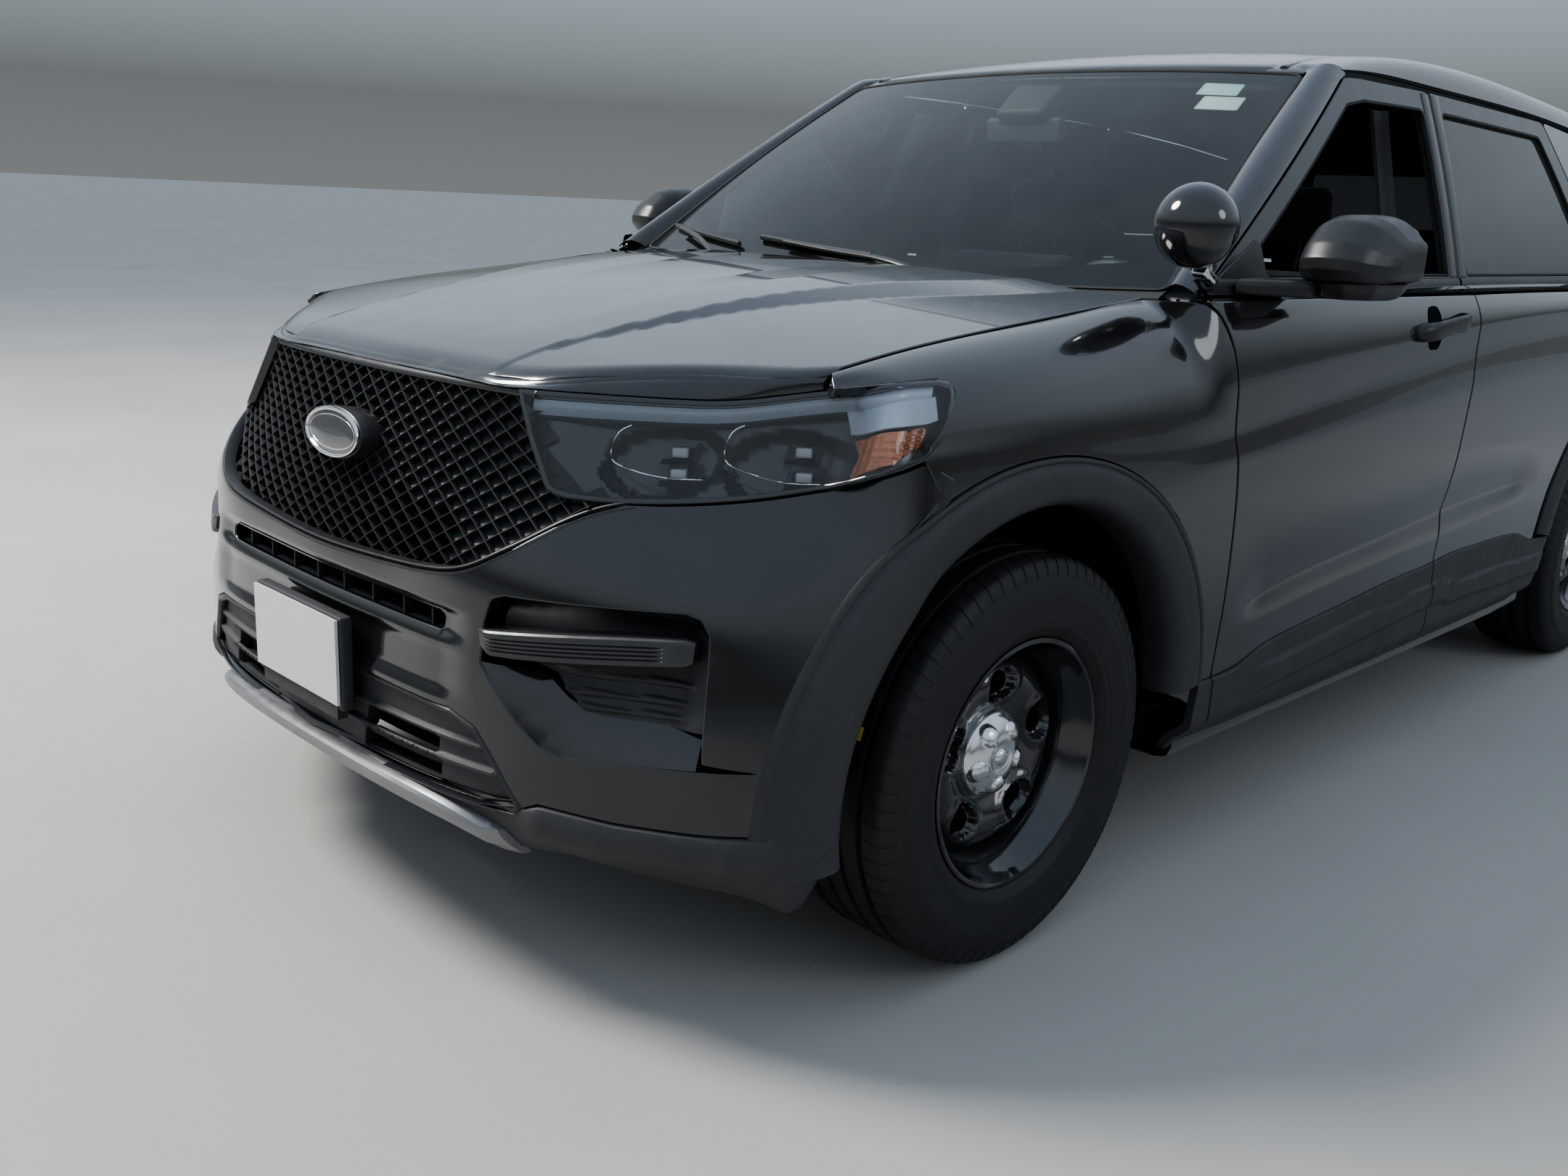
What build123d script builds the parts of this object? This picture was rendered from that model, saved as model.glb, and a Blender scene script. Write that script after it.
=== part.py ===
"""Full-size police sport-utility vehicle, as an assembly of separate panels, glass, seats, running gear and wheels.

Frame: +X forward, +Y to the vehicle's left, +Z up, origin on the ground under the middle of the vehicle. Millimetres.
Left-hand pieces are modelled and the right-hand ones are their mirror image in the XZ plane.
"""
from build123d import *
import math
import os

os.makedirs("parts", exist_ok=True)

# ---------------------------------------------------------------- driving dimensions
LENGTH = 5050.0
WHEELBASE = 3025.0
X_FRONT_AXLE = 1660.0
X_REAR_AXLE = X_FRONT_AXLE - WHEELBASE
TRACK = 1699.0
Y_WHEEL = TRACK / 2
TYRE_R = 375.0
TYRE_W = 252.0
RIM_R = 228.6
AXLE_Z = TYRE_R
ARCH_R = 452.0          # edge of the wheel opening
FLARE_R = 542.0         # outer edge of the black wheel-arch flare
ARCH_Z = 380.0
GAP = 8.0               # shut line between panels
SKIN = 30.0             # outer skin band of doors and fenders
DOOR_IN_Y = 838.0       # inner face of the doors
RING_OUT_Y = 825.0      # outer face of the body's door-opening frame
RING_IN_Y = 745.0
KINGPIN_Y = 800.0
HINGE_Y = 967.0
FRONT_HINGE_X = 1005.0
REAR_HINGE_X = -168.0
HOOD_HINGE = (1168.0, 1152.0)
GATE_HINGE = (-2062.0, 1679.0)
COLUMN_TILT = 24.0
STEER_C = (560.0, 380.0, 1035.0)

# Plan half-width of the body side, at its widest height: (x, half width)
PLAN = [(-2520, 800), (-2400, 868), (-2200, 920), (-1800, 962), (-1365, 980), (-900, 982), (0, 984), (1000, 982),
        (1400, 978), (1660, 974), (1900, 962), (2060, 945), (2180, 920)]
# Inset of the side from that half-width: (z, inset)
INSET = [(250, 55), (330, 22), (400, 6), (455, 8), (540, 26), (640, 10), (760, 0), (880, 2), (980, 10), (1060, 22),
         (1110, 36), (1150, 58)]
# Greenhouse: half-width at the foot of the glass, by x
GLASS_FOOT = [(-2420, 790), (-2300, 820), (-1800, 872), (-1000, 900), (0, 906), (600, 904), (1120, 890)]
Z_FOOT = 1165.0
# Roof: (x, centre height), and the height it loses 600 mm from the middle
ROOF_Z = [(-2400, 1632), (-2050, 1680), (-1550, 1718), (-1000, 1750), (-500, 1765), (-100, 1749), (200, 1716), (440, 1668)]
CROWN = [(-2400, 34), (-600, 37), (-100, 27), (440, 18)]
# Top edge of the doors and quarter windows: (x, z)
DOOR_TOP = [(-2300, 1515), (-2000, 1545), (-1500, 1595), (-900, 1632), (-150, 1648), (250, 1646), (430, 1632)]
# Hood: (x, centre height, height at its side edge)
HOOD = [(1150, 1180, 1163), (1400, 1172, 1138), (1660, 1152, 1112), (1900, 1120, 1083), (2100, 1085, 1050),
        (2250, 1054, 1024), (2400, 1006, 990)]
HOOD_EDGE_Y = 806.0


def lerp(table, x, col=1):
    """Straight-line value of one column of a table sorted by its first column."""
    rows = sorted(table)
    if x <= rows[0][0]:
        return float(rows[0][col])
    for a, b in zip(rows, rows[1:]):
        if x <= b[0]:
            return a[col] + (b[col] - a[col]) * (x - a[0]) / (b[0] - a[0])
    return float(rows[-1][col])


def y_side(x, z):
    return lerp(PLAN, x) - lerp(INSET, z)


def y_glass(x, z):
    h = max(0.0, z - Z_FOOT)
    return lerp(GLASS_FOOT, x) - 0.28 * h - 0.00015 * h * h


def z_roof(x, y):
    return lerp(ROOF_Z, x) - lerp(CROWN, x) * (y / 600.0) ** 2


def z_hood(x, y):
    c, e = lerp(HOOD, x, 1), lerp(HOOD, x, 2)
    return c - (c - e) * (abs(y) / HOOD_EDGE_Y) ** 2


# ---------------------------------------------------------------- small builders
def ruled(sections):
    """Solid through closed polygons, each a list of 3-D points with the same count."""
    wires = [Wire.make_polygon([Vector(*p) for p in s], close=True) for s in sections]
    s = Solid.make_loft(wires, ruled=True)
    return s


def prism_xz(points, y0, y1):
    """Outline in the XZ plane, carried from y0 to y1."""
    f = Face(Wire.make_polygon([Vector(x, y0, z) for x, z in points], close=True))
    return Solid.extrude(f, Vector(0, y1 - y0, 0))


def prism_xy(points, z0, z1):
    f = Face(Wire.make_polygon([Vector(x, y, z0) for x, y in points], close=True))
    return Solid.extrude(f, Vector(0, 0, z1 - z0))


def box(x0, x1, y0, y1, z0, z1):
    return Pos((x0 + x1) / 2, (y0 + y1) / 2, (z0 + z1) / 2) * Box(abs(x1 - x0), abs(y1 - y0), abs(z1 - z0))


def rod(a, b, r):
    a, b = Vector(*a), Vector(*b)
    d = b - a
    return Solid.make_cylinder(r, d.length, Plane(origin=a, z_dir=d.normalized()))


def cyl_y(x, z, r, y0, y1):
    return Solid.make_cylinder(r, y1 - y0, Plane(origin=(x, y0, z), z_dir=(0, 1, 0)))


def mirror_y(s):
    return s.mirror(Plane.XZ)


def fuse(*parts):
    parts = [p for p in parts if p is not None]
    out = parts[0]
    for p in parts[1:]:
        out = out + p
    return out


def solids_of(*parts):
    out = []
    for p in parts:
        out += list(p.solids()) if hasattr(p, "solids") else list(p)
    return out


def save(name, *parts):
    s = solids_of(*parts)
    export_step(Compound(children=s) if len(s) > 1 else s[0], f"parts/{name}.step")


def side_slab(out, inn, z_rows, x_rows, f):
    """Band that follows a side surface f(x, z), from 'out' to 'inn' mm inside it."""
    secs = []
    for x in x_rows:
        o = [(x, f(x, z) - out, z) for z in z_rows]
        i = [(x, f(x, z) - inn, z) for z in reversed(z_rows)]
        secs.append(o + i)
    return ruled(secs)


def ring_y(x, z, r0, r1, y0, y1):
    return cyl_y(x, z, r1, y0, y1) - cyl_y(x, z, r0, y0 - 5, y1 + 5)


X_LOW = [2180, 2060, 1900, 1660, 1400, 1000, 0, -900, -1365, -1800, -2200, -2400]
Z_LOW = [330, 400, 455, 540, 640, 760, 880, 980, 1060, 1110, 1150]
X_UP = [1130, 600, 0, -1000, -1800, -2300, -2420]
Z_UP = [1165, 1290, 1420, 1540, 1660]

low_skin = side_slab(0, SKIN, Z_LOW, X_LOW, y_side)
low_deep = side_slab(SKIN - 2, 220, [360, 540, 760, 980, 1152], [1150, 600, 0, -900, -1365], y_side)
up_frame = side_slab(0, 28, Z_UP, X_UP, y_glass)
up_deep = side_slab(0, 88, Z_UP, X_UP, y_glass)
up_inner = side_slab(38, 88, Z_UP, X_UP, y_glass)
up_glass = side_slab(8, 13, Z_UP, X_UP, y_glass)

# ---------------------------------------------------------------- door outlines in the XZ plane
# rear edge of the front door, rear edge of the rear door
B_CUT = [(-104, 1170), (-108, 1100), (-95, 950), (-72, 800), (-50, 650), (-35, 500), (-30, 338)]
FRONT_EDGE = [(1100, 338), (1072, 410), (1060, 480), (1060, 1030), (1078, 1090), (1100, 1150), (1104, 1170)]
front_low = FRONT_EDGE + B_CUT
front_up = [(1104, 1148), (1094, 1176), (330, 1632), (250, 1638), (-136, 1640), (-104, 1210), (-105, 1148)]
front_core = [(1030, 1150), (1030, 365), (-20, 365), (-58, 700), (-78, 950), (-82, 1150)]
front_window = [(940, 1218), (345, 1582), (255, 1596), (-92, 1600), (-66, 1238), (700, 1206)]
UP_GAP = 15.0           # shut line between upper door frames, which move rearwards as they open
DOOR_GAP = 12.5         # shut line between the doors below the glass, wide enough for the front door's inner edge to swing past
ARC = [(X_REAR_AXLE + (FLARE_R + GAP) * math.cos(math.radians(a)), ARCH_Z + (FLARE_R + GAP) * math.sin(math.radians(a))) for a in (-4, 4, 14, 24, 34, 44, 54, 64, 71)]
rear_low = [(x - DOOR_GAP, z) for x, z in reversed(B_CUT)] + [(-1262, 1170), (-1262, 1090)] + ARC[:0:-1] + [(-812, 338)]
rear_up = [(-105 - DOOR_GAP, 1148), (-104 - UP_GAP, 1210), (-136 - UP_GAP, 1640), (-940, 1624), (-1245, 1262), (-1250, 1148)]
rear_core = [(-195, 1150), (-195, 365), (-770, 365), (-775, 480), (-860, 740), (-1000, 890), (-1150, 950), (-1215, 1090), (-1215, 1150)]
rear_window = [(-200, 1240), (-236, 1600), (-900, 1584), (-1150, 1270), (-700, 1256)]


def make_door(low, up, core, window):
    """Outer skin, thick inner shell and window frame, joined by the rail under the glass."""
    lower = low_skin & prism_xz(low, 700, 1100)
    inner = low_deep & prism_xz(core, DOOR_IN_Y, 1000)
    frame = (up_frame & prism_xz(up, 400, 1100)) - prism_xz(window, 400, 1100)
    x1, x0 = max(p[0] for p in core), min(p[0] for p in core)
    belt = ruled([[(x, 873, 1120), (x, y_side(x, 1120) - 6, 1120), (x, y_side(x, 1150) - 6, 1150), (x, y_glass(x, 1196) - 2, 1196), (x, 873, 1196)] for x in (x1, (x0 + x1) / 2, x0)])
    return fuse(lower, inner, belt, frame)


front_door_l = make_door(front_low, front_up, front_core, front_window)
rear_door_l = make_door(rear_low, rear_up, rear_core, rear_window)
save("front_door_left", front_door_l)
save("front_door_right", mirror_y(front_door_l))
save("rear_door_left", rear_door_l)
save("rear_door_right", mirror_y(rear_door_l))


def inset(points, d):
    """Outline moved inwards by d mm on every edge."""
    area = sum(a[0] * b[1] - b[0] * a[1] for a, b in zip(points, points[1:] + points[:1]))
    turn = 1 if area > 0 else -1
    lines = []
    for a, b in zip(points, points[1:] + points[:1]):
        ux, uz = b[0] - a[0], b[1] - a[1]
        m = math.hypot(ux, uz)
        nx, nz = -uz / m * turn, ux / m * turn
        lines.append((nx, nz, nx * a[0] + nz * a[1] + d))
    out = []
    for (a1, b1, c1), (a2, b2, c2) in zip([lines[-1]] + lines[:-1], lines):
        det = a1 * b2 - a2 * b1
        out.append(((c1 * b2 - c2 * b1) / det, (a1 * c2 - a2 * c1) / det))
    return out


# window glass fills the opening in each frame; the driver's window is wound down
fg = up_glass & prism_xz(inset(front_window, 1.0), 400, 1100)
rg = up_glass & prism_xz(inset(rear_window, 1.0), 400, 1100)
save("front_window_right", mirror_y(fg))
save("rear_window_left", rg)
save("rear_window_right", mirror_y(rg))

# ---------------------------------------------------------------- door mirrors: arm, housing and glass
# housing sections by distance out: (y, x front, x rear, z low, z high)
MIRROR = [(968, 905, 800, 1225, 1295), (985, 958, 752, 1203, 1322), (1060, 940, 712, 1200, 1333), (1110, 880, 690, 1205, 1325), (1136, 780, 680, 1228, 1290)]
m_secs = []
for y, xf, xr, zl, zh in MIRROR:
    c = 18
    m_secs.append([(xf, y, zl + c), (xf, y, zh - c * 1.6), (xf - 1.6 * c, y, zh), (xr + c, y, zh), (xr, y, zh - c), (xr, y, zl + c), (xr + c, y, zl), (xf - c, y, zl)])
housing = ruled(m_secs)
arm = ruled([[(x0, y, z0) for x0, z0 in ((a, c0), (b, c0), (b, d0), (a, d0))] for y, a, b, c0, d0 in ((900, 1000, 850, 1168, 1200), (960, 985, 850, 1172, 1199), (1040, 930, 800, 1184, 1206))])
mirror_l = fuse(housing, arm) - prism_xz([(1200, 1100), (1200, 1400), (600, 1400), (600, 1100)], 840, 911)
mirror_l = fuse(mirror_l, box(860, 985, 907, 914, 1176, 1202))
save("mirror_left", mirror_l)
save("mirror_right", mirror_y(mirror_l))

# ---------------------------------------------------------------- body sides: sills, posts, quarter panels, upper frames
sill = box(-850, 1130, RING_IN_Y, 940, 232, 326)
save("sills", sill, mirror_y(sill))
posts = [box(1020, 1130, RING_IN_Y, 813, 327, 1124), box(-188, -42, RING_IN_Y, RING_OUT_Y, 327, 1140), box(-896, -850, RING_IN_Y, RING_OUT_Y, 327, 880)]
save("door_posts", *posts, *[mirror_y(p) for p in posts])

# tailgate aperture: everything behind this line, inside this outline, is left to the tailgate
GATE_HALF = [(742, 650), (742, 1185), (730, 1285), (640, 1560), (628, 1600)]


def prism_yz(points, x0, x1):
    f = Face(Wire.make_polygon([Vector(x0, y, z) for y, z in points], close=True))
    return Solid.extrude(f, Vector(x1 - x0, 0, 0))


def gate_outline(d):
    half = [(y + d, z - (d if i == 0 else 0)) for i, (y, z) in enumerate(GATE_HALF)] + [(GATE_HALF[-1][0] + d, 2000)]
    return half + [(-y, z) for y, z in reversed(half)]


behind = prism_xz([(-2290, 300), (-2290, 1165), (-2228, 1290), (-2112, 1573), (-2088, 1610), (-2060, 1640), (-2060, 1900), (-2700, 1900), (-2700, 300)], -1200, 1200)
gate_room = prism_yz(gate_outline(9), -2700, -1900) & behind
spoiler_room = prism_xz([(-2060, 1900), (-2060, 1596), (-2120, 1572), (-2700, 1540), (-2700, 1900)], -1200, 1200)

# quarter panel skin with its inner wheel house and the shelf under the quarter window
quarter_out = [(-1262 - 12, 1160), (-1262 - 12, 1086), (-1200, 905), (-1100, 700), (-1912, 456), (-2336, 654), (-2350, 800), (-2350, 1160)]
quarter = (low_skin & prism_xz(quarter_out, 700, 1100)) - cyl_y(X_REAR_AXLE, ARCH_Z, FLARE_R, 600, 1100)
quarter = quarter - prism_xz([(-1210 + 0, 300), (-1210, 912), (-900, 912), (-900, 300)], 600, 1100)
shelf = box(-2330, -1290, 780, 884, 1128, 1150)
inner = box(-2280, -930, RING_IN_Y, RING_IN_Y + 36, 620, 1140) - cyl_y(X_REAR_AXLE, AXLE_Z, 466, 500, 1100)
inner = inner - prism_xz([(-1240, 300), (-1240, 1200), (-800, 1200), (-800, 300)], 790, 900)
link = box(-2280, -1290, RING_IN_Y, 884, 1128, 1150)
tail_post = box(-2280, -2200, RING_IN_Y, 860, 640, 1140)
lamp_room = box(-2600, -2232, 752, 1100, 984, 1142)
quarter = fuse(quarter, shelf, inner, link, tail_post) - lamp_room - gate_room
quarter = sorted(quarter.solids(), key=lambda q: -q.volume)[0]
save("quarter_panels", quarter, mirror_y(quarter))

# upper frame: windshield pillar, centre and rear pillars and roof rail, with an outer band flush with the doors and an inner flange behind them
DRIP = [(402, 1646), (250, 1658), (-150, 1660), (-900, 1644), (-1500, 1607), (-2000, 1557), (-2330, 1524)]
# its rear edge stays ahead of the path of the tailgate
outer_frame = [(1130, 1167)] + DRIP[:-1] + [(-2165, 1540), (-2212, 1470), (-2264, 1330), (-2330, 1230), (-2345, 1167)]
doors_open = [(1110, 1150), (1104, 1178), (338, 1640), (250, 1650), (-150, 1652), (-952, 1636), (-1260, 1264), (-1266, 1150)]
quarter_window = [(-1352, 1300), (-1122, 1572), (-1500, 1562), (-1960, 1498), (-2180, 1420), (-2180, 1330), (-1900, 1318)]
inner_front = [(1100, 1150), (1096, 1176), (1040, 1210), (940, 1238), (350, 1584), (258, 1598), (-70, 1602), (-50, 1150)]
inner_rear = [(-136, 1150), (-148, 1205), (-166, 1255), (-225, 1598), (-890, 1582), (-1160, 1262), (-1180, 1150)]
outer = (up_deep & prism_xz(outer_frame, 400, 1100)) - prism_xz(doors_open, 400, 1100)
flange = (up_inner & prism_xz(outer_frame, 400, 1100)) - prism_xz(inner_front, 400, 1100) - prism_xz(inner_rear, 400, 1100)
rail_secs = []
for x in (402, 200, -150, -500, -1000, -1500, -2048):
    zt = lerp(DRIP, x) if x < 402 else 1646
    yo, zr = y_glass(x, zt), z_roof(x, 612)
    zr = max(zr, zt + 2)
    rail_secs.append([(x, yo, zt), (x, yo - 26, zt + (zr - zt) * 0.55), (x, yo - 62, zt + (zr - zt) * 0.86), (x, 612, zr), (x, 612, zr - 34),
                      (x, yo - 84, min(zt + 6, zr - 30)), (x, yo - 80, zt - 26), (x, yo - 42, zt - 26), (x, yo - 40, zt)])
rail = ruled(rail_secs)
upper = fuse(outer, flange) - prism_xz(quarter_window, 400, 1100)
upper = fuse(upper, rail)
# room for the windshield glass, and for the cowl below it
glass_room = prism_xz([(1230, 1069), (388, 1635), (392, 1900), (1400, 1400)], 400, 1100) & prism_xy([(1400, 400), (1400, 860), (1092, 812), (396, 690), (386, 690), (376, 400)], 1000, 2000)
upper = upper - glass_room - gate_room - spoiler_room
upper = sorted(upper.solids(), key=lambda q: -q.volume)[0]
save("upper_frames", upper, mirror_y(upper))

qg = up_glass & prism_xz(inset(quarter_window, 1.0), 400, 1100)
save("quarter_windows", qg, mirror_y(qg))

# ---------------------------------------------------------------- roof
roof_secs = []
ROOF_Y = [-610, -400, -200, 0, 200, 400, 610]
for x in (-2050, -1550, -1000, -500, -100, 200, 440):
    roof_secs.append([(x, y, z_roof(x, y)) for y in ROOF_Y] + [(x, y, z_roof(x, y) - 26) for y in reversed(ROOF_Y)])
roof_plan = [(-2050, -610), (-2050, 610), (392, 610), (406, 500), (422, 250), (428, 0), (422, -250), (406, -500), (392, -610)]
save("roof_panel", ruled(roof_secs) & prism_xy(roof_plan, 1500, 1800))

# ---------------------------------------------------------------- windshield: (y foot, x foot, z foot, y head, x head, z head)
WS = [(-806, 1092, 1172, -683, 398, 1640), (-600, 1140, 1164, -500, 418, 1650), (-300, 1186, 1158, -250, 434, 1658), (0, 1200, 1156, 0, 440, 1661),
      (300, 1186, 1158, 250, 434, 1658), (600, 1140, 1164, 500, 418, 1650), (806, 1092, 1172, 683, 398, 1640)]
ws_secs = []
for yf, xf, zf, yh, xh, zh in WS:
    n = (-3.4, 0, -5.0)
    ws_secs.append([(xf + 3, yf, zf + 2), (xh + 3, yh, zh + 2), (xh + n[0], yh, zh + n[1]), (xf + n[0], yf, zf + n[1])])
save("windshield", ruled(ws_secs))

# ---------------------------------------------------------------- front fenders
fender_secs = []
for x in (1070, 1300, 1500, 1660, 1900, 2060):
    zh = lerp(HOOD, x, 2)
    ys = HOOD_EDGE_Y + GAP
    yi = 838 if x < 1200 else ys + 22
    fender_secs.append([(x, y_side(x, 345), 345), (x, y_side(x, 455), 455), (x, y_side(x, 640), 640), (x, y_side(x, 880), 880), (x, y_side(x, 1000), zh - 92),
                        (x, y_side(x, 1060) - 12, zh - 40), (x, ys + 40, zh - 8), (x, ys, zh), (x, ys, zh - 26), (x, yi, zh - 36), (x, y_side(x, 1060) - 48, zh - 64),
                        (x, y_side(x, 1000) - 32, zh - 106), (x, y_side(x, 880) - 30, 880), (x, y_side(x, 640) - 30, 640), (x, y_side(x, 455) - 30, 455), (x, y_side(x, 345) - 30, 345)])
fender = ruled(fender_secs)
door_room = [(x + GAP, z) for x, z in FRONT_EDGE[:-1]] + [(1104 + GAP, 1300), (900, 1300), (900, 300), (1100 + GAP, 300)]
nose_room = prism_xz([(1914, 860), (1942, 978), (1942, 1000), (2400, 1000), (2400, 300), (1900, 300)], 600, 1100)
# each row: y, then x and z of the lens at its lower edge and at its upper edge
LAMP = [(436, 2344, 985, 2334, 1002), (470, 2347, 934, 2318, 1003), (514, 2353, 876, 2291, 1003), (542, 2345, 857, 2272, 1003), (639, 2277, 856, 2200, 1004), (795, 2126, 878, 2060, 1026),
        (880, 2034, 906, 1983, 1045), (940, 1956, 945, 1932, 1055), (951, 1932, 990, 1917, 1040)]


def lamp_solid(front, back, grow_z, y_grow=0.0):
    last = len(LAMP) - 1
    rows = [(y - (y_grow if i == 0 else 0) + (y_grow if i == last else 0), xb, z0, xt, z1) for i, (y, xb, z0, xt, z1) in enumerate(LAMP)]
    return ruled([[(xb + front, y, z0 - grow_z), (xt + front, y, z1 + grow_z), (xt - back, y, z1 + grow_z), (xt - back, y, z0 - grow_z)] for y, xb, z0, xt, z1 in rows])


fender = fender - cyl_y(X_FRONT_AXLE, ARCH_Z, FLARE_R, 600, 1100) - nose_room - prism_xz(door_room, 600, 1100) - lamp_solid(60, 90, 6, 30)
fender = fender - prism_xz([(1300, 700), (1660, 700), (1660, 300), (1300, 300)], 600, 1100)
fender = sorted(fender.solids(), key=lambda q: -q.volume)[0]
save("front_fenders", fender, mirror_y(fender))

# ---------------------------------------------------------------- wheel-arch flares (front and rear, both sides)
flare_band = side_slab(-20, 46, Z_LOW, X_LOW, y_side)
flares = []
for xa in (X_FRONT_AXLE, X_REAR_AXLE):
    f = flare_band & ring_y(xa, ARCH_Z, ARCH_R, FLARE_R - 1.5, 800, 1100)
    f = f - box(xa - 700, xa + 700, 700, 1100, 200, 334)
    f = sorted(f.solids(), key=lambda s: -s.volume)[0]
    flares += [f, mirror_y(f)]
save("arch_flares", *flares)

# wheel-arch liners: half-round shells over each wheel
liners = []
for xa, y0 in ((X_FRONT_AXLE, 560), (X_REAR_AXLE, 660)):
    ln = ring_y(xa, AXLE_Z, 458, 463.5, y0, 862) - box(xa - 700, xa + 700, 0, 1100, -200, AXLE_Z)
    if xa < 0:
        ln = ln + (cyl_y(xa, AXLE_Z, 463.5, y0 - 6, y0 + 0.5) - box(xa - 700, xa + 700, 0, 1100, -200, 464))
    liners += [ln, mirror_y(ln)]
save("wheel_liners", *liners)

# ---------------------------------------------------------------- front bumper cover: plan curve of the nose at each height
# (z, then x at |y| = 0, 250, 430, 600, 760, 870, 940)
NOSE_Y = [0, 250, 430, 600, 760, 870, 940]
NOSE = [(250, 2440, 2430, 2400, 2335, 2262, 2220, 2195), (335, 2496, 2488, 2462, 2405, 2325, 2255, 2180), (430, 2492, 2486, 2466, 2415, 2335, 2262, 2175),
        (520, 2490, 2484, 2468, 2415, 2332, 2255, 2160), (640, 2480, 2473, 2458, 2400, 2312, 2225, 2120), (740, 2464, 2458, 2446, 2385, 2285, 2180, 2060),
        (850, 2440, 2432, 2405, 2312, 2180, 2080, 1990), (975, 2410, 2400, 2350, 2245, 2110, 2015, 1950)]
nose_secs = []
for row in NOSE:
    z, xs = row[0], row[1:]
    half = list(zip(xs, NOSE_Y)) + [(1900 if z > 800 else 2100, min(966, 946 + 0.03 * z))]
    full = [(x, -y, z) for x, y in reversed(half)] + [(x, y, z) for x, y in half[1:]]
    back = [(x - 64, y) for x, y in half[:5]] + [(half[5][0] - 64, 846), (half[6][0] - 60, 892), (half[7][0], half[7][1] - 36)]
    nose_secs.append(full + [(x, y, z) for x, y in reversed(back)] + [(x, -y, z) for x, y in back[1:]])
nose = ruled(nose_secs)
nose = nose - cyl_y(X_FRONT_AXLE, ARCH_Z, FLARE_R, 700, 1100) - cyl_y(X_FRONT_AXLE, ARCH_Z, FLARE_R, -1100, -700)
lamp_l = lamp_solid(0, 70, 0)
lr = fuse(lamp_solid(120, 200, 7, 60), prism_yz([(430, 880), (500, 850), (639, 849), (795, 871), (880, 899), (940, 936), (1000, 985), (1000, 1200), (430, 1200)], 1700, 2600))
side_room = prism_xz([(1800, 700), (1922, 860), (1950, 985), (1800, 985)], 800, 1100)
nose = nose - lr - mirror_y(lr) - side_room - mirror_y(side_room)
nose = nose - prism_yz([(-634, 849), (-566, 815), (-490, 754), (-440, 730), (-360, 710), (0, 697), (360, 710), (440, 730), (490, 754), (566, 815), (634, 849), (634, 1100), (-634, 1100)], 2000, 2700)
nose = nose - prism_yz([(-375, 628), (375, 628), (372, 655), (-372, 655)], 2300, 2700)
nose = nose - prism_yz([(-540, 350), (540, 350), (425, 512), (-425, 512)], 2300, 2700)
nose = sorted(nose.solids(), key=lambda q: -q.volume)[0]
save("front_bumper", nose)

# upper grille leaning back between the lamps, and the lower one behind its opening: (z, x in the middle, x at the ends, half width)
G_ROWS = [(716, 2448, 2440, 300), (736, 2442, 2416, 424), (762, 2436, 2392, 480), (816, 2424, 2344, 548), (843, 2414, 2300, 596), (858, 2410, 2332, 500), (880, 2402, 2336, 484), (934, 2382, 2330, 452), (992, 2354, 2320, 424)]
g_secs = []
for z, xm, xe, hw in G_ROWS:
    f = [(xm - (xm - xe) * t * t, t * hw, z) for t in (-1, -0.6, 0, 0.6, 1)]
    g_secs.append(f + [(x - 20, y, z) for x, y, z in reversed(f)])
lower_grille = prism_yz([(-505, 354), (505, 354), (415, 510), (-415, 510)], 2384, 2398)
save("grilles", ruled(g_secs), lower_grille)
# number-plate bracket, and the plate with its two bolt holes
PLATE_BOLTS = 177.8
bracket = box(2500, 2519, -140, 140, 410, 585)
bracket = fuse(bracket, box(2494, 2501, -120, 120, 440, 560))
plate = box(2519.4, 2525, -152.4, 152.4, 440, 592)
for y in (-PLATE_BOLTS / 2, PLATE_BOLTS / 2):
    hole = Solid.make_cylinder(3.5, 80, Plane(origin=(2460, y, 574), z_dir=(1, 0, 0)))
    plate, bracket = plate - hole, bracket - hole
save("plate_bracket", bracket)
save("front_plate", plate)

# ---------------------------------------------------------------- headlamps
save("headlamps", lamp_l, mirror_y(lamp_l))

# ---------------------------------------------------------------- hood
HX = [1150, 1300, 1500, 1660, 1900, 2100, 2250, 2400]
hy = [-HOOD_EDGE_Y, -540, -270, 0, 270, 540, HOOD_EDGE_Y]
hood = ruled([[(x, y, z_hood(x, y)) for y in hy] + [(x, y, z_hood(x, y) - 18) for y in reversed(hy)] for x in HX])
hood_plan = [(1262, 0), (1248, 300), (1205, 600), (1176, 806), (2036, 806), (2058, 786), (2200, 600), (2322, 434), (2343, 250), (2348, 0)]
hood_plan = hood_plan + [(x, -y) for x, y in reversed(hood_plan[1:-1])]
hood = hood & prism_xy(hood_plan, 900, 1300)
save("hood", hood)

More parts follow.
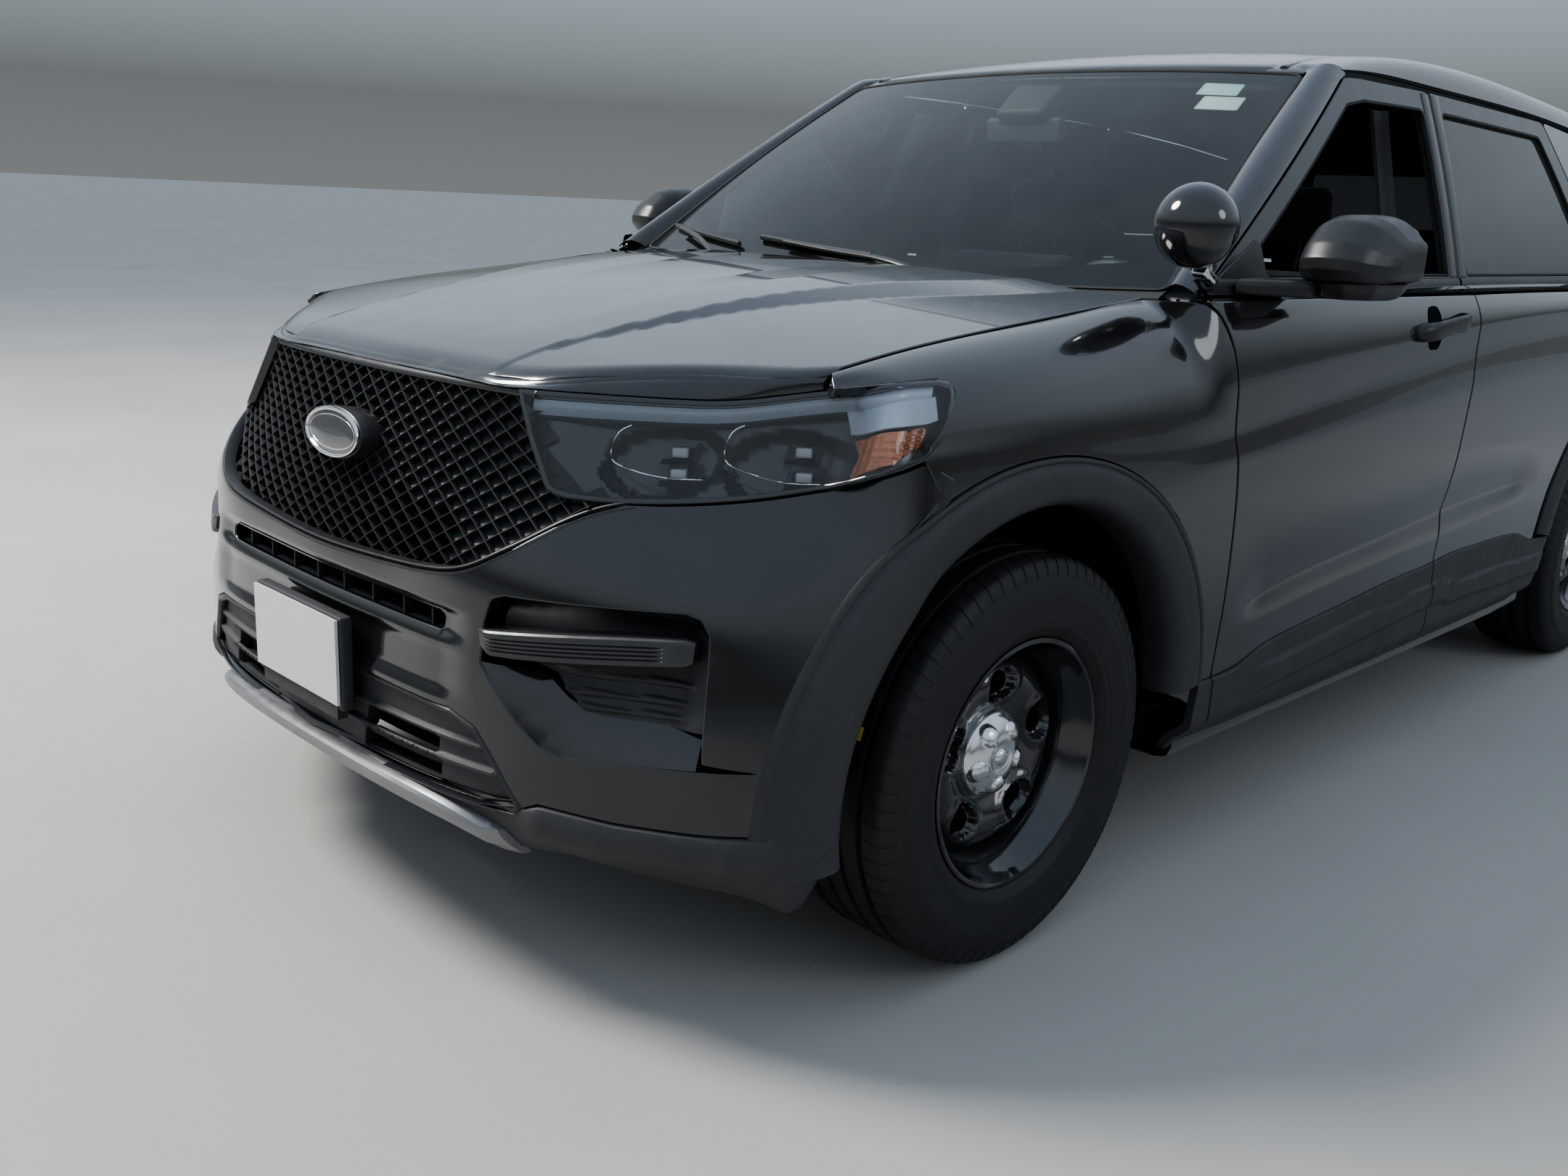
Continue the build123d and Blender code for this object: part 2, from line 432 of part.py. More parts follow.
# ---------------------------------------------------------------- floor, firewall, cowl
prof = [(1130, 250), (1130, 284), (-850, 284), (-1010, 560), (-2285, 560), (-2285, 528), (-1030, 528), (-876, 250)]
floor = prism_xz(prof, -560, 560)
floor = fuse(floor, box(-846, 1130, -743, -559, 250, 284), box(-846, 1130, 559, 743, 250, 284), box(-830, -300, 160, 640, 200, 251), box(-2285, -1850, -743, -559, 528, 560), box(-2285, -1850, 559, 743, 528, 560))
tunnel = box(-800, 1130, -150, 150, 283, 420) - box(-790, 1120, -118, 118, 200, 395)
floor = floor - box(-790, 1120, -118, 118, 200, 300)
floor = fuse(floor, tunnel)
save("floor_pan", floor)
fire = fuse(box(2180, 2230, -430, 430, 422, 795), box(1133, 1162, -743, 743, 250, 1085), box(1110, 1240, -743, 743, 1084, 1100), box(1160, 2260, 430, 500, 420, 520), box(1160, 2260, -500, -430, 420, 520),
            box(2225, 2290, -640, 640, 400, 520), box(2225, 2260, -500, -440, 518, 800), box(2225, 2260, 440, 500, 518, 800), box(2225, 2260, -500, 500, 800, 830))
save("front_structure", fire)
cowl_secs = [[(x0, y, z0), (x1, y, z1), (x1 - 8, y, z1 - 22), (x0 + 4, y, z0 - 22)] for y, x0, z0, x1, z1 in ((-740, 1150, 1140, 1085, 1140), (-300, 1232, 1140, 1168, 1134), (0, 1244, 1140, 1182, 1132), (300, 1232, 1140, 1168, 1134), (740, 1150, 1140, 1085, 1140))]
save("cowl", ruled(cowl_secs))
save("engine", box(1290, 1900, -330, 330, 380, 960))

# ---------------------------------------------------------------- rear: tailgate, glass, lamps and bumper
gate_secs = []
for y, w, dx in ((-760, 640, 52), (-600, 600, 28), (-300, 300, 8), (0, 0, 0), (300, 300, 8), (600, 600, 28), (760, 640, 52)):
    zt = z_roof(-2072, w) - 3
    gate_secs.append([(x, y, z) for x, z in
                      [(-2068, zt), (-2200, z_roof(-2200, w) - 4), (-2326 + dx, z_roof(-2326, w) - 6), (-2330 + dx, z_roof(-2326, w) - 34), (-2232 + dx, 1566), (-2352 + dx, 1285),
                       (-2400 + dx, 1170), (-2420 + dx, 1000), (-2424 + dx, 860), (-2412 + dx, 722), (-2352 + dx, 722), (-2352 + dx, 1160), (-2290 + dx, 1285), (-2176 + dx, 1560),
                       (-2160 + dx * 0.5, 1590), (-2080, 1622)]])
gate = ruled(gate_secs) & prism_yz(gate_outline(0), -2700, -1900)
gate_window = [(-600, 1205), (600, 1205), (540, 1520), (-540, 1520)]
gate = gate - prism_yz(gate_window, -2500, -2000)
gate = sorted(gate.solids(), key=lambda q: -q.volume)[0]
save("tailgate", gate)
gg = ruled([[(-2378 + dx, y, 1196), (-2242 + dx, y, 1532), (-2236 + dx, y, 1530), (-2372 + dx, y, 1194)] for y, dx in ((-640, 32), (-300, 9), (0, 1), (300, 9), (640, 32))])
gg = gg & prism_yz([(-599, 1206), (599, 1206), (539, 1519), (-539, 1519)], -2500, -2000)
save("tailgate_window", gg)
lamp = prism_xy([(-2244, 766), (-2244, 896), (-2300, 872), (-2352, 838), (-2376, 800), (-2376, 766)], 990, 1136)
save("tail_lamps", lamp, mirror_y(lamp))
# (z, then x at the middle, 450, 760 and 905 mm out)
REAR = [(380, -2440, -2420, -2360, -2240), (470, -2505, -2487, -2420, -2290), (640, -2525, -2505, -2440, -2310), (706, -2500, -2485, -2430, -2310)]
rear_secs = []
for z, x0, x1, x2, x3 in REAR:
    half = [(x0, 0), (x1, 450), (x2, 760), (x3, 896), (-1925, 948)]
    inn = [(-1925, 915), (x3 + 40, 862), (x2 + 62, 716), (x1 + 62, 430), (x0 + 62, 0)]
    rear_secs.append([(x, -y, z) for x, y in reversed(half)] + [(x, y, z) for x, y in half[1:]] + [(x, y, z) for x, y in inn] + [(x, -y, z) for x, y in reversed(inn[:-1])])
rear_bumper = ruled(rear_secs)
quarter_room = [(-1700, 392), (-1908, 445), (-2344, 646), (-2344, 800), (-1700, 800)]
for y0, y1 in ((700, 1100), (-1100, -700)):
    rear_bumper = rear_bumper - cyl_y(X_REAR_AXLE, ARCH_Z, FLARE_R + 1, y0, y1) - prism_xz(quarter_room, y0, y1)
rear_bumper = sorted(rear_bumper.solids(), key=lambda q: -q.volume)[0]
save("rear_bumper", rear_bumper)
rear_plate = box(-2440, -2434, -152.4, 152.4, 820, 972)
for y in (-PLATE_BOLTS / 2, PLATE_BOLTS / 2):
    rear_plate = rear_plate - Solid.make_cylinder(3.5, 80, Plane(origin=(-2480, y, 954), z_dir=(1, 0, 0)))
rear_plate = fuse(rear_plate, box(-2434, -2425, -80, 80, 840, 930))
save("rear_plate", rear_plate)

# ---------------------------------------------------------------- seats, dashboard, steering wheel
BACK = (-0.23, 1.0)     # lean of a seat back, x per z


def lean_box(x, z0, z1, y0, y1, depth):
    """Upright block whose front face starts at x on the cushion and leans back."""
    return prism_xz([(x + BACK[0] * z0, 610 + z0), (x + BACK[0] * z1, 610 + z1), (x + BACK[0] * z1 - depth * 0.7, 610 + z1), (x + BACK[0] * z0 - depth, 610 + z0)], y0, y1)


def seat(x, y):
    """Front bucket seat: x is where cushion and back meet."""
    return fuse(prism_xz([(x - 60, 480), (x + 500, 480), (x + 515, 600), (x + 470, 622), (x - 60, 600)], y - 250, y + 250), box(x + 60, x + 420, y - 190, y + 190, 286, 481),
                lean_box(x, -40, 610, y - 245, y + 245, 130), lean_box(x - 20, 600, 640, y - 70, y + 70, 40), lean_box(x - 8, 636, 800, y - 130, y + 130, 90))


save("front_seats", seat(0, 395), seat(0, -395))
bench = fuse(prism_xz([(-930, 470), (-470, 470), (-455, 590), (-500, 612), (-985, 600), (-985, 532)], -640, 640), box(-850, -560, 170, 560, 286, 471), box(-850, -560, -560, -170, 286, 471),
             *[lean_box(-950, -10, 600, y - 205, y + 205, 100) for y in (-430, 0, 430)],
             *[lean_box(-965, 590, 720, y - 115, y + 115, 70) for y in (-430, 430)],
             lean_box(-968, 20, 560, -600, 600, 60))
save("rear_seat", bench)
dash = fuse(prism_xz([(1120, 700), (1120, 1075), (800, 1080), (735, 1010), (745, 800), (860, 700)], -735, 735), box(200, 900, -125, 125, 422, 660))
dash = dash - box(600, 900, 240, 520, 600, 985)
ax = Vector(-math.cos(math.radians(COLUMN_TILT)), 0, math.sin(math.radians(COLUMN_TILT)))
sc = Vector(*STEER_C)
save("dashboard", fuse(dash, rod(tuple(sc - ax * 430), tuple(sc - ax * 62), 38)))
wheel_plane = Plane(origin=sc, x_dir=(0, 1, 0), z_dir=ax)
ring = wheel_plane * (Cylinder(192, 26) - Cylinder(164, 40))
sw = fuse(ring, rod(tuple(sc - ax * 50), tuple(sc - ax * 4), 62), wheel_plane * Box(340, 44, 14), wheel_plane * Pos(0, -88, 0) * Box(40, 160, 14), wheel_plane * Pos(0, 88, 0) * Box(40, 10, 10) if False else None)
if (wheel_plane * Pos(0, -88, 0) * Box(1, 1, 1)).center().Z > sc.Z:
    sw = fuse(ring, rod(tuple(sc - ax * 50), tuple(sc - ax * 4), 62), wheel_plane * Box(340, 44, 14), wheel_plane * Pos(0, 88, 0) * Box(40, 160, 14))
save("steering_wheel", sw)

# ---------------------------------------------------------------- running gear
def tyre(xa, ya):
    w, r = TYRE_W / 2, TYRE_R
    prof = [(96, RIM_R + 0.9), (99, 246), (112, 275), (w, 312), (w - 3, 338), (w - 16, 364), (w - 34, r - 2), (w - 60, r)]
    pts = [(-a, b) for a, b in prof] + [(a, b) for a, b in reversed(prof)]
    f = Face(Wire.make_polygon([Vector(xa, ya + a, AXLE_Z + b) for a, b in pts], close=True))
    return Solid.revolve(f, 360, Axis((xa, ya, AXLE_Z), (0, 1, 0)))


def rim_of(xa, ya, s):
    """Steel wheel: barrel with flanges, stamped disc with five windows, centre cap, hub and brake disc. s = +1 on the left."""
    prof = [(-109, 228), (-109, 244), (-101, 245), (-99, RIM_R), (99, RIM_R), (101, 245), (109, 245), (112, 240), (108, 226), (90, 214), (-92, 214)]
    f = Face(Wire.make_polygon([Vector(xa, ya + s * a, AXLE_Z + b) for a, b in prof], close=True))
    barrel = Solid.revolve(f, 360, Axis((xa, ya, AXLE_Z), (0, 1, 0)))
    disc_prof = [(34, 34), (52, 34), (56, 90), (60, 120), (70, 165), (58, 196), (40, 215), (28, 216), (42, 194), (54, 165), (44, 118), (38, 80)]
    f = Face(Wire.make_polygon([Vector(xa, ya + s * a, AXLE_Z + b) for a, b in disc_prof], close=True))
    disc = Solid.revolve(f, 360, Axis((xa, ya, AXLE_Z), (0, 1, 0)))
    for k in range(5):
        t = math.radians(90 + 72 * k + 36)
        disc = disc - cyl_y(xa + 142 * math.cos(t), AXLE_Z + 142 * math.sin(t), 31, ya - 120, ya + 120)
    cap = rod((xa, ya - s * 30, AXLE_Z), (xa, ya + s * 84, AXLE_Z), 60)
    cap2 = rod((xa, ya + s * 36, AXLE_Z), (xa, ya + s * 84, AXLE_Z), 78)
    rotor = rod((xa, ya - s * 30, AXLE_Z), (xa, ya - s * 4, AXLE_Z), 172)
    return fuse(barrel, disc, cap, cap2, rotor)


for name, xa, s in (("front_left", X_FRONT_AXLE, 1), ("front_right", X_FRONT_AXLE, -1), ("rear_left", X_REAR_AXLE, 1), ("rear_right", X_REAR_AXLE, -1)):
    save(f"{name}_tyre", tyre(xa, s * Y_WHEEL))
    save(f"{name}_rim", rim_of(xa, s * Y_WHEEL, s))

# steering knuckles with hub carrier, caliper and steering arm
def knuckle(s):
    ya = s * Y_WHEEL
    c = fuse(rod((X_FRONT_AXLE, ya - s * 92, AXLE_Z), (X_FRONT_AXLE, ya - s * 33, AXLE_Z), 74),
             box(X_FRONT_AXLE - 35, X_FRONT_AXLE + 35, s * 740, s * 806, AXLE_Z - 118, AXLE_Z + 120),
             box(X_FRONT_AXLE - 150, X_FRONT_AXLE - 20, s * 742, s * 772, AXLE_Z - 30, AXLE_Z + 10))
    cal = box(X_FRONT_AXLE - 190, X_FRONT_AXLE - 100, s * 806, s * 862, AXLE_Z - 60, AXLE_Z + 70) - rod((X_FRONT_AXLE, ya - s * 34, AXLE_Z), (X_FRONT_AXLE, ya + s * 1, AXLE_Z), 178)
    link = box(X_FRONT_AXLE - 188, X_FRONT_AXLE - 20, s * 790, s * 812, AXLE_Z - 40, AXLE_Z + 50)
    return fuse(c, link, cal)


kl = knuckle(1)
save("front_left_knuckle", kl)
save("front_right_knuckle", mirror_y(kl))
# front suspension: subframe, lower arms, strut tubes up to the towers, steering rack
def front_half(s):
    arm = fuse(box(X_FRONT_AXLE - 190, X_FRONT_AXLE + 190, s * 300, s * 380, 262, 302), rod((X_FRONT_AXLE - 120, s * 360, 282), (X_FRONT_AXLE, s * 722, 246), 18), rod((X_FRONT_AXLE + 120, s * 360, 282), (X_FRONT_AXLE, s * 722, 246), 18))
    strut = rod((X_FRONT_AXLE, s * 700, 620), (X_FRONT_AXLE, s * 600, 830), 34)
    tower = box(X_FRONT_AXLE - 90, X_FRONT_AXLE + 90, s * 505, s * 555, 522, 900)
    top = box(X_FRONT_AXLE - 60, X_FRONT_AXLE + 60, s * 505, s * 640, 840, 860) if False else None
    return arm


front_sus = fuse(box(X_FRONT_AXLE - 190, X_FRONT_AXLE + 190, -300, 300, 262, 302), front_half(1), front_half(-1))
save("front_suspension", front_sus)
def rear_half(s):
    carrier = fuse(rod((X_REAR_AXLE, s * 700, AXLE_Z), (X_REAR_AXLE, s * (Y_WHEEL - 33), AXLE_Z), 70), box(X_REAR_AXLE - 60, X_REAR_AXLE + 60, s * 690, s * 730, AXLE_Z - 110, AXLE_Z + 110))
    return fuse(carrier, rod((X_REAR_AXLE, s * 300, 330), (X_REAR_AXLE, s * 712, 300), 24), rod((X_REAR_AXLE - 90, s * 300, 400), (X_REAR_AXLE - 40, s * 712, 440), 18), rod((X_REAR_AXLE, s * 300, AXLE_Z), (X_REAR_AXLE, s * 705, AXLE_Z), 20))


rear_sus = fuse(box(X_REAR_AXLE - 170, X_REAR_AXLE + 150, -310, 310, 300, 430), rear_half(1), rear_half(-1))
save("rear_suspension", rear_sus)
exh = fuse(box(-1950, -2250, -520, -180, 300, 470), rod((-2230, -470, 345), (-2470, -560, 338), 34), rod((-1960, -350, 380), (-1560, -350, 480), 28), rod((-1560, -350, 480), (-1150, -350, 470), 28))
save("exhaust", exh)

# ---------------------------------------------------------------- spotlight on the left windshield pillar
SPOT_C = (1188.0, 905.0, 1298.0)
SPOT_R = 78.0
ball = Pos(*SPOT_C) * Sphere(SPOT_R)
face = Solid.make_cylinder(60, 60, Plane(origin=(SPOT_C[0] + 100, SPOT_C[1], SPOT_C[2]), z_dir=(1, 0, 0)))
stem = rod((SPOT_C[0] - 50, SPOT_C[1] + 8, SPOT_C[2] - 50), (1098, 903, 1198), 13)
save("spotlight", fuse(ball, stem))
print("done")
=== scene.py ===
import math
import bpy
import numpy as np
from mathutils import Matrix, Vector
from mathutils.geometry import delaunay_2d_cdt

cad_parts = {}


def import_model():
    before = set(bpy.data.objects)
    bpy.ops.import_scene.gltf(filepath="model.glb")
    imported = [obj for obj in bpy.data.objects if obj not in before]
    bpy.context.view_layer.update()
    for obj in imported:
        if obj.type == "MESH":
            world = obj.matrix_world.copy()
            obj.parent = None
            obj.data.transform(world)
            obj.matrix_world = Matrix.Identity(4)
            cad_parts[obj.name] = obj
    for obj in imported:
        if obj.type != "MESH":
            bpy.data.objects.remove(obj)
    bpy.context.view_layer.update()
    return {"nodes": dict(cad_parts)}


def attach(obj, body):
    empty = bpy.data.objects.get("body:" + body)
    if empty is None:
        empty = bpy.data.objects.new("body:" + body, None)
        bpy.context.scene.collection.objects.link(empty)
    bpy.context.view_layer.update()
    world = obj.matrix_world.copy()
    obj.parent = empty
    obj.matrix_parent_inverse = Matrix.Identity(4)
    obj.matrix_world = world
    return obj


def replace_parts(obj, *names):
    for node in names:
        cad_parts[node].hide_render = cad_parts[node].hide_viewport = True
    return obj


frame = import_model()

rng = np.random.default_rng(7)

# ---------------------------------------------------------------- curves and surfaces (millimetres)


def cs(xs, ys):
    """Natural cubic spline through (xs, ys); straight beyond its ends."""
    xs = np.array(xs, float); ys = np.array(ys, float)
    n = len(xs); h = np.diff(xs)
    A = np.zeros((n, n)); b = np.zeros(n); A[0, 0] = A[-1, -1] = 1.0
    for i in range(1, n - 1):
        A[i, i - 1], A[i, i], A[i, i + 1] = h[i - 1], 2 * (h[i - 1] + h[i]), h[i]
        b[i] = 6 * ((ys[i + 1] - ys[i]) / h[i] - (ys[i] - ys[i - 1]) / h[i - 1])
    M = np.linalg.solve(A, b)
    s0 = (ys[1] - ys[0]) / h[0] - h[0] * (2 * M[0] + M[1]) / 6
    s1 = (ys[-1] - ys[-2]) / h[-1] + h[-1] * (2 * M[-1] + M[-2]) / 6

    def f(x):
        x = np.asarray(x, float)
        xc = np.clip(x, xs[0], xs[-1])
        i = np.clip(np.searchsorted(xs, xc, side="right") - 1, 0, n - 2)
        a, c = (xs[i + 1] - xc) / h[i], (xc - xs[i]) / h[i]
        y = a * ys[i] + c * ys[i + 1] + ((a ** 3 - a) * M[i] + (c ** 3 - c) * M[i + 1]) * h[i] ** 2 / 6
        return y + np.minimum(x - xs[0], 0) * s0 + np.maximum(x - xs[-1], 0) * s1
    return f


def tab(rows, col=1):
    r = sorted(rows)
    return cs([p[0] for p in r], [p[col] for p in r])


def lin(rows):
    r = sorted(rows)
    a, b = np.array([p[0] for p in r], float), np.array([p[1] for p in r], float)
    return lambda x: np.interp(x, a, b)


def sstep(a, b, x):
    t = np.clip((np.asarray(x, float) - a) / (b - a), 0, 1)
    return t * t * (3 - 2 * t)


def softlin(rows, r, step=1.0, lo=None, hi=None):
    """Straight-line table with its corners rounded over +-r (r may be a list of (x, r))."""
    rows = sorted(rows)
    x = np.arange(rows[0][0] if lo is None else lo, (rows[-1][0] if hi is None else hi) + step, step)
    y = np.interp(x, [p[0] for p in rows], [p[1] for p in rows])
    rr = np.full_like(x, r) if np.isscalar(r) else np.interp(x, [p[0] for p in r], [p[1] for p in r])
    c = np.concatenate([[0], np.cumsum((y[1:] + y[:-1]) / 2 * step)])
    a, b = np.clip(x - rr, x[0], x[-1]), np.clip(x + rr, x[0], x[-1])
    ys = (np.interp(b, x, c) - np.interp(a, x, c)) / np.maximum(b - a, 1e-6)
    return lambda q: np.interp(q, x, ys)


X_FRONT_AXLE, X_REAR_AXLE, Y_WHEEL, AXLE_Z, TYRE_R, RIM_R = 1660.0, -1365.0, 849.5, 375.0, 375.0, 228.6
ARCH_Z = 380.0
W_PLAN = tab([(-2520, 800), (-2400, 868), (-2200, 920), (-1800, 962), (-1365, 980), (-900, 982), (0, 984), (1000, 982), (1400, 978), (1660, 974), (1900, 962), (2060, 945), (2180, 920)])
Y_FOOT = tab([(-2420, 790), (-2300, 820), (-1800, 872), (-1000, 900), (0, 906), (600, 904), (1120, 890)])
ROOF_Z = tab([(-2400, 1632), (-2050, 1680), (-1550, 1718), (-1000, 1750), (-500, 1764.5), (-100, 1750), (200, 1716), (440, 1668)])
CROWN = tab([(-2400, 34), (-600, 37), (-100, 27), (440, 18)])
HOOD_C = tab([(1150, 1180), (1400, 1172), (1660, 1152), (1900, 1120), (2100, 1085), (2250, 1054), (2400, 1006)])
HOOD_S = tab([(1150, 1163), (1400, 1138), (1660, 1112), (1900, 1083), (2100, 1050), (2250, 1024), (2400, 990)])
DRIP = tab([(402, 1646), (250, 1658), (-150, 1660), (-900, 1644), (-1500, 1607), (-2000, 1557), (-2330, 1524)])

# tilt of the side surface from vertical, by reference height: degrees, plus is facing up
T_BASE = softlin([(150, -40), (250, -26), (335, -15), (400, -4), (480, -1), (570, -1.5), (640, -2), (700, -1.5), (780, -0.3), (850, 1.2), (925, 3), (1012, 6.5), (1050, 9), (1090, 14), (1110, 20), (1140, 32), (1165, 46), (1200, 60)], 18)
T_DOOR = softlin([(925, 0), (1200, 0)], 1, lo=150, hi=1201)
T_SHOULDER = softlin([(780, 0.3), (850, 0.6), (905, 1.0), (924, 2.2), (948, 7), (992, 7), (1012, 3), (1022, 1.0), (1050, 0.4), (1084, 0.8), (1096, 13), (1110, 20), (1140, 32), (1165, 46), (1200, 60)], [(780, 20), (900, 12), (1000, 7), (1086, 3.5), (1100, 6), (1120, 15)])
T_SCALLOP = softlin([(480, -1), (560, -1.0), (572, 6), (600, 10), (622, 9), (636, -7), (655, -9), (700, -5.5), (740, -3), (780, -0.3)], [(480, 10), (570, 5), (632, 4), (660, 12), (780, 20)])
_v = np.arange(150.0, 1201.0, 1.0)


def _integral(t):
    s = np.tan(np.radians(t))
    c = np.concatenate([[0], np.cumsum((s[1:] + s[:-1]) / 2)])
    return c - np.interp(780, _v, c)


_tb = T_BASE(_v)
_ts = np.where(_v > 780, T_SHOULDER(_v), _tb)
_tc = np.where((_v < 780) & (_v > 480), T_SCALLOP(_v), _tb)
I_BASE, I_SHO, I_SCA = _integral(_tb), _integral(_ts) - _integral(_tb), _integral(_tc) - _integral(_tb)
V_KNOT = [250, 335, 400, 470, 570, 635, 780, 925, 1012, 1090, 1165]
Z_LINES = [cs([-2500, 2300], [250, 250]), cs([-2500, 2300], [335, 335]), cs([-2500, 2300], [400, 400]),
           tab([(-2400, 470), (-914, 470), (-547, 500), (-70, 498), (359, 482), (644, 462), (900, 430), (1050, 415), (1300, 415), (2300, 415)]),
           tab([(-2400, 600), (-900, 610), (-672, 606), (-153, 576), (526, 544), (979, 508), (1100, 500), (1300, 500), (2300, 500)]),
           tab([(-2400, 650), (-900, 650), (-479, 650), (-107, 640), (399, 606), (807, 574), (1000, 548), (1300, 545), (2300, 545)]),
           cs([-2500, 2300], [780, 780]),
           tab([(-2400, 990), (-1500, 985), (-835, 969), (-136, 940), (219, 914), (660, 888), (1045, 862), (1400, 850), (1800, 880), (2200, 890)]),
           tab([(-2400, 1078), (-1500, 1074), (-761, 1062), (-94, 1030), (253, 998), (680, 956), (1057, 914), (1400, 905), (1800, 940), (2200, 930)]),
           tab([(-2400, 1128), (-1500, 1126), (-784, 1116), (-151, 1095), (247, 1070), (802, 1032), (1039, 1009), (1300, 990), (1660, 992), (2000, 975), (2200, 965)]),
           tab([(-2400, 1165), (1120, 1165), (1200, 1162), (1400, 1140), (1660, 1112), (1900, 1083), (2100, 1050), (2200, 1035)])]
_vb = [np.interp(_v, [a for a in V_KNOT], np.eye(11)[k]) for k in range(11)]
_k = np.hanning(41); _k /= _k.sum()
_vb = [np.convolve(np.pad(b, 20, mode="edge"), _k, mode="valid") for b in _vb]


def side_z(x, v):
    x, v = np.broadcast_arrays(np.asarray(x, float), np.asarray(v, float))
    z = 0
    for k in range(11):
        z = z + np.interp(v, _v, _vb[k]) * (Z_LINES[k](x) - V_KNOT[k])
    return z + v


def fender_top_y(x):
    return 810.0 + 76.0 * sstep(1215, 1110, x)


def side(x, v):
    """Body side below the glass; v is the height on a reference section, so creases follow rows of v."""
    x, v = np.broadcast_arrays(np.asarray(x, float), np.asarray(v, float))
    a1 = sstep(1340, 1080, x)
    a2 = sstep(1015, 860, x) * sstep(-720, -500, x)
    z = side_z(x, v)
    ins = np.interp(v, _v, I_BASE) + a1 * np.interp(v, _v, I_SHO) + a2 * np.interp(v, _v, I_SCA)
    y = W_PLAN(x) - ins
    # front fender: over its shoulder to the edge of the hood
    f = sstep(1090, 1230, x)
    t = np.clip((v - 1040.0) / 125.0, 0, 1)
    zt = side_z(x, 1165.0 + 0 * v)
    vb = np.full_like(v, 1040.0)
    z0 = side_z(x, vb)
    y0 = W_PLAN(x) - (np.interp(1040.0, _v, I_BASE) + a1 * np.interp(1040.0, _v, I_SHO))
    dz = zt - z0
    yt = fender_top_y(x)
    b0, b1, b2, b3 = (1 - t) ** 3, 3 * t * (1 - t) ** 2, 3 * t * t * (1 - t), t ** 3
    yb = b0 * y0 + b1 * (y0 - 0.07 * dz) + b2 * (yt + 0.42 * (y0 - yt)) + b3 * yt
    zb = b0 * z0 + b1 * (z0 + 0.62 * dz) + b2 * (zt - 0.015 * (y0 - yt)) + b3 * zt
    y = np.where(v > 1040, y * (1 - f) + yb * f, y)
    z = np.where(v > 1040, z * (1 - f) + zb * f, z)
    return np.stack([x, y, z], -1)


def side_v(x, z):
    """Reference height of a point at (x, z)."""
    x, z = np.atleast_1d(np.asarray(x, float)), np.atleast_1d(np.asarray(z, float))
    lo, hi = np.full_like(z, 150.0), np.full_like(z, 1200.0)
    for _ in range(40):
        m = (lo + hi) / 2
        g = side_z(x, m) < z
        lo, hi = np.where(g, m, lo), np.where(g, hi, m)
    return (lo + hi) / 2


def sv(pts):
    """Outline given in (x, z) as (x, v)."""
    p = np.array(pts, float)
    return np.column_stack([p[:, 0], side_v(p[:, 0], p[:, 1])])


def y_glass(x, z):
    h = np.maximum(0.0, np.asarray(z, float) - 1165.0)
    return Y_FOOT(x) - 0.28 * h - 0.00015 * h * h


def green(x, z):
    x, z = np.broadcast_arrays(np.asarray(x, float), np.asarray(z, float))
    return np.stack([x, y_glass(x, z), z], -1)


def roof(x, y):
    x, y = np.broadcast_arrays(np.asarray(x, float), np.asarray(y, float))
    return np.stack([x, y, ROOF_Z(x) - CROWN(x) * (y / 600.0) ** 2], -1)


# ---- nose: plan curve of the front at each height, (z, x at each NOSE_Y)
NOSE_Y = [0, 250, 430, 600, 760, 870, 940]
NOSE = [(250, 2440, 2430, 2400, 2335, 2262, 2220, 2195), (335, 2496, 2488, 2462, 2405, 2325, 2255, 2180), (430, 2492, 2486, 2466, 2415, 2335, 2262, 2175),
        (520, 2490, 2484, 2468, 2415, 2332, 2255, 2160), (640, 2480, 2473, 2458, 2400, 2312, 2225, 2120), (740, 2464, 2458, 2446, 2385, 2285, 2180, 2060),
        (850, 2440, 2432, 2405, 2312, 2180, 2080, 1990), (975, 2410, 2400, 2350, 2245, 2110, 2015, 1950)]
NOSE_A = [0, 250, 432, 610, 790, 925, 1020, 1100]
_nx = [cs([r[0] for r in NOSE], [r[k + 1] for r in NOSE]) for k in range(7)]
_nx.append(cs([250, 335, 430, 520, 640, 740, 850, 975], [2120, 2112, 2105, 2092, 2058, 1990, 1920, 1880]))
_full = [-q for q in NOSE_A[:0:-1]] + NOSE_A


def _sym(k, sg):
    d = np.zeros(15); d[7 + k] = 1.0
    if k:
        d[7 - k] = sg
    return cs(_full, d)


_even = [_sym(k, 1) for k in range(8)]
_odd = [_sym(k, -1) for k in range(8)]


def nose(a, z):
    """Front surface; a runs outwards from the middle along the plan curve."""
    a, z = np.broadcast_arrays(np.asarray(a, float), np.asarray(z, float))
    x = sum(_even[k](a) * _nx[k](z) for k in range(8))
    y = sum(c(a) * q for c, q in zip(_odd, NOSE_Y + [963.0]))
    return np.stack([x, y, z], -1)


# ---------------------------------------------------------------- outlines


def fillet(pts, r, n=5):
    """Closed outline with rounded corners; r is one radius or a list of them."""
    P = [np.array(p, float) for p in pts]
    R = [r] * len(P) if np.isscalar(r) else list(r)
    out = []
    for i, p in enumerate(P):
        a, b = P[i - 1] - p, P[(i + 1) % len(P)] - p
        la, lb = np.linalg.norm(a), np.linalg.norm(b)
        if R[i] <= 0 or la < 1e-6 or lb < 1e-6:
            out.append(p); continue
        a, b = a / la, b / lb
        ang = math.acos(max(-1, min(1, float(a @ b))))
        if ang > 3.05:
            out.append(p); continue
        d = min(R[i] / math.tan(ang / 2), 0.45 * la, 0.45 * lb)
        p0, p1 = p + a * d, p + b * d
        for k in range(n + 1):
            t = k / n
            out.append((1 - t) ** 2 * p0 + 2 * t * (1 - t) * p + t * t * p1)
    return np.array(out)


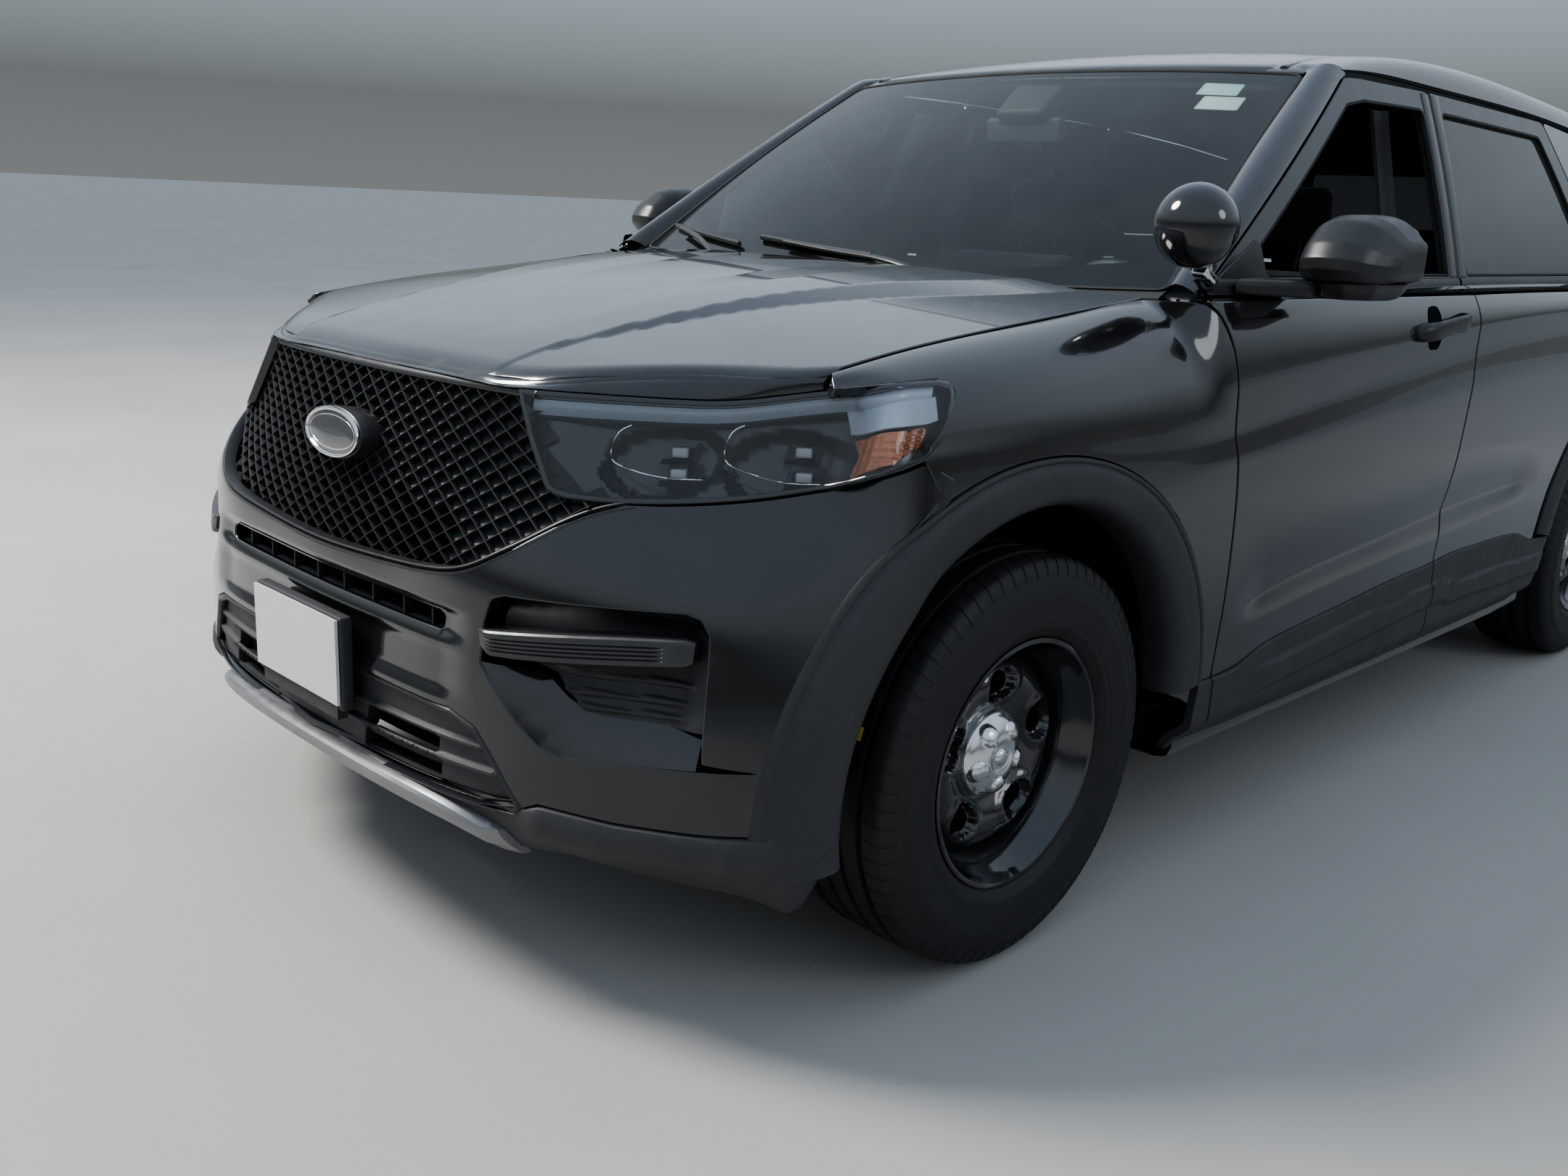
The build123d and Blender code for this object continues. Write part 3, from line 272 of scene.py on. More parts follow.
def resample(pts, step, closed=True):
    """Add points so that no edge is longer than step; the corners stay."""
    P = np.array(pts, float)
    out = []
    n = len(P)
    for i in range(n if closed else n - 1):
        a, b = P[i], P[(i + 1) % n]
        k = max(1, int(math.ceil(np.linalg.norm(b - a) / step)))
        for j in range(k):
            out.append(a + (b - a) * j / k)
    if not closed:
        out.append(P[-1])
    return np.array(out)


def smooth_line(pts, step=10.0, closed=False):
    """Smooth curve through points, resampled evenly."""
    P = np.array(pts, float)
    if closed:
        P = np.vstack([P[-3:], P, P[:4]])
    s = np.concatenate([[0], np.cumsum(np.linalg.norm(np.diff(P, axis=0), axis=1))])
    f = [cs(s, P[:, k]) for k in range(P.shape[1])]
    a, b = (s[3], s[-4]) if closed else (0.0, s[-1])
    n = max(2, int(round((b - a) / step)))
    q = np.linspace(a, b, n + 1)
    if closed:
        q = q[:-1]
    return np.column_stack([g(q) for g in f])


def area2(P):
    x, y = P[:, 0], P[:, 1]
    return float(np.sum(x * np.roll(y, -1) - np.roll(x, -1) * y)) / 2


def out_normals(P):
    """Unit outward direction at each point of a closed outline (with a mitre factor)."""
    s = 1.0 if area2(P) > 0 else -1.0
    e = np.roll(P, -1, 0) - P
    e /= np.maximum(np.linalg.norm(e, axis=1, keepdims=True), 1e-9)
    n1 = np.column_stack([e[:, 1], -e[:, 0]]) * s
    n0 = np.roll(n1, 1, 0)
    m = n0 + n1
    m /= np.maximum(np.linalg.norm(m, axis=1, keepdims=True), 1e-9)
    c = np.maximum(np.sum(m * n1, 1), 0.5)
    return m, 1.0 / c


def inside(P, Q):
    """Which of the points Q lie inside the closed outline P."""
    x, y = Q[:, 0][:, None], Q[:, 1][:, None]
    x1, y1 = P[:, 0][None], P[:, 1][None]
    x2, y2 = np.roll(P[:, 0], -1)[None], np.roll(P[:, 1], -1)[None]
    c = ((y1 > y) != (y2 > y))
    with np.errstate(divide="ignore", invalid="ignore"):
        xi = (x2 - x1) * (y - y1) / (y2 - y1) + x1
    return (np.sum(c & (x < xi), 1) % 2) == 1


def dist_to(P, Q):
    """Distance of the points Q from the closed outline P."""
    best = np.full(len(Q), 1e9)
    A, B = P, np.roll(P, -1, 0)
    for i in range(0, len(Q), 4000):
        q = Q[i:i + 4000]
        ab = (B - A)[None]
        aq = q[:, None] - A[None]
        t = np.clip(np.sum(aq * ab, 2) / np.maximum(np.sum(ab * ab, 2), 1e-9), 0, 1)
        d = np.linalg.norm(aq - t[..., None] * ab, axis=2)
        best[i:i + 4000] = d.min(1)
    return best


# ---------------------------------------------------------------- mesh objects
ALL = {}


def obj(name, verts, faces, mat, body="body", slot=None, normals=None, sharp=None, uv=None):
    """Piece from millimetre vertices; sharp is the angle in degrees above which an edge stays hard."""
    me = bpy.data.meshes.new(name)
    V = np.asarray(verts, float) / 1000.0
    me.from_pydata(V.tolist(), [], [list(map(int, f)) for f in faces])
    me.validate()
    for p in me.polygons:
        p.use_smooth = True
    if normals is not None:
        me.normals_split_custom_set_from_vertices([tuple(q) for q in np.asarray(normals, float)])
    elif sharp is not None:
        me.set_sharp_from_angle(angle=math.radians(sharp))
    o = bpy.data.objects.new(name, me)
    bpy.context.scene.collection.objects.link(o)
    me.materials.append(mat)
    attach(o, body)
    ALL[name] = o
    return o


def mir(V):
    V = np.array(V, float)
    V[:, 1] *= -1
    return V


class Soup:
    """Collects several grids and shells into one piece."""

    def __init__(self):
        self.v, self.f, self.n = [], [], 0

    def add(self, V, F):
        V = np.asarray(V, float).reshape(-1, 3)
        self.f += [[int(i) + self.n for i in f] for f in F]
        self.v.append(V)
        self.n += len(V)
        return self

    def grid(self, rows, close_u=False, close_v=False, cap=False):
        """rows: R x C x 3 points."""
        G = np.asarray(rows, float)
        R, C = G.shape[:2]
        F = []
        for i in range(R if close_v else R - 1):
            i2 = (i + 1) % R
            for j in range(C if close_u else C - 1):
                j2 = (j + 1) % C
                F.append([i * C + j, i * C + j2, i2 * C + j2, i2 * C + j])
        if cap:
            F.append(list(range(C))[::-1])
            F.append([(R - 1) * C + j for j in range(C)])
        return self.add(G.reshape(-1, 3), F)

    def mirror(self):
        V = np.vstack(self.v)
        F = list(self.f)
        W = V.copy(); W[:, 1] *= -1
        n = len(V)
        self.v = [V, W]
        self.f = F + [[i + n for i in f[::-1]] for f in F]
        self.n = 2 * n
        return self

    def flipped(self):
        s = Soup()
        V = np.vstack(self.v)
        W = V.copy(); W[:, 1] *= -1
        s.add(W, [f[::-1] for f in self.f])
        return s

    def verts(self):
        return np.vstack(self.v)

    def make(self, name, mat, body="body", slot=None, sharp=32, **kw):
        return obj(name, self.verts(), self.f, mat, body, slot, sharp=sharp, **kw)


def lathe(prof, axis_pt, n=96, axis="y", close=False, a0=0.0, a1=2 * math.pi):
    """Grid of a profile (along axis, radius) turned about an axis through axis_pt."""
    prof = np.array(prof, float)
    full = abs(a1 - a0 - 2 * math.pi) < 1e-6
    th = np.linspace(a0, a1, n, endpoint=not full)
    c = np.array(axis_pt, float)
    rows = []
    for s, r in prof:
        if axis == "y":
            rows.append(np.stack([c[0] + r * np.cos(th), np.full(n, c[1] + s), c[2] + r * np.sin(th)], -1))
        elif axis == "x":
            rows.append(np.stack([np.full(n, c[0] + s), c[1] + r * np.cos(th), c[2] + r * np.sin(th)], -1))
        else:
            rows.append(np.stack([c[0] + r * np.cos(th), c[1] + r * np.sin(th), np.full(n, c[2] + s)], -1))
    return np.array(rows), full


def frames(P, up=(0, 0, 1), closed=False):
    """Tangent, side and up directions along a path."""
    P = np.asarray(P, float)
    if closed:
        t = np.roll(P, -1, 0) - np.roll(P, 1, 0)
    else:
        t = np.gradient(P, axis=0)
    t /= np.maximum(np.linalg.norm(t, axis=1, keepdims=True), 1e-9)
    U = np.broadcast_to(np.asarray(up, float), P.shape)
    s = np.cross(t, U)
    s /= np.maximum(np.linalg.norm(s, axis=1, keepdims=True), 1e-9)
    u = np.cross(s, t)
    return t, s, u


def sweep(path, prof, up=(0, 0, 1), closed=False, close_prof=True, cap=True):
    """Grid of a profile (side, up) carried along a path; returns a Soup."""
    P = np.asarray(path, float)
    t, s, u = frames(P, up, closed)
    pr = np.asarray(prof, float)
    G = P[:, None, :] + s[:, None, :] * pr[None, :, 0:1] + u[:, None, :] * pr[None, :, 1:2]
    return Soup().grid(G, close_u=close_prof, close_v=closed, cap=cap and not closed and close_prof)


def tube(path, r, n=10, closed=False, up=(0, 0, 1)):
    th = np.linspace(0, 2 * math.pi, n, endpoint=False)
    return sweep(path, np.column_stack([r * np.cos(th), r * np.sin(th)]), up, closed)


def rbox(c, size, r=4.0, n=3, rot=None):
    """Box with rounded edges: centre, size, radius."""
    c, h = np.array(c, float), np.array(size, float) / 2
    r = min(r, *(h * 0.98))
    # rounded rectangle in XY lofted through rounded Z
    a = []
    for sx, sy, t0 in ((1, 1, 0), (-1, 1, 90), (-1, -1, 180), (1, -1, 270)):
        for k in range(n + 1):
            t = math.radians(t0 + 90 * k / n)
            a.append((sx * (h[0] - r), sy * (h[1] - r), math.cos(t), math.sin(t)))
    a = np.array(a)
    rows = []
    zs = []
    for k in range(n + 1):
        t = math.radians(90 * k / n)
        zs.append((-(h[2] - r) - r * math.cos(t), r * math.sin(t)))
    for k in range(n + 1):
        t = math.radians(90 * k / n)
        zs.append(((h[2] - r) + r * math.sin(t), r * math.cos(t)))
    for z, rr in zs:
        rows.append(np.column_stack([a[:, 0] + rr * a[:, 2], a[:, 1] + rr * a[:, 3], np.full(len(a), z)]))
    G = np.array(rows)
    if rot is not None:
        G = G @ np.array(rot).T
    return Soup().grid(G + c, close_u=True, cap=True)


def rot_y(deg):
    t = math.radians(deg)
    return np.array([[math.cos(t), 0, math.sin(t)], [0, 1, 0], [-math.sin(t), 0, math.cos(t)]])


def rot_x(deg):
    t = math.radians(deg)
    return np.array([[1, 0, 0], [0, math.cos(t), -math.sin(t)], [0, math.sin(t), math.cos(t)]])


def rot_z(deg):
    t = math.radians(deg)
    return np.array([[math.cos(t), -math.sin(t), 0], [math.sin(t), math.cos(t), 0], [0, 0, 1]])


def normals_of(S, P, hint):
    e = 0.6
    du = S(P[:, 0] + e, P[:, 1]) - S(P[:, 0] - e, P[:, 1])
    dv = S(P[:, 0], P[:, 1] + e) - S(P[:, 0], P[:, 1] - e)
    n = np.cross(du, dv)
    n /= np.maximum(np.linalg.norm(n, axis=1, keepdims=True), 1e-9)
    h = hint(S(P[:, 0], P[:, 1])) if callable(hint) else np.asarray(hint, float)
    s = np.sign(np.sum(n * h, 1))
    s[s == 0] = 1
    return n * s[:, None]


def panel(name, S, outline, mat, body="body", slot=None, holes=(), hint=(0, 1, 0), us=None, vs=None, du=14.0, dv=14.0, step=9.0,
          edge=2.5, depth=13.0, hem=12.0, off=0.0, hole_depth=None, hole_hem=None, hole_edge=None, side="L", open_hem=False):
    """Sheet-metal panel: surface S(u, v) inside an outline, rolled edge, turned-in flange and hem. Makes the left piece, the right one, or both."""
    loops = [(resample(outline, step), True)] + [(resample(h, step), False) for h in holes]
    pts, edges, ring_id = [], [], []
    k = 0
    inner = []
    for P, outer in loops:
        m, mf = out_normals(P)
        if not outer:
            m = -m          # away from the panel's metal
        e = edge if outer or hole_edge is None else hole_edge
        A = P - m * (e * mf)[:, None]
        inner.append(A)
        pts.append(A)
        n = len(A)
        edges += [(k + i, k + (i + 1) % n) for i in range(n)]
        k += n
    lo, hi = loops[0][0].min(0), loops[0][0].max(0)
    U = np.arange(lo[0] + du * 0.5, hi[0], du) if us is None else np.array([q for q in us if lo[0] < q < hi[0]])
    V = np.arange(lo[1] + dv * 0.5, hi[1], dv) if vs is None else np.array([q for q in vs if lo[1] < q < hi[1]])
    gu, gv = np.meshgrid(U, V)
    Q = np.column_stack([gu.ravel(), gv.ravel()])
    keep = inside(inner[0], Q)
    Q = Q[keep]
    keep = dist_to(inner[0], Q) > 2.6
    for A in inner[1:]:
        keep &= ~inside(A, Q)
        keep &= dist_to(A, Q) > 2.6
    Q = Q[keep]
    allp = np.vstack(pts + [Q])
    vv, ee, ff, ov, oe, of_ = delaunay_2d_cdt([Vector((float(a), float(b))) for a, b in allp], edges, [], 0, 1e-4)
    W = np.array([(a.x, a.y) for a in vv])
    F = np.array([list(f) for f in ff if len(f) == 3])
    cen = W[F].mean(1)
    ok = inside(inner[0], cen)
    for A in inner[1:]:
        ok &= ~inside(A, cen)
    F = F[ok]
    back = {}
    for i, src in enumerate(ov):
        for q in src:
            back[q] = i
    nrm = normals_of(S, W, hint)
    X = S(W[:, 0], W[:, 1]) + nrm * off
    verts = [X]; norms = [nrm]; faces = []
    # faces follow the normals
    fn = np.cross(X[F[:, 1]] - X[F[:, 0]], X[F[:, 2]] - X[F[:, 0]])
    flip = np.sum(fn * nrm[F[:, 0]], 1) < 0
    F[flip] = F[flip][:, ::-1]
    faces += F.tolist()
    nv = len(X)
    start = 0
    for (P, outer), A in zip(loops, inner):
        n = len(P)
        ids = [back[start + i] for i in range(n)]
        start += n
        m, mf = out_normals(P)
        if not outer:
            m = -m
        e = edge if outer or hole_edge is None else hole_edge
        d = depth if outer or hole_depth is None else hole_depth
        hm = hem if outer or hole_hem is None else hole_hem
        prev = ids
        spec = []
        for t in (30, 60, 90):
            tr = math.radians(t)
            spec.append((e * (1 - math.sin(tr)), e * (1 - math.cos(tr)), t))
        spec.append((0.0, max(d, e + 0.5), 90))
        spec.append((0.3, max(d, e + 0.5) + 0.01, 180 if hm > 0 else 90))
        if hm > 0:
            spec.append((hm, max(d, e + 0.5) + 0.01, 180))
        for q, (ins, drop, ang) in enumerate(spec):
            R = P - m * (ins * np.minimum(mf, 1.25))[:, None]
            nr = normals_of(S, R, hint)
            X0 = S(R[:, 0], R[:, 1])
            X1 = S(R[:, 0] + m[:, 0] * 0.5, R[:, 1] + m[:, 1] * 0.5)
            o3 = X1 - X0
            o3 -= nr * np.sum(o3 * nr, 1)[:, None]
            o3 /= np.maximum(np.linalg.norm(o3, axis=1, keepdims=True), 1e-9)
            verts.append(X0 + nr * (off - drop))
            a = math.radians(ang)
            norms.append(nr * math.cos(a) + o3 * math.sin(a))
            cur = list(range(nv, nv + n)); nv += n
            if q == 4 and hm > 0:
                prev = cur
                continue
            for i in range(n):
                j = (i + 1) % n
                faces.append([prev[i], prev[j], cur[j], cur[i]])
            prev = cur
    Vx, Nx = np.vstack(verts), np.vstack(norms)
    tri = [f[:3] for f in faces]
    T = np.array(tri)
    fn = np.cross(Vx[T[:, 1]] - Vx[T[:, 0]], Vx[T[:, 2]] - Vx[T[:, 0]])
    want = Nx[T[:, 0]] + Nx[T[:, 1]] + Nx[T[:, 2]]
    bad = np.sum(fn * want, 1) < 0
    faces = [f[::-1] if b else f for f, b in zip(faces, bad)]
    outp = []
    if side in ("L", "both", "C"):
        outp.append(obj(name, Vx, faces, mat, body, slot, normals=Nx))
    if side in ("R", "both"):
        Vm, Nm = Vx.copy(), Nx.copy()
        Vm[:, 1] *= -1; Nm[:, 1] *= -1
        nm, bd = name, body
        if side == "both":
            nm = name.replace("_left", "_right") if "_left" in name else name + "_right"
            bd = body.replace("_left_", "_right_")
        outp.append(obj(nm, Vm, [f[::-1] for f in faces], mat, bd, slot, normals=Nm))
    return outp


# ---------------------------------------------------------------- materials


def new_mat(name):
    m = bpy.data.materials.new(name)
    m.use_nodes = True
    nt = m.node_tree
    for n in list(nt.nodes):
        nt.nodes.remove(n)
    out = nt.nodes.new("ShaderNodeOutputMaterial")
    return m, nt, out


def node(nt, kind, **kw):
    n = nt.nodes.new(kind)
    for k, v in kw.items():
        if k in n.inputs.keys():
            n.inputs[k].default_value = v
        else:
            setattr(n, k, v)
    return n


def noise(nt, scale, detail=3.0, rough=0.5, dims="Object", stretch=None):
    tc = node(nt, "ShaderNodeTexCoord")
    src = tc.outputs[dims]
    if stretch:
        mp = node(nt, "ShaderNodeMapping")
        mp.inputs["Scale"].default_value = stretch
        nt.links.new(src, mp.inputs["Vector"])
        src = mp.outputs["Vector"]
    n = node(nt, "ShaderNodeTexNoise")
    n.inputs["Scale"].default_value = scale
    n.inputs["Detail"].default_value = detail
    n.inputs["Roughness"].default_value = rough
    nt.links.new(src, n.inputs["Vector"])
    return n


def ramp(nt, src, stops):
    r = node(nt, "ShaderNodeValToRGB")
    e = r.color_ramp.elements
    while len(e) > 1:
        e.remove(e[-1])
    e[0].position = stops[0][0]; e[0].color = stops[0][1]
    for p, c in stops[1:]:
        k = e.new(p); k.color = c
    nt.links.new(src, r.inputs["Fac"])
    return r


def grey(v, a=1.0):
    return (v, v, v, a)


def bump(nt, height, strength, dist, normal=None):
    b = node(nt, "ShaderNodeBump")
    b.inputs["Strength"].default_value = strength
    b.inputs["Distance"].default_value = dist
    nt.links.new(height, b.inputs["Height"])
    if normal is not None:
        nt.links.new(normal, b.inputs["Normal"])
    return b


def surface_mat(name, color, rough, metallic=0.0, coat=0.0, coat_rough=0.03, var=0.12, var_scale=6.0, rough_var=0.06, grain=(900.0, 0.05, 0.0003),
                spec=0.5, sheen=0.0, ior=1.5, dust=0.0, dust_color=(0.30, 0.28, 0.25), fine=None):
    """Principled finish with colour variation, roughness variation, surface grain and an optional film of dust."""
    m, nt, out = new_mat(name)
    p = node(nt, "ShaderNodeBsdfPrincipled")
    p.inputs["Metallic"].default_value = metallic
    p.inputs["Coat Weight"].default_value = coat
    p.inputs["Coat Roughness"].default_value = coat_rough
    p.inputs["Specular IOR Level"].default_value = spec
    p.inputs["IOR"].default_value = ior
    if sheen:
        p.inputs["Sheen Weight"].default_value = sheen
        p.inputs["Sheen Roughness"].default_value = 0.5
    n1 = noise(nt, var_scale, 4.0, 0.55)
    lo = tuple(max(0.0, c * (1 - var)) for c in color) + (1.0,)
    hi = tuple(min(1.0, c * (1 + var)) for c in color) + (1.0,)
    c1 = ramp(nt, n1.outputs["Fac"], [(0.32, lo), (0.68, hi)])
    col = c1.outputs["Color"]
    n2 = noise(nt, var_scale * 4.3, 5.0, 0.6)
    r1 = ramp(nt, n2.outputs["Fac"], [(0.3, grey(max(0.0, rough - rough_var))), (0.7, grey(min(1.0, rough + rough_var)))])
    rg = r1.outputs["Color"]
    if dust:
        # thin film, thicker lower down
        geo = node(nt, "ShaderNodeTexCoord")
        sep = node(nt, "ShaderNodeSeparateXYZ"); nt.links.new(geo.outputs["Object"], sep.inputs[0])
        low = node(nt, "ShaderNodeMapRange"); low.inputs["From Min"].default_value = 0.75; low.inputs["From Max"].default_value = 0.2
        low.inputs["To Min"].default_value = 0.25; low.inputs["To Max"].default_value = 1.0
        nt.links.new(sep.outputs["Z"], low.inputs["Value"])
        n3 = noise(nt, 55.0, 8.0, 0.72)
        d1 = ramp(nt, n3.outputs["Fac"], [(0.50, grey(0.0)), (0.78, grey(1.0))])
        mu = node(nt, "ShaderNodeMath", operation="MULTIPLY"); nt.links.new(d1.outputs["Color"], mu.inputs[0]); nt.links.new(low.outputs["Result"], mu.inputs[1])
        m2 = node(nt, "ShaderNodeMath", operation="MULTIPLY"); nt.links.new(mu.outputs[0], m2.inputs[0]); m2.inputs[1].default_value = dust
        mx = node(nt, "ShaderNodeMix", data_type="RGBA")
        nt.links.new(m2.outputs[0], mx.inputs["Factor"]); nt.links.new(col, mx.inputs[6]); mx.inputs[7].default_value = dust_color + (1.0,)
        col = mx.outputs[2]
        mr = node(nt, "ShaderNodeMix", data_type="RGBA")
        nt.links.new(m2.outputs[0], mr.inputs["Factor"]); nt.links.new(rg, mr.inputs[6]); mr.inputs[7].default_value = grey(0.75)
        rg = mr.outputs[2]
    nt.links.new(col, p.inputs["Base Color"])
    nt.links.new(rg, p.inputs["Roughness"])
    if grain:
        n4 = noise(nt, grain[0], 2.0, 0.5)
        b = bump(nt, n4.outputs["Fac"], grain[1], grain[2])
        nrm = b.outputs["Normal"]
        if fine:
            n5 = noise(nt, fine[0], 3.0, 0.5)
            b2 = bump(nt, n5.outputs["Fac"], fine[1], fine[2], nrm)
            nrm = b2.outputs["Normal"]
        nt.links.new(nrm, p.inputs["Normal"])
    nt.links.new(p.outputs["BSDF"], out.inputs["Surface"])
    return m


def paint_mat(name, color=(0.0105, 0.0108, 0.0115), dust=0.035):
    """Black enamel under clear lacquer: a trace of orange peel, faint haze, dust lower down."""
    m, nt, out = new_mat(name)
    p = node(nt, "ShaderNodeBsdfPrincipled")
    p.inputs["Coat Weight"].default_value = 1.0
    p.inputs["Coat Roughness"].default_value = 0.012
    p.inputs["Coat IOR"].default_value = 1.5
    p.inputs["Specular IOR Level"].default_value = 0.35
    n1 = noise(nt, 3.0, 3.0, 0.5)
    c1 = ramp(nt, n1.outputs["Fac"], [(0.3, tuple(c * 0.85 for c in color) + (1,)), (0.7, tuple(c * 1.2 for c in color) + (1,))])
    n2 = noise(nt, 14.0, 6.0, 0.65)
    r1 = ramp(nt, n2.outputs["Fac"], [(0.35, grey(0.10)), (0.7, grey(0.22))])
    col, rg = c1.outputs["Color"], r1.outputs["Color"]
    geo = node(nt, "ShaderNodeTexCoord")
    sep = node(nt, "ShaderNodeSeparateXYZ"); nt.links.new(geo.outputs["Object"], sep.inputs[0])
    low = node(nt, "ShaderNodeMapRange"); low.inputs["From Min"].default_value = 0.80; low.inputs["From Max"].default_value = 0.30
    low.inputs["To Min"].default_value = 0.22; low.inputs["To Max"].default_value = 1.0
    nt.links.new(sep.outputs["Z"], low.inputs["Value"])
    n3 = noise(nt, 160.0, 9.0, 0.75)
    d1 = ramp(nt, n3.outputs["Fac"], [(0.60, grey(0.0)), (0.72, grey(1.0))])
    mu = node(nt, "ShaderNodeMath", operation="MULTIPLY"); nt.links.new(d1.outputs["Color"], mu.inputs[0]); nt.links.new(low.outputs["Result"], mu.inputs[1])
    m2 = node(nt, "ShaderNodeMath", operation="MULTIPLY"); nt.links.new(mu.outputs[0], m2.inputs[0]); m2.inputs[1].default_value = dust * 4
    mx = node(nt, "ShaderNodeMix", data_type="RGBA")
    nt.links.new(m2.outputs[0], mx.inputs["Factor"]); nt.links.new(col, mx.inputs[6]); mx.inputs[7].default_value = (0.25, 0.24, 0.22, 1)
    nt.links.new(mx.outputs[2], p.inputs["Base Color"])
    nt.links.new(rg, p.inputs["Roughness"])
    n4 = noise(nt, 420.0, 1.0, 0.4)
    b = bump(nt, n4.outputs["Fac"], 0.012, 0.0004)
    nt.links.new(b.outputs["Normal"], p.inputs["Normal"])
    nt.links.new(b.outputs["Normal"], p.inputs["Coat Normal"])
    nt.links.new(p.outputs["BSDF"], out.inputs["Surface"])
    return m


def glass_mat(name, tint=(0.75, 0.82, 0.80), refl=1.0, ior=1.5, haze=0.0, dirt=0.02, rough=0.0):
    """Sheet glass: see-through tint with a mirror coat that grows towards grazing angles, and faint dust."""
    m, nt, out = new_mat(name)
    tr = node(nt, "ShaderNodeBsdfTransparent"); tr.inputs["Color"].default_value = tint + (1.0,)
    gl = node(nt, "ShaderNodeBsdfGlossy"); gl.inputs["Roughness"].default_value = rough
    gl.inputs["Color"].default_value = (refl, refl, refl, 1)
    fr = node(nt, "ShaderNodeFresnel"); fr.inputs["IOR"].default_value = ior
    mx = node(nt, "ShaderNodeMixShader")
    nt.links.new(fr.outputs[0], mx.inputs["Fac"]); nt.links.new(tr.outputs[0], mx.inputs[1]); nt.links.new(gl.outputs[0], mx.inputs[2])
    df = node(nt, "ShaderNodeBsdfDiffuse"); df.inputs["Color"].default_value = (0.55, 0.56, 0.55, 1)
    n = noise(nt, 9.0, 6.0, 0.6)
    r = ramp(nt, n.outputs["Fac"], [(0.35, grey(haze)), (0.8, grey(haze + dirt))])
    m2 = node(nt, "ShaderNodeMixShader")
    nt.links.new(r.outputs["Color"], m2.inputs["Fac"]); nt.links.new(mx.outputs[0], m2.inputs[1]); nt.links.new(df.outputs[0], m2.inputs[2])
    nt.links.new(m2.outputs[0], out.inputs["Surface"])
    return m


M = {}
M["paint"] = paint_mat("gloss_black_paint")
M["paint_low"] = paint_mat("gloss_black_paint_low", dust=0.06)
M["steel_black"] = surface_mat("black_painted_steel", (0.013, 0.013, 0.014), 0.42, metallic=0.0, spec=0.5, var=0.2, dust=0.12)
M["wheel_black"] = surface_mat("wheel_gloss_black", (0.009, 0.009, 0.010), 0.13, coat=0.8, coat_rough=0.05, var=0.15, grain=(300.0, 0.03, 0.0004), dust=0.03, spec=0.6)
M["plastic"] = surface_mat("moulded_dark_plastic", (0.036, 0.037, 0.039), 0.56, var=0.10, grain=(1400.0, 0.22, 0.0006), dust=0.07, spec=0.42)
M["plastic_fine"] = surface_mat("satin_dark_plastic", (0.021, 0.0215, 0.0225), 0.36, var=0.08, grain=(2200.0, 0.10, 0.0003), dust=0.02, spec=0.5)
M["plastic_mesh"] = surface_mat("grille_dark_plastic", (0.024, 0.0245, 0.025), 0.40, var=0.10, grain=(1600.0, 0.12, 0.0004), dust=0.05, spec=0.5)
M["satin_bar"] = surface_mat("satin_bar_plastic", (0.045, 0.045, 0.046), 0.30, var=0.08, grain=(2000.0, 0.10, 0.0003), dust=0.02)
M["pillar"] = surface_mat("pillar_satin_film", (0.020, 0.021, 0.023), 0.24, coat=0.3, coat_rough=0.16, var=0.06, grain=(1800.0, 0.05, 0.0003))
M["trim_gloss"] = surface_mat("gloss_trim", (0.010, 0.010, 0.011), 0.10, coat=0.9, coat_rough=0.03, var=0.1, grain=(700.0, 0.01, 0.0003))
M["rubber"] = surface_mat("seal_rubber", (0.012, 0.012, 0.012), 0.68, var=0.2, grain=(1500.0, 0.15, 0.0004))
M["skid"] = surface_mat("skid_strip_silver", (0.27, 0.27, 0.275), 0.36, metallic=0.75, var=0.06, grain=(2500.0, 0.12, 0.0003), dust=0.06)
M["chrome"] = surface_mat("bright_chrome", (0.80, 0.80, 0.81), 0.06, metallic=1.0, var=0.03, rough_var=0.03, grain=(600.0, 0.01, 0.0003))
M["hub_chrome"] = surface_mat("hub_cap_chrome", (0.66, 0.66, 0.67), 0.16, metallic=1.0, var=0.05, rough_var=0.05, grain=(500.0, 0.03, 0.0004))
M["cast"] = surface_mat("cast_metal", (0.10, 0.10, 0.105), 0.55, metallic=0.9, var=0.3, grain=(900.0, 0.3, 0.0008))
M["disc_steel"] = surface_mat("machined_steel", (0.40, 0.40, 0.41), 0.34, metallic=1.0, var=0.12, grain=(900.0, 0.1, 0.0003))
M["alloy_block"] = surface_mat("cast_aluminium", (0.34, 0.34, 0.35), 0.5, metallic=0.85, var=0.2, grain=(800.0, 0.3, 0.0008))
M["exhaust"] = surface_mat("aluminised_steel", (0.34, 0.33, 0.32), 0.45, metallic=0.9, var=0.25, grain=(500.0, 0.15, 0.0006), dust=0.2)
M["plate"] = surface_mat("plate_enamel", (0.60, 0.60, 0.60), 0.30, var=0.02, grain=(900.0, 0.04, 0.0003), dust=0.02)
# painted shade: near-black matte stand-in for the shadowed space behind openings and inside recesses, darker than any
# real finish
M["void"] = surface_mat("painted_shade_lining", (0.004, 0.004, 0.004), 0.9, var=0.2, grain=(600.0, 0.1, 0.0005), spec=0.1)
M["under"] = surface_mat("under_seal", (0.014, 0.014, 0.014), 0.7, var=0.25, grain=(500.0, 0.4, 0.0012), dust=0.25, spec=0.3)
M["liner"] = surface_mat("arch_liner_felt", (0.010, 0.010, 0.010), 0.85, var=0.3, grain=(700.0, 0.4, 0.0010), dust=0.1, spec=0.15)
M["frit"] = surface_mat("ceramic_frit", (0.008, 0.008, 0.009), 0.10, var=0.1, coat=1.0, coat_rough=0.01, grain=(900.0, 0.01, 0.0002), spec=0.5)
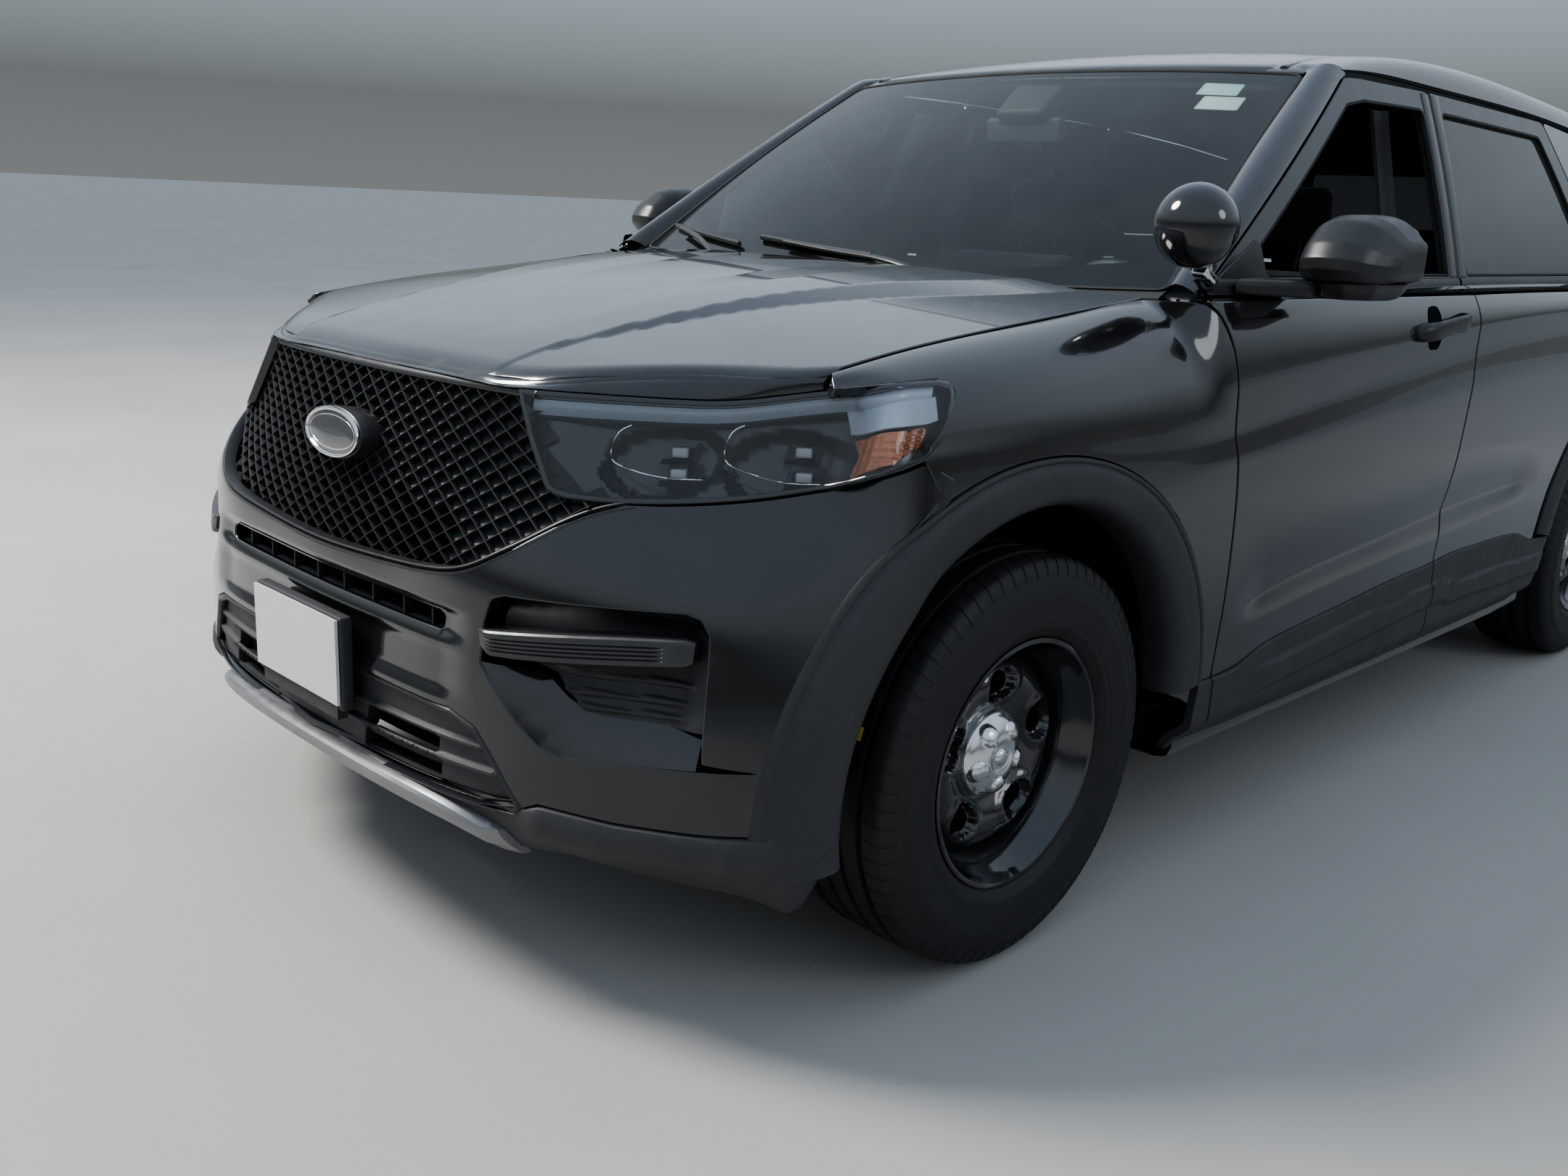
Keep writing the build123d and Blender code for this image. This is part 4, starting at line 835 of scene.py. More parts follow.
M["headliner"] = surface_mat("headliner_cloth", (0.20, 0.205, 0.21), 0.95, var=0.06, grain=(1500.0, 0.4, 0.0008), sheen=0.2, spec=0.1)
M["carpet"] = surface_mat("carpet", (0.018, 0.018, 0.019), 0.95, var=0.3, grain=(1100.0, 0.8, 0.0020), sheen=0.2, spec=0.1)
M["dash"] = surface_mat("soft_dash", (0.030, 0.031, 0.033), 0.62, var=0.08, grain=(1300.0, 0.35, 0.0006), spec=0.35)
M["dash_gloss"] = surface_mat("dash_gloss", (0.012, 0.012, 0.013), 0.16, coat=0.6, var=0.05)
M["sticker"] = surface_mat("blank_label", (0.72, 0.80, 0.84), 0.55, var=0.03, grain=(700.0, 0.02, 0.0002))
M["sticker_white"] = surface_mat("blank_label_white", (0.84, 0.85, 0.86), 0.55, var=0.03, grain=(700.0, 0.02, 0.0002))
M["badge"] = surface_mat("blank_badge_enamel", (0.055, 0.057, 0.060), 0.16, coat=1.0, coat_rough=0.03, var=0.1, var_scale=30.0, grain=(700.0, 0.02, 0.0003))
M["badge_rim"] = M["chrome"]
M["glass"] = glass_mat("windshield_glass", (0.72, 0.82, 0.79), ior=1.5, haze=0.006, dirt=0.012)
M["glass_side"] = glass_mat("side_glass", (0.60, 0.68, 0.66), ior=1.55, haze=0.006, dirt=0.02)
M["privacy"] = glass_mat("privacy_glass", (0.10, 0.11, 0.115), ior=1.6, haze=0.05, dirt=0.04)
M["lens"] = glass_mat("lamp_lens", (0.90, 0.92, 0.93), ior=1.50, haze=0.004, dirt=0.01)
M["lens_red"] = glass_mat("tail_lens_red", (0.55, 0.02, 0.02), ior=1.5, haze=0.0, dirt=0.01)
M["mirror_glass"] = surface_mat("mirror_glass", (0.85, 0.87, 0.88), 0.015, metallic=1.0, var=0.01, rough_var=0.005, grain=None)
M["lamp_dark"] = surface_mat("lamp_housing_dark", (0.045, 0.048, 0.052), 0.28, var=0.1, coat=0.4, grain=(700.0, 0.04, 0.0003))
M["lamp_mid"] = surface_mat("lamp_bezel_grey", (0.13, 0.14, 0.155), 0.32, metallic=0.2, var=0.06, grain=(900.0, 0.04, 0.0003))
M["lamp_light"] = surface_mat("lamp_light_guide", (0.62, 0.68, 0.74), 0.24, var=0.04, coat=0.6, grain=(900.0, 0.03, 0.0003))
M["amber"] = surface_mat("amber_reflector", (0.62, 0.20, 0.075), 0.22, var=0.16, var_scale=90.0, coat=0.8, grain=(420.0, 0.5, 0.0012))
M["red_lamp"] = surface_mat("red_reflector", (0.36, 0.012, 0.012), 0.22, var=0.12, var_scale=60.0, coat=0.8, grain=(420.0, 0.4, 0.0012))
M["lamp_white"] = surface_mat("reverse_lamp_clear", (0.75, 0.76, 0.78), 0.18, var=0.05, coat=0.8, grain=(420.0, 0.3, 0.0010))
M["yellow_mark"] = surface_mat("yellow_chalk", (0.62, 0.50, 0.06), 0.8, var=0.2, grain=(700.0, 0.2, 0.0004))
M["red_mark"] = surface_mat("red_paint_dot", (0.20, 0.03, 0.02), 0.7, var=0.2, grain=(700.0, 0.2, 0.0004))
M["zinc"] = surface_mat("zinc_weight", (0.55, 0.56, 0.57), 0.35, metallic=0.9, var=0.1, grain=(900.0, 0.1, 0.0003))


def cloth_mat(name, color, scale=620.0):
    """Woven seat cloth: crossed threads, slight heather, soft sheen."""
    m, nt, out = new_mat(name)
    p = node(nt, "ShaderNodeBsdfPrincipled")
    p.inputs["Sheen Weight"].default_value = 0.35
    p.inputs["Sheen Roughness"].default_value = 0.45
    p.inputs["Specular IOR Level"].default_value = 0.25
    tc = node(nt, "ShaderNodeTexCoord")
    hs = []
    for axis in ("X", "Z"):
        w = node(nt, "ShaderNodeTexWave", wave_type="BANDS", bands_direction=axis)
        w.inputs["Scale"].default_value = scale / 3
        w.inputs["Distortion"].default_value = 0.6
        w.inputs["Detail"].default_value = 1.0
        nt.links.new(tc.outputs["Object"], w.inputs["Vector"])
        hs.append(w)
    mx = node(nt, "ShaderNodeMath", operation="MULTIPLY")
    nt.links.new(hs[0].outputs["Fac"], mx.inputs[0]); nt.links.new(hs[1].outputs["Fac"], mx.inputs[1])
    n = noise(nt, 240.0, 4.0, 0.6)
    c = ramp(nt, n.outputs["Fac"], [(0.3, tuple(q * 0.7 for q in color) + (1,)), (0.7, tuple(q * 1.35 for q in color) + (1,))])
    nt.links.new(c.outputs["Color"], p.inputs["Base Color"])
    r = ramp(nt, n.outputs["Fac"], [(0.2, grey(0.82)), (0.8, grey(0.95))])
    nt.links.new(r.outputs["Color"], p.inputs["Roughness"])
    b = bump(nt, mx.outputs[0], 0.35, 0.0006)
    nt.links.new(b.outputs["Normal"], p.inputs["Normal"])
    nt.links.new(p.outputs["BSDF"], out.inputs["Surface"])
    return m


def tyre_mat(name):
    """Tyre rubber: matte, browner in random patches, fine mould grain."""
    m, nt, out = new_mat(name)
    p = node(nt, "ShaderNodeBsdfPrincipled")
    p.inputs["Specular IOR Level"].default_value = 0.38
    n = noise(nt, 24.0, 6.0, 0.65)
    c = ramp(nt, n.outputs["Fac"], [(0.3, (0.0125, 0.0125, 0.013, 1)), (0.7, (0.021, 0.0205, 0.020, 1))])
    n2 = noise(nt, 6.0, 6.0, 0.7)
    d = ramp(nt, n2.outputs["Fac"], [(0.55, grey(0.0)), (0.85, grey(0.25))])
    mx = node(nt, "ShaderNodeMix", data_type="RGBA")
    nt.links.new(d.outputs["Color"], mx.inputs["Factor"]); nt.links.new(c.outputs["Color"], mx.inputs[6]); mx.inputs[7].default_value = (0.055, 0.050, 0.044, 1)
    nt.links.new(mx.outputs[2], p.inputs["Base Color"])
    r = ramp(nt, n.outputs["Fac"], [(0.3, grey(0.50)), (0.7, grey(0.66))])
    nt.links.new(r.outputs["Color"], p.inputs["Roughness"])
    g = noise(nt, 1500.0, 2.0, 0.5)
    b = bump(nt, g.outputs["Fac"], 0.14, 0.0004)
    nt.links.new(b.outputs["Normal"], p.inputs["Normal"])
    nt.links.new(p.outputs["BSDF"], out.inputs["Surface"])
    return m


M["cloth"] = cloth_mat("seat_cloth_charcoal", (0.030, 0.031, 0.034))
M["vinyl"] = surface_mat("seat_vinyl", (0.026, 0.026, 0.028), 0.48, var=0.1, grain=(700.0, 0.35, 0.0008), spec=0.4)
M["tyre"] = tyre_mat("tyre_rubber")


def set_mat(names, mat):
    """New finish on CAD nodes whose shape stays."""
    for n in names:
        o = frame["nodes"][n]
        if not o.data.materials:
            o.data.materials.append(mat)
        for s in o.material_slots:
            s.material = mat


# ---------------------------------------------------------------- body panels
GAPV = 2.6              # half of a visible shut line


def side_off(d):
    """Side surface moved outwards by d mm (y only)."""
    def f(x, v):
        p = side(x, v)
        p[..., 1] += d
        return p
    return f


def crease_rows(lo, hi):
    """Rows of v: close together at the creases of the side surface."""
    rows = list(np.arange(200, 470, 13.0)) + list(np.arange(470, 556, 12.0)) + [560, 566, 570, 574, 579, 588, 598, 608, 616, 622, 626, 630, 634, 638, 643, 650, 660, 672, 686] + list(np.arange(700, 905, 14.0))
    rows += [908, 915, 920, 925, 931, 939, 949, 960, 972, 984, 993, 1000, 1006, 1011, 1016, 1024, 1036, 1050, 1062, 1072, 1079, 1084, 1088, 1091, 1094, 1098, 1104, 1111, 1119, 1127, 1135, 1143, 1150, 1156, 1161]
    return [r for r in rows if lo < r < hi]


ROWS = crease_rows(180, 1163)
XCOLS = np.arange(-2460, 2200, 14.0)

# --- shut lines in (x, z)
F_EDGE = [(1048, 338), (1043, 410), (1038, 500), (1036, 600), (1040, 700), (1048, 800), (1058, 880), (1066, 950), (1072, 1010), (1082, 1060), (1096, 1098), (1112, 1128), (1128, 1150)]
B_EDGE = [(-104, 1166), (-108, 1100), (-95, 950), (-72, 800), (-50, 650), (-35, 500), (-30, 338)]
B_SM = smooth_line(B_EDGE, 12)
F_SM = smooth_line(F_EDGE, 12)


def shift(P, dx, dz=0.0):
    P = np.array(P, float)
    return P + np.array([dx, dz])


def flare_r(th, xa):
    """Outer radius of a wheel-arch flare by angle in degrees: flattened over the top."""
    f = cs([-60, -20, 0, 20, 40, 60, 80, 90, 100, 120, 140, 160, 180, 200, 240], [592, 590, 586, 578, 568, 554, 541, 538, 539, 548, 560, 570, 574, 576, 576])
    return f(th)


def arch_line(xa, t0, t1, dr=0.0, n=60, cap=None):
    th = np.linspace(t0, t1, n)
    r = flare_r(th, xa) + dr
    if cap is not None:
        r = np.minimum(r, cap)
    return np.column_stack([xa + r * np.cos(np.radians(th)), ARCH_Z + r * np.sin(np.radians(th))])


# front door skin: outline in (x, z), clockwise from the top front
belt_z = 1163.0
fd_out = np.vstack([np.array([(1132, belt_z)]), shift(F_SM[::-1], -GAPV), shift(B_SM[::-1], GAPV)[:-1], np.array([(-104 + GAPV, belt_z)])])
fd_v = sv(fd_out)
panel("door_skin_front_left", side, fd_v, M["paint"], body="front_left_door", slot="gloss_black", us=XCOLS, vs=ROWS, side="both", depth=14, hem=16, step=8)
# rear door: rear edge over the wheel arch
arc_low = arch_line(X_REAR_AXLE, -4, 64, 6.0, 50)
rd_out = np.vstack([shift(B_SM, -GAPV)[1:], np.array([(-806, 340)]), arc_low[1:], np.array([(-1188, 960), (-1228, 1010), (-1250, 1060), (-1258, 1110), (-1260, belt_z)]), np.array([(-104 - GAPV, belt_z)])])
rd_v = sv(rd_out)
panel("door_skin_rear_left", side, rd_v, M["paint"], body="rear_left_door", slot="gloss_black", us=XCOLS, vs=ROWS, side="both", depth=14, hem=16, step=8)

# front fender: from the door to the bumper and lamp, down to the arch flare
fl_front = arch_line(X_FRONT_AXLE, 52.5, 182, 3.0, 90)
fender_xz = np.vstack([np.array([(1142, 1156)]), shift(F_SM[::-1], GAPV)[1:-7]])
low = fl_front[::-1]
low = low[low[:, 1] > 405]
tail = sv(np.vstack([fender_xz, np.array([(1040.6, 408), (1086, 408)]), low]))
front_edge = np.vstack([sv([(1932, 880), (1950, 912), (1965, 936)]), [(1953, 1043), (1931, 1052), (1901, 1069), (1875, 1083), (1869, 1089.5), (1872.5, 1099), (1889, 1105.5)]])
top_edge = np.column_stack([np.linspace(2038, 1160, 60), np.full(60, 1164.2)])
lamp_top = np.array([(1933, 1109), (1970, 1112.5), (2007, 1117), (2045, 1122.7), (2078, 1128), (2061, 1145), (2041, 1162)], float)
fen_v = np.vstack([tail, front_edge, lamp_top, top_edge])
EYE = np.array([3602.0, 2291.0, 1303.0])


def fender_face(x, v):
    """Side surface, drawn back at its front corner to meet the lamp."""
    p = side(x, v)
    x, v = np.broadcast_arrays(np.asarray(x, float), np.asarray(v, float))
    k = 1 + 0.0115 * sstep(1955, 2080, x) * sstep(1163, 1125, v)
    return EYE + (p - EYE) * k[..., None]


panel("fender_skin_left", fender_face, fen_v, M["paint"], slot="gloss_black", us=XCOLS, vs=ROWS, side="both", depth=16, hem=14, step=8)

# rear quarter: behind the rear door, over the arch, back to the tail lamp and tailgate
q_arc = arch_line(X_REAR_AXLE, 64, 176, 3.0, 80)
q_arc = q_arc[q_arc[:, 1] > 452]
q_xz = np.vstack([np.array([(-1260 - 2 * GAPV, belt_z), (-1258 - 2 * GAPV, 1110), (-1250 - 2 * GAPV, 1060), (-1228 - 2 * GAPV, 1010), (-1188 - 2 * GAPV, 960)]), q_arc,
                  np.array([(-1945, 452), (-2120, 560), (-2330, 652), (-2352, 700), (-2358, 800), (-2350, 980), (-2240, 984), (-2240, 1144), (-2352, 1148), (-2352, belt_z)])])
q_v = sv(q_xz)
panel("quarter_skin_left", side, q_v, M["paint"], slot="gloss_black", us=XCOLS, vs=ROWS, side="both", depth=14, hem=12, step=9)

# --- lower cladding on fender, doors and quarter: matte band that stands proud
CLAD_TOP = tab([(-2400, 470), (-914, 466), (-860, 462), (-800, 462), (-748, 468), (-680, 488), (-620, 500), (-547, 506), (-330, 510), (-107, 508), (-30, 502), (150, 496), (359, 484), (644, 466), (780, 456), (850, 446), (900, 432), (949, 419), (1010, 414), (1100, 414), (1300, 414)])
CLAD_BOT = 262.0


def clad(x, v):
    """v runs 0 at the bottom edge to 1 at the top edge."""
    x, v = np.broadcast_arrays(np.asarray(x, float), np.asarray(v, float))
    zt = CLAD_TOP(x)
    z = CLAD_BOT + (zt - CLAD_BOT) * v / 200.0
    vv = side_v(x.ravel(), np.minimum(z, zt - 1).ravel()).reshape(x.shape)
    y = side(x, vv)[..., 1]
    yt = W_PLAN(x) - 3
    lowt = sstep(335, 262, z)
    # step-bar moulding: raised bar along the lower third
    up = lin([(-1000, 410), (-149, 432), (-95, 446), (343, 430), (739, 410), (848, 402), (1300, 400)])(x)
    ease = sstep(-920, -760, x) * sstep(930, 760, x)
    bar = (sstep(up - 62, up - 50, z) - sstep(up - 5, up + 4, z)) * ease * 8.5
    top = sstep(zt, zt - 5, z) * 6.0 + 1.5
    y = np.maximum(y, yt - 60 * lowt ** 1.4) * 0.55 + (yt - 60 * lowt ** 1.4) * 0.45 + top + bar - 3.0
    return np.stack([x, y, z], -1)


def clad_piece(name, x0, x1, body, rear_cut=None):
    pts = [(x0, 0), (x1, 0), (x1, 200.0), (x0, 200.0)] if rear_cut is None else rear_cut
    return panel(name, clad, np.array(pts, float), M["plastic"], body=body, slot="dark_plastic", us=np.arange(-2400, 1400, 15.0), vs=list(np.arange(6, 200, 7.0)) + [188, 191, 194, 197], side="both", depth=18, hem=8, step=8, edge=2.2)


clad_piece("cladding_front_door_left", -30 + GAPV, 1046, "front_left_door")
clad_piece("cladding_rear_door_left", -806, -30 - GAPV, "rear_left_door", rear_cut=[(-768, 0), (-30 - GAPV, 0), (-30 - GAPV, 200), (-892, 200), (-884, 186), (-838, 100)])
clad_piece("cladding_fender_left", 1052, 1118, "body", rear_cut=[(1046 + 2 * GAPV, 0), (1122, 0), (1112, 120), (1103, 200), (1046 + 2 * GAPV, 200)])

# sill under the doors, hidden behind the cladding, seen with a door open
s = Soup()
sx = np.arange(-862, 1131, 40.0)
prof = [(748, 322), (900, 326), (924, 318), (934, 300), (936, 262), (926, 240), (900, 232), (748, 232)]
G = np.array([[(x, y, z) for y, z in prof] for x in sx])
s.grid(G, close_u=True, cap=True)
s.mirror()
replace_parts(s.make("sill_covers", M["paint_low"], slot="dark_plastic", sharp=30), "sills")

# ---------------------------------------------------------------- arch flares
LIPS = {}


def flare(name, xa, t0, t1, end_cap=True):
    """Profile carried round the arch: bead at the outer edge, shallow groove, broad band, roll into the opening."""
    n = 150
    th = np.linspace(t0, t1, n)
    ro = flare_r(th, xa)
    if xa < 0:
        ro = np.minimum(ro, 560)
    ri = np.interp(th, [-20, 20, 60, 120, 180, 200], [452, 452, 452, 456, 458, 458])
    # (share of the way in from the outer edge, proud of the body side)
    prof = [(0.0, -6.0), (0.0, 1.0), (0.006, 3.2), (0.025, 4.6), (0.05, 5.0), (0.085, 4.6), (0.10, 3.2), (0.112, 2.4), (0.128, 2.6), (0.15, 5.2), (0.19, 8.0), (0.25, 10.0), (0.34, 11.6), (0.45, 12.4), (0.60, 12.6), (0.72, 11.8),
            (0.80, 9.6), (0.87, 5.2), (0.925, -1.5), (0.965, -10.0), (0.99, -21.0), (1.0, -34.0), (1.0, -60.0)]
    rows = []
    for k, d in prof:
        r = ro + (ri - ro) * k
        x = xa + r * np.cos(np.radians(th)); z = ARCH_Z + r * np.sin(np.radians(th))
        zc = np.maximum(z, 395.0)
        v = side_v(x, zc)
        p = side(np.clip(x, -2300, 2090), v)
        y = p[:, 1]
        if xa > 0:
            # ahead of the wheel the face follows the bumper corner
            b = sstep(1905, 2010, x)
            zz = np.clip(z, 252, 970)
            a = np.full_like(z, 1040.0)
            for _ in range(12):
                q = nose(a, zz)
                a = a + (q[:, 0] - x) * 0.55
                a = np.clip(a, 800, 1130)
            q = nose(a, zz)
            y = y * (1 - b) + q[:, 1] * b
        y = np.minimum(y + d, 998.0)
        rows.append(np.stack([x, y, z], -1))
    s = Soup().grid(np.array(rows))
    LIPS[xa] = rows[-1]
    # end faces
    R = np.array(rows)
    for e in (0, -1):
        ring = R[:, e]
        back = ring.copy(); back[:, 1] = np.minimum(back[:, 1], ring[-1, 1])
        s.grid(np.array([ring, back]))
    return s


s = flare("f", X_FRONT_AXLE, -7.0, 176.5)
s.mirror()
fl = s.make("arch_flares_front", M["plastic"], slot="dark_plastic", sharp=55)
s = flare("r", X_REAR_AXLE, 9.5, 173.5)
s.mirror()
fr = s.make("arch_flares_rear", M["plastic"], slot="dark_plastic", sharp=55)
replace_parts(fl, "arch_flares")
# strip that joins each liner to the lip of its flare
s = Soup()
for xa, e_ in LIPS.items():
    an = np.arctan2(np.maximum(e_[:, 2], AXLE_Z + 1.0) - AXLE_Z, e_[:, 0] - xa)
    ln_ = np.column_stack([xa + 459.6 * np.cos(an), np.full(len(an), 856.0), AXLE_Z + 459.6 * np.sin(an)])
    keep = e_[:, 2] > AXLE_Z - 5
    s.grid(np.array([ln_[keep], (e_ + np.array([0, 1.5, 0]))[keep]]))
s.mirror()
s.make("arch_strips", M["liner"], slot="dark_plastic", sharp=60)

# ---------------------------------------------------------------- hood
def hood(x, y):
    x, y = np.broadcast_arrays(np.asarray(x, float), np.asarray(y, float))
    a = np.abs(y)
    c, e = HOOD_C(x), HOOD_S(x)
    z = c - (c - e) * (a / 806.0) ** 2.0
    # raised centre: inner crease line and outer foot line run back and outwards from the nose
    yi = HOOD_YI(x); yo = HOOD_YO(x)
    amp = HOOD_H(x)
    t = (a - yi) / np.maximum(yo - yi, 1.0)
    k = 0.06
    flank = softclip(t, k)
    ridge = amp * (1 - flank)
    # shallow valley inside the inner crease
    ys = HOOD_YC(x)
    dip = HOOD_D(x) * softclip((ys - a) / np.maximum(ys * 0.42, 1.0), 0.08)
    # rolled front lip
    fx = HOOD_FRONT(y)
    lip = np.clip((x - (fx - 46)) / 46.0, 0, 1.2)
    z = z + ridge - dip - 15.0 * lip ** 2.4
    return np.stack([x, y, z], -1)


def softclip(t, k):
    """0 below 0, 1 above 1, straight between, corners rounded over k."""
    t = np.asarray(t, float)
    g = np.linspace(-1.5, 2.5, 801)
    c = np.clip(g, 0, 1)
    w = max(1, int(k / 0.005))
    ker = np.hanning(2 * w + 1); ker /= ker.sum()
    cc = np.convolve(np.pad(c, w, mode="edge"), ker, mode="valid")
    return np.interp(t, g, cc)


HOOD_YO = tab([(1150, 690), (1300, 650), (1500, 560), (1700, 478), (1900, 415), (2100, 372), (2250, 352), (2400, 340)])
HOOD_YI = tab([(1150, 560), (1300, 545), (1500, 478), (1700, 418), (1900, 376), (2100, 350), (2250, 338), (2400, 328)])
HOOD_YC = tab([(1150, 330), (1300, 330), (1500, 312), (1700, 286), (1900, 262), (2100, 244), (2400, 230)])
HOOD_H = lin([(1150, 8), (1250, 14), (1500, 17), (1800, 14), (2050, 9), (2200, 5), (2330, 1.5), (2400, 0)])
HOOD_D = lin([(1150, 0), (1230, 2.5), (1450, 5), (1800, 4.5), (2050, 3), (2200, 1.2), (2330, 0), (2400, 0)])
HOOD_FRONT = tab([(-806, 2036), (-786, 2062), (-700, 2128), (-600, 2200), (-434, 2318), (-250, 2343), (0, 2349), (250, 2343), (434, 2318), (600, 2200), (700, 2128), (786, 2062), (806, 2036)])
half = [(1262, 0), (1258, 150), (1248, 300), (1230, 450), (1205, 600), (1190, 710), (1176, 790), (1176, 803)]
front_half = [(2030, 803), (2062, 784), (2128, 700), (2199, 600), (2264, 510), (2316, 432), (2334, 340), (2343, 250), (2348, 120), (2349, 0)]
fh = smooth_line(front_half[1:6], 14)
fh2 = smooth_line(front_half[5:], 14)
hood_half = half + [front_half[0]] + [tuple(p) for p in fh] + [tuple(p) for p in fh2[1:]]
hood_out = np.array(hood_half + [(x, -y) for x, y in hood_half[-2:0:-1]])
hood_out = fillet(hood_out, [18 if abs(abs(y) - 803) < 1 else 0 for x, y in hood_out], 4)
hp = panel("hood_skin", hood, hood_out, M["paint"], body="hood", slot="gloss_black", hint=(0, 0, 1), du=15, dv=12, side="C", depth=16, hem=20, step=9, edge=3.0)
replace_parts(hp[0], "hood")
# front face of the hood, from its edge down to the lamps and the grille header
LAMP_X = tab([(0, 2356), (150, 2355), (300, 2350), (380, 2344), (434, 2336), (512, 2290), (579, 2245), (646, 2194), (701, 2147), (745, 2106), (784, 2066), (801, 2042)])
LAMP_Z = tab([(0, 1007), (300, 1006.5), (400, 1006), (434, 1007), (512, 1007), (579, 1007.5), (646, 1008), (701, 1011), (745, 1019), (784, 1027), (801, 1030)])
yf_ = np.concatenate([np.arange(0, 430, 14.0), np.arange(430, 790, 9.0), [790.0, 797.0, 801.0]])
fx_ = HOOD_FRONT(yf_)
zf_ = hood(fx_, yf_)[:, 2]
lx_, lz_ = LAMP_X(yf_), LAMP_Z(yf_)
lx_ = np.maximum(lx_, fx_ + 1.5)
lz_ = np.minimum(lz_, zf_ - 4.5)
rows = []
for b_, u_ in ((-8.0, -0.6), (-6.5, 0.25), (-3.0, 0.35), (-1.2, 0.3)):
    hp_ = hood(fx_ + b_, yf_)
    rows.append(np.column_stack([hp_[:, 0], hp_[:, 1], hp_[:, 2] + u_]))
for kk, o_, up_ in ((0.0, 0.5, -0.6), (0.06, 1.2, 0.0), (0.2, 1.8, 0.0), (0.45, 2.4, 0.0), (0.7, 2.2, 0.0), (0.9, 1.2, 0.0), (0.97, 0.0, 0.0), (1.0, -1.6, 0.0), (1.0, -6.0, 0.6)):
    rows.append(np.column_stack([fx_ * (1 - kk) + (lx_ - 3.0) * kk + o_, yf_, zf_ * (1 - kk) + lz_ * kk + up_]))
s = Soup().grid(np.array(rows))
s.mirror()
s.make("hood_front_face", M["paint"], body="hood", slot="gloss_black", sharp=30)
# underside frame of the hood, seen when it is open
def hood_under(x, y):
    p = hood(x, y)
    p[..., 2] -= 16.5
    return p


inner_out = np.array([(1290, 0), (1276, 300), (1234, 600), (1212, 770), (2010, 770), (2180, 590), (2290, 420), (2318, 200), (2322, 0)] + [(2318, -200), (2290, -420), (2180, -590), (2010, -770), (1212, -770), (1234, -600), (1276, -300)])
hh = [fillet([(1330, 90), (1330, 520), (1600, 640), (1960, 640), (2060, 540), (1700, 120)], 40), fillet([(2080, 500), (2200, 380), (2260, 80), (1760, 80)], 30)]
hh = hh + [h * np.array([1, -1]) for h in hh]
panel("hood_frame", hood_under, fillet(inner_out, 30), M["steel_black"], body="hood", slot="gloss_black", hint=(0, 0, -1), du=22, dv=20, side="C", depth=6, hem=8, step=14, edge=3.0, holes=hh)

# ---------------------------------------------------------------- roof: panel with ribs, side ditches and rails
def roof_skin(x, y):
    x, y = np.broadcast_arrays(np.asarray(x, float), np.asarray(y, float))
    p = roof(x, y)
    z = p[..., 2].copy()
    a = np.abs(y)
    env = sstep(180, 60, x) * sstep(-2010, -1880, x)
    rib = 0
    for c, w in ((95, 46), (290, 44), (470, 40)):
        rib = rib + sstep(w, w - 16, np.abs(a - c))
    z = z - 4.0 * rib * env
    z = z - 7.0 * sstep(588, 606, a)
    xf = 428 - 30 * (a / 600.0) ** 2
    z = z - 9.0 * np.clip((x - (xf - 40)) / 40.0, 0, 1.1) ** 2.2
    z = np.minimum(z, 1764.5)
    return np.stack([x, y, z], -1)


rf = [(392, 606), (406, 500), (417, 360), (424, 200), (428, 0)]
rf = [tuple(p) for p in smooth_line(rf, 20)]
roof_out = np.array([(-2050, 606)] + rf + [(x, -y) for x, y in rf[-2::-1]] + [(-2050, -606)])
yr = list(np.arange(-600, 601, 12.0))
rp = panel("roof_skin", roof_skin, roof_out, M["paint"], slot="gloss_black", hint=(0, 0, 1), du=18, vs=yr, side="C", depth=12, hem=10, step=14, edge=2.5)
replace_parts(rp[0], "roof_panel")
# headliner under it
hl = Soup()
xs = np.arange(-2030, 380, 60.0); ysr = np.linspace(-600, 600, 17)
hl.grid(np.array([[(x, y, float(ROOF_Z(x) - CROWN(x) * (y / 600.0) ** 2) - 34) for y in ysr] for x in xs]))
hl.make("headliner", M["headliner"], slot="seat_cloth", sharp=40)


def rail_section(x):
    """Roof side: from the drip line over the cant rail to the ditch beside the roof panel. Points (y, z)."""
    zt = float(DRIP(min(x, 402)))
    yo = float(y_glass(x, zt))
    zr = float(ROOF_Z(x) - CROWN(x) * (612 / 600.0) ** 2)
    zr = max(zr, zt + 4)
    P0, P3 = np.array([yo, zt]), np.array([632.0, zr])
    P1 = P0 + np.array([-16.0, (zr - zt) * 0.85])
    P2 = P3 + np.array([(yo - 632) * 0.62, (zr - zt) * 0.03 - (yo - 632) * 0.03])
    t = np.linspace(0, 1, 15)[:, None]
    c = (1 - t) ** 3 * P0 + 3 * t * (1 - t) ** 2 * P1 + 3 * t * t * (1 - t) * P2 + t ** 3 * P3
    head = [(yo - 30, zt - 1.0), (yo - 3.0, zt - 1.5), (yo - 0.8, zt - 0.8)]
    tail = [(630.5, zr - 2.0), (630, zr - 12), (610, zr - 12.5)]
    return head + [tuple(q) for q in c] + tail


rs = Soup()
XS = list(np.arange(-2055, 300, 22.0)) + [305, 330]
rs.grid(np.array([[(x, y, z) for y, z in rail_section(x)] for x in XS]), cap=False)
rs.mirror()
rail_o = rs.make("roof_rails", M["paint"], slot="gloss_black", sharp=40)
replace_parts(rail_o, "upper_frames")
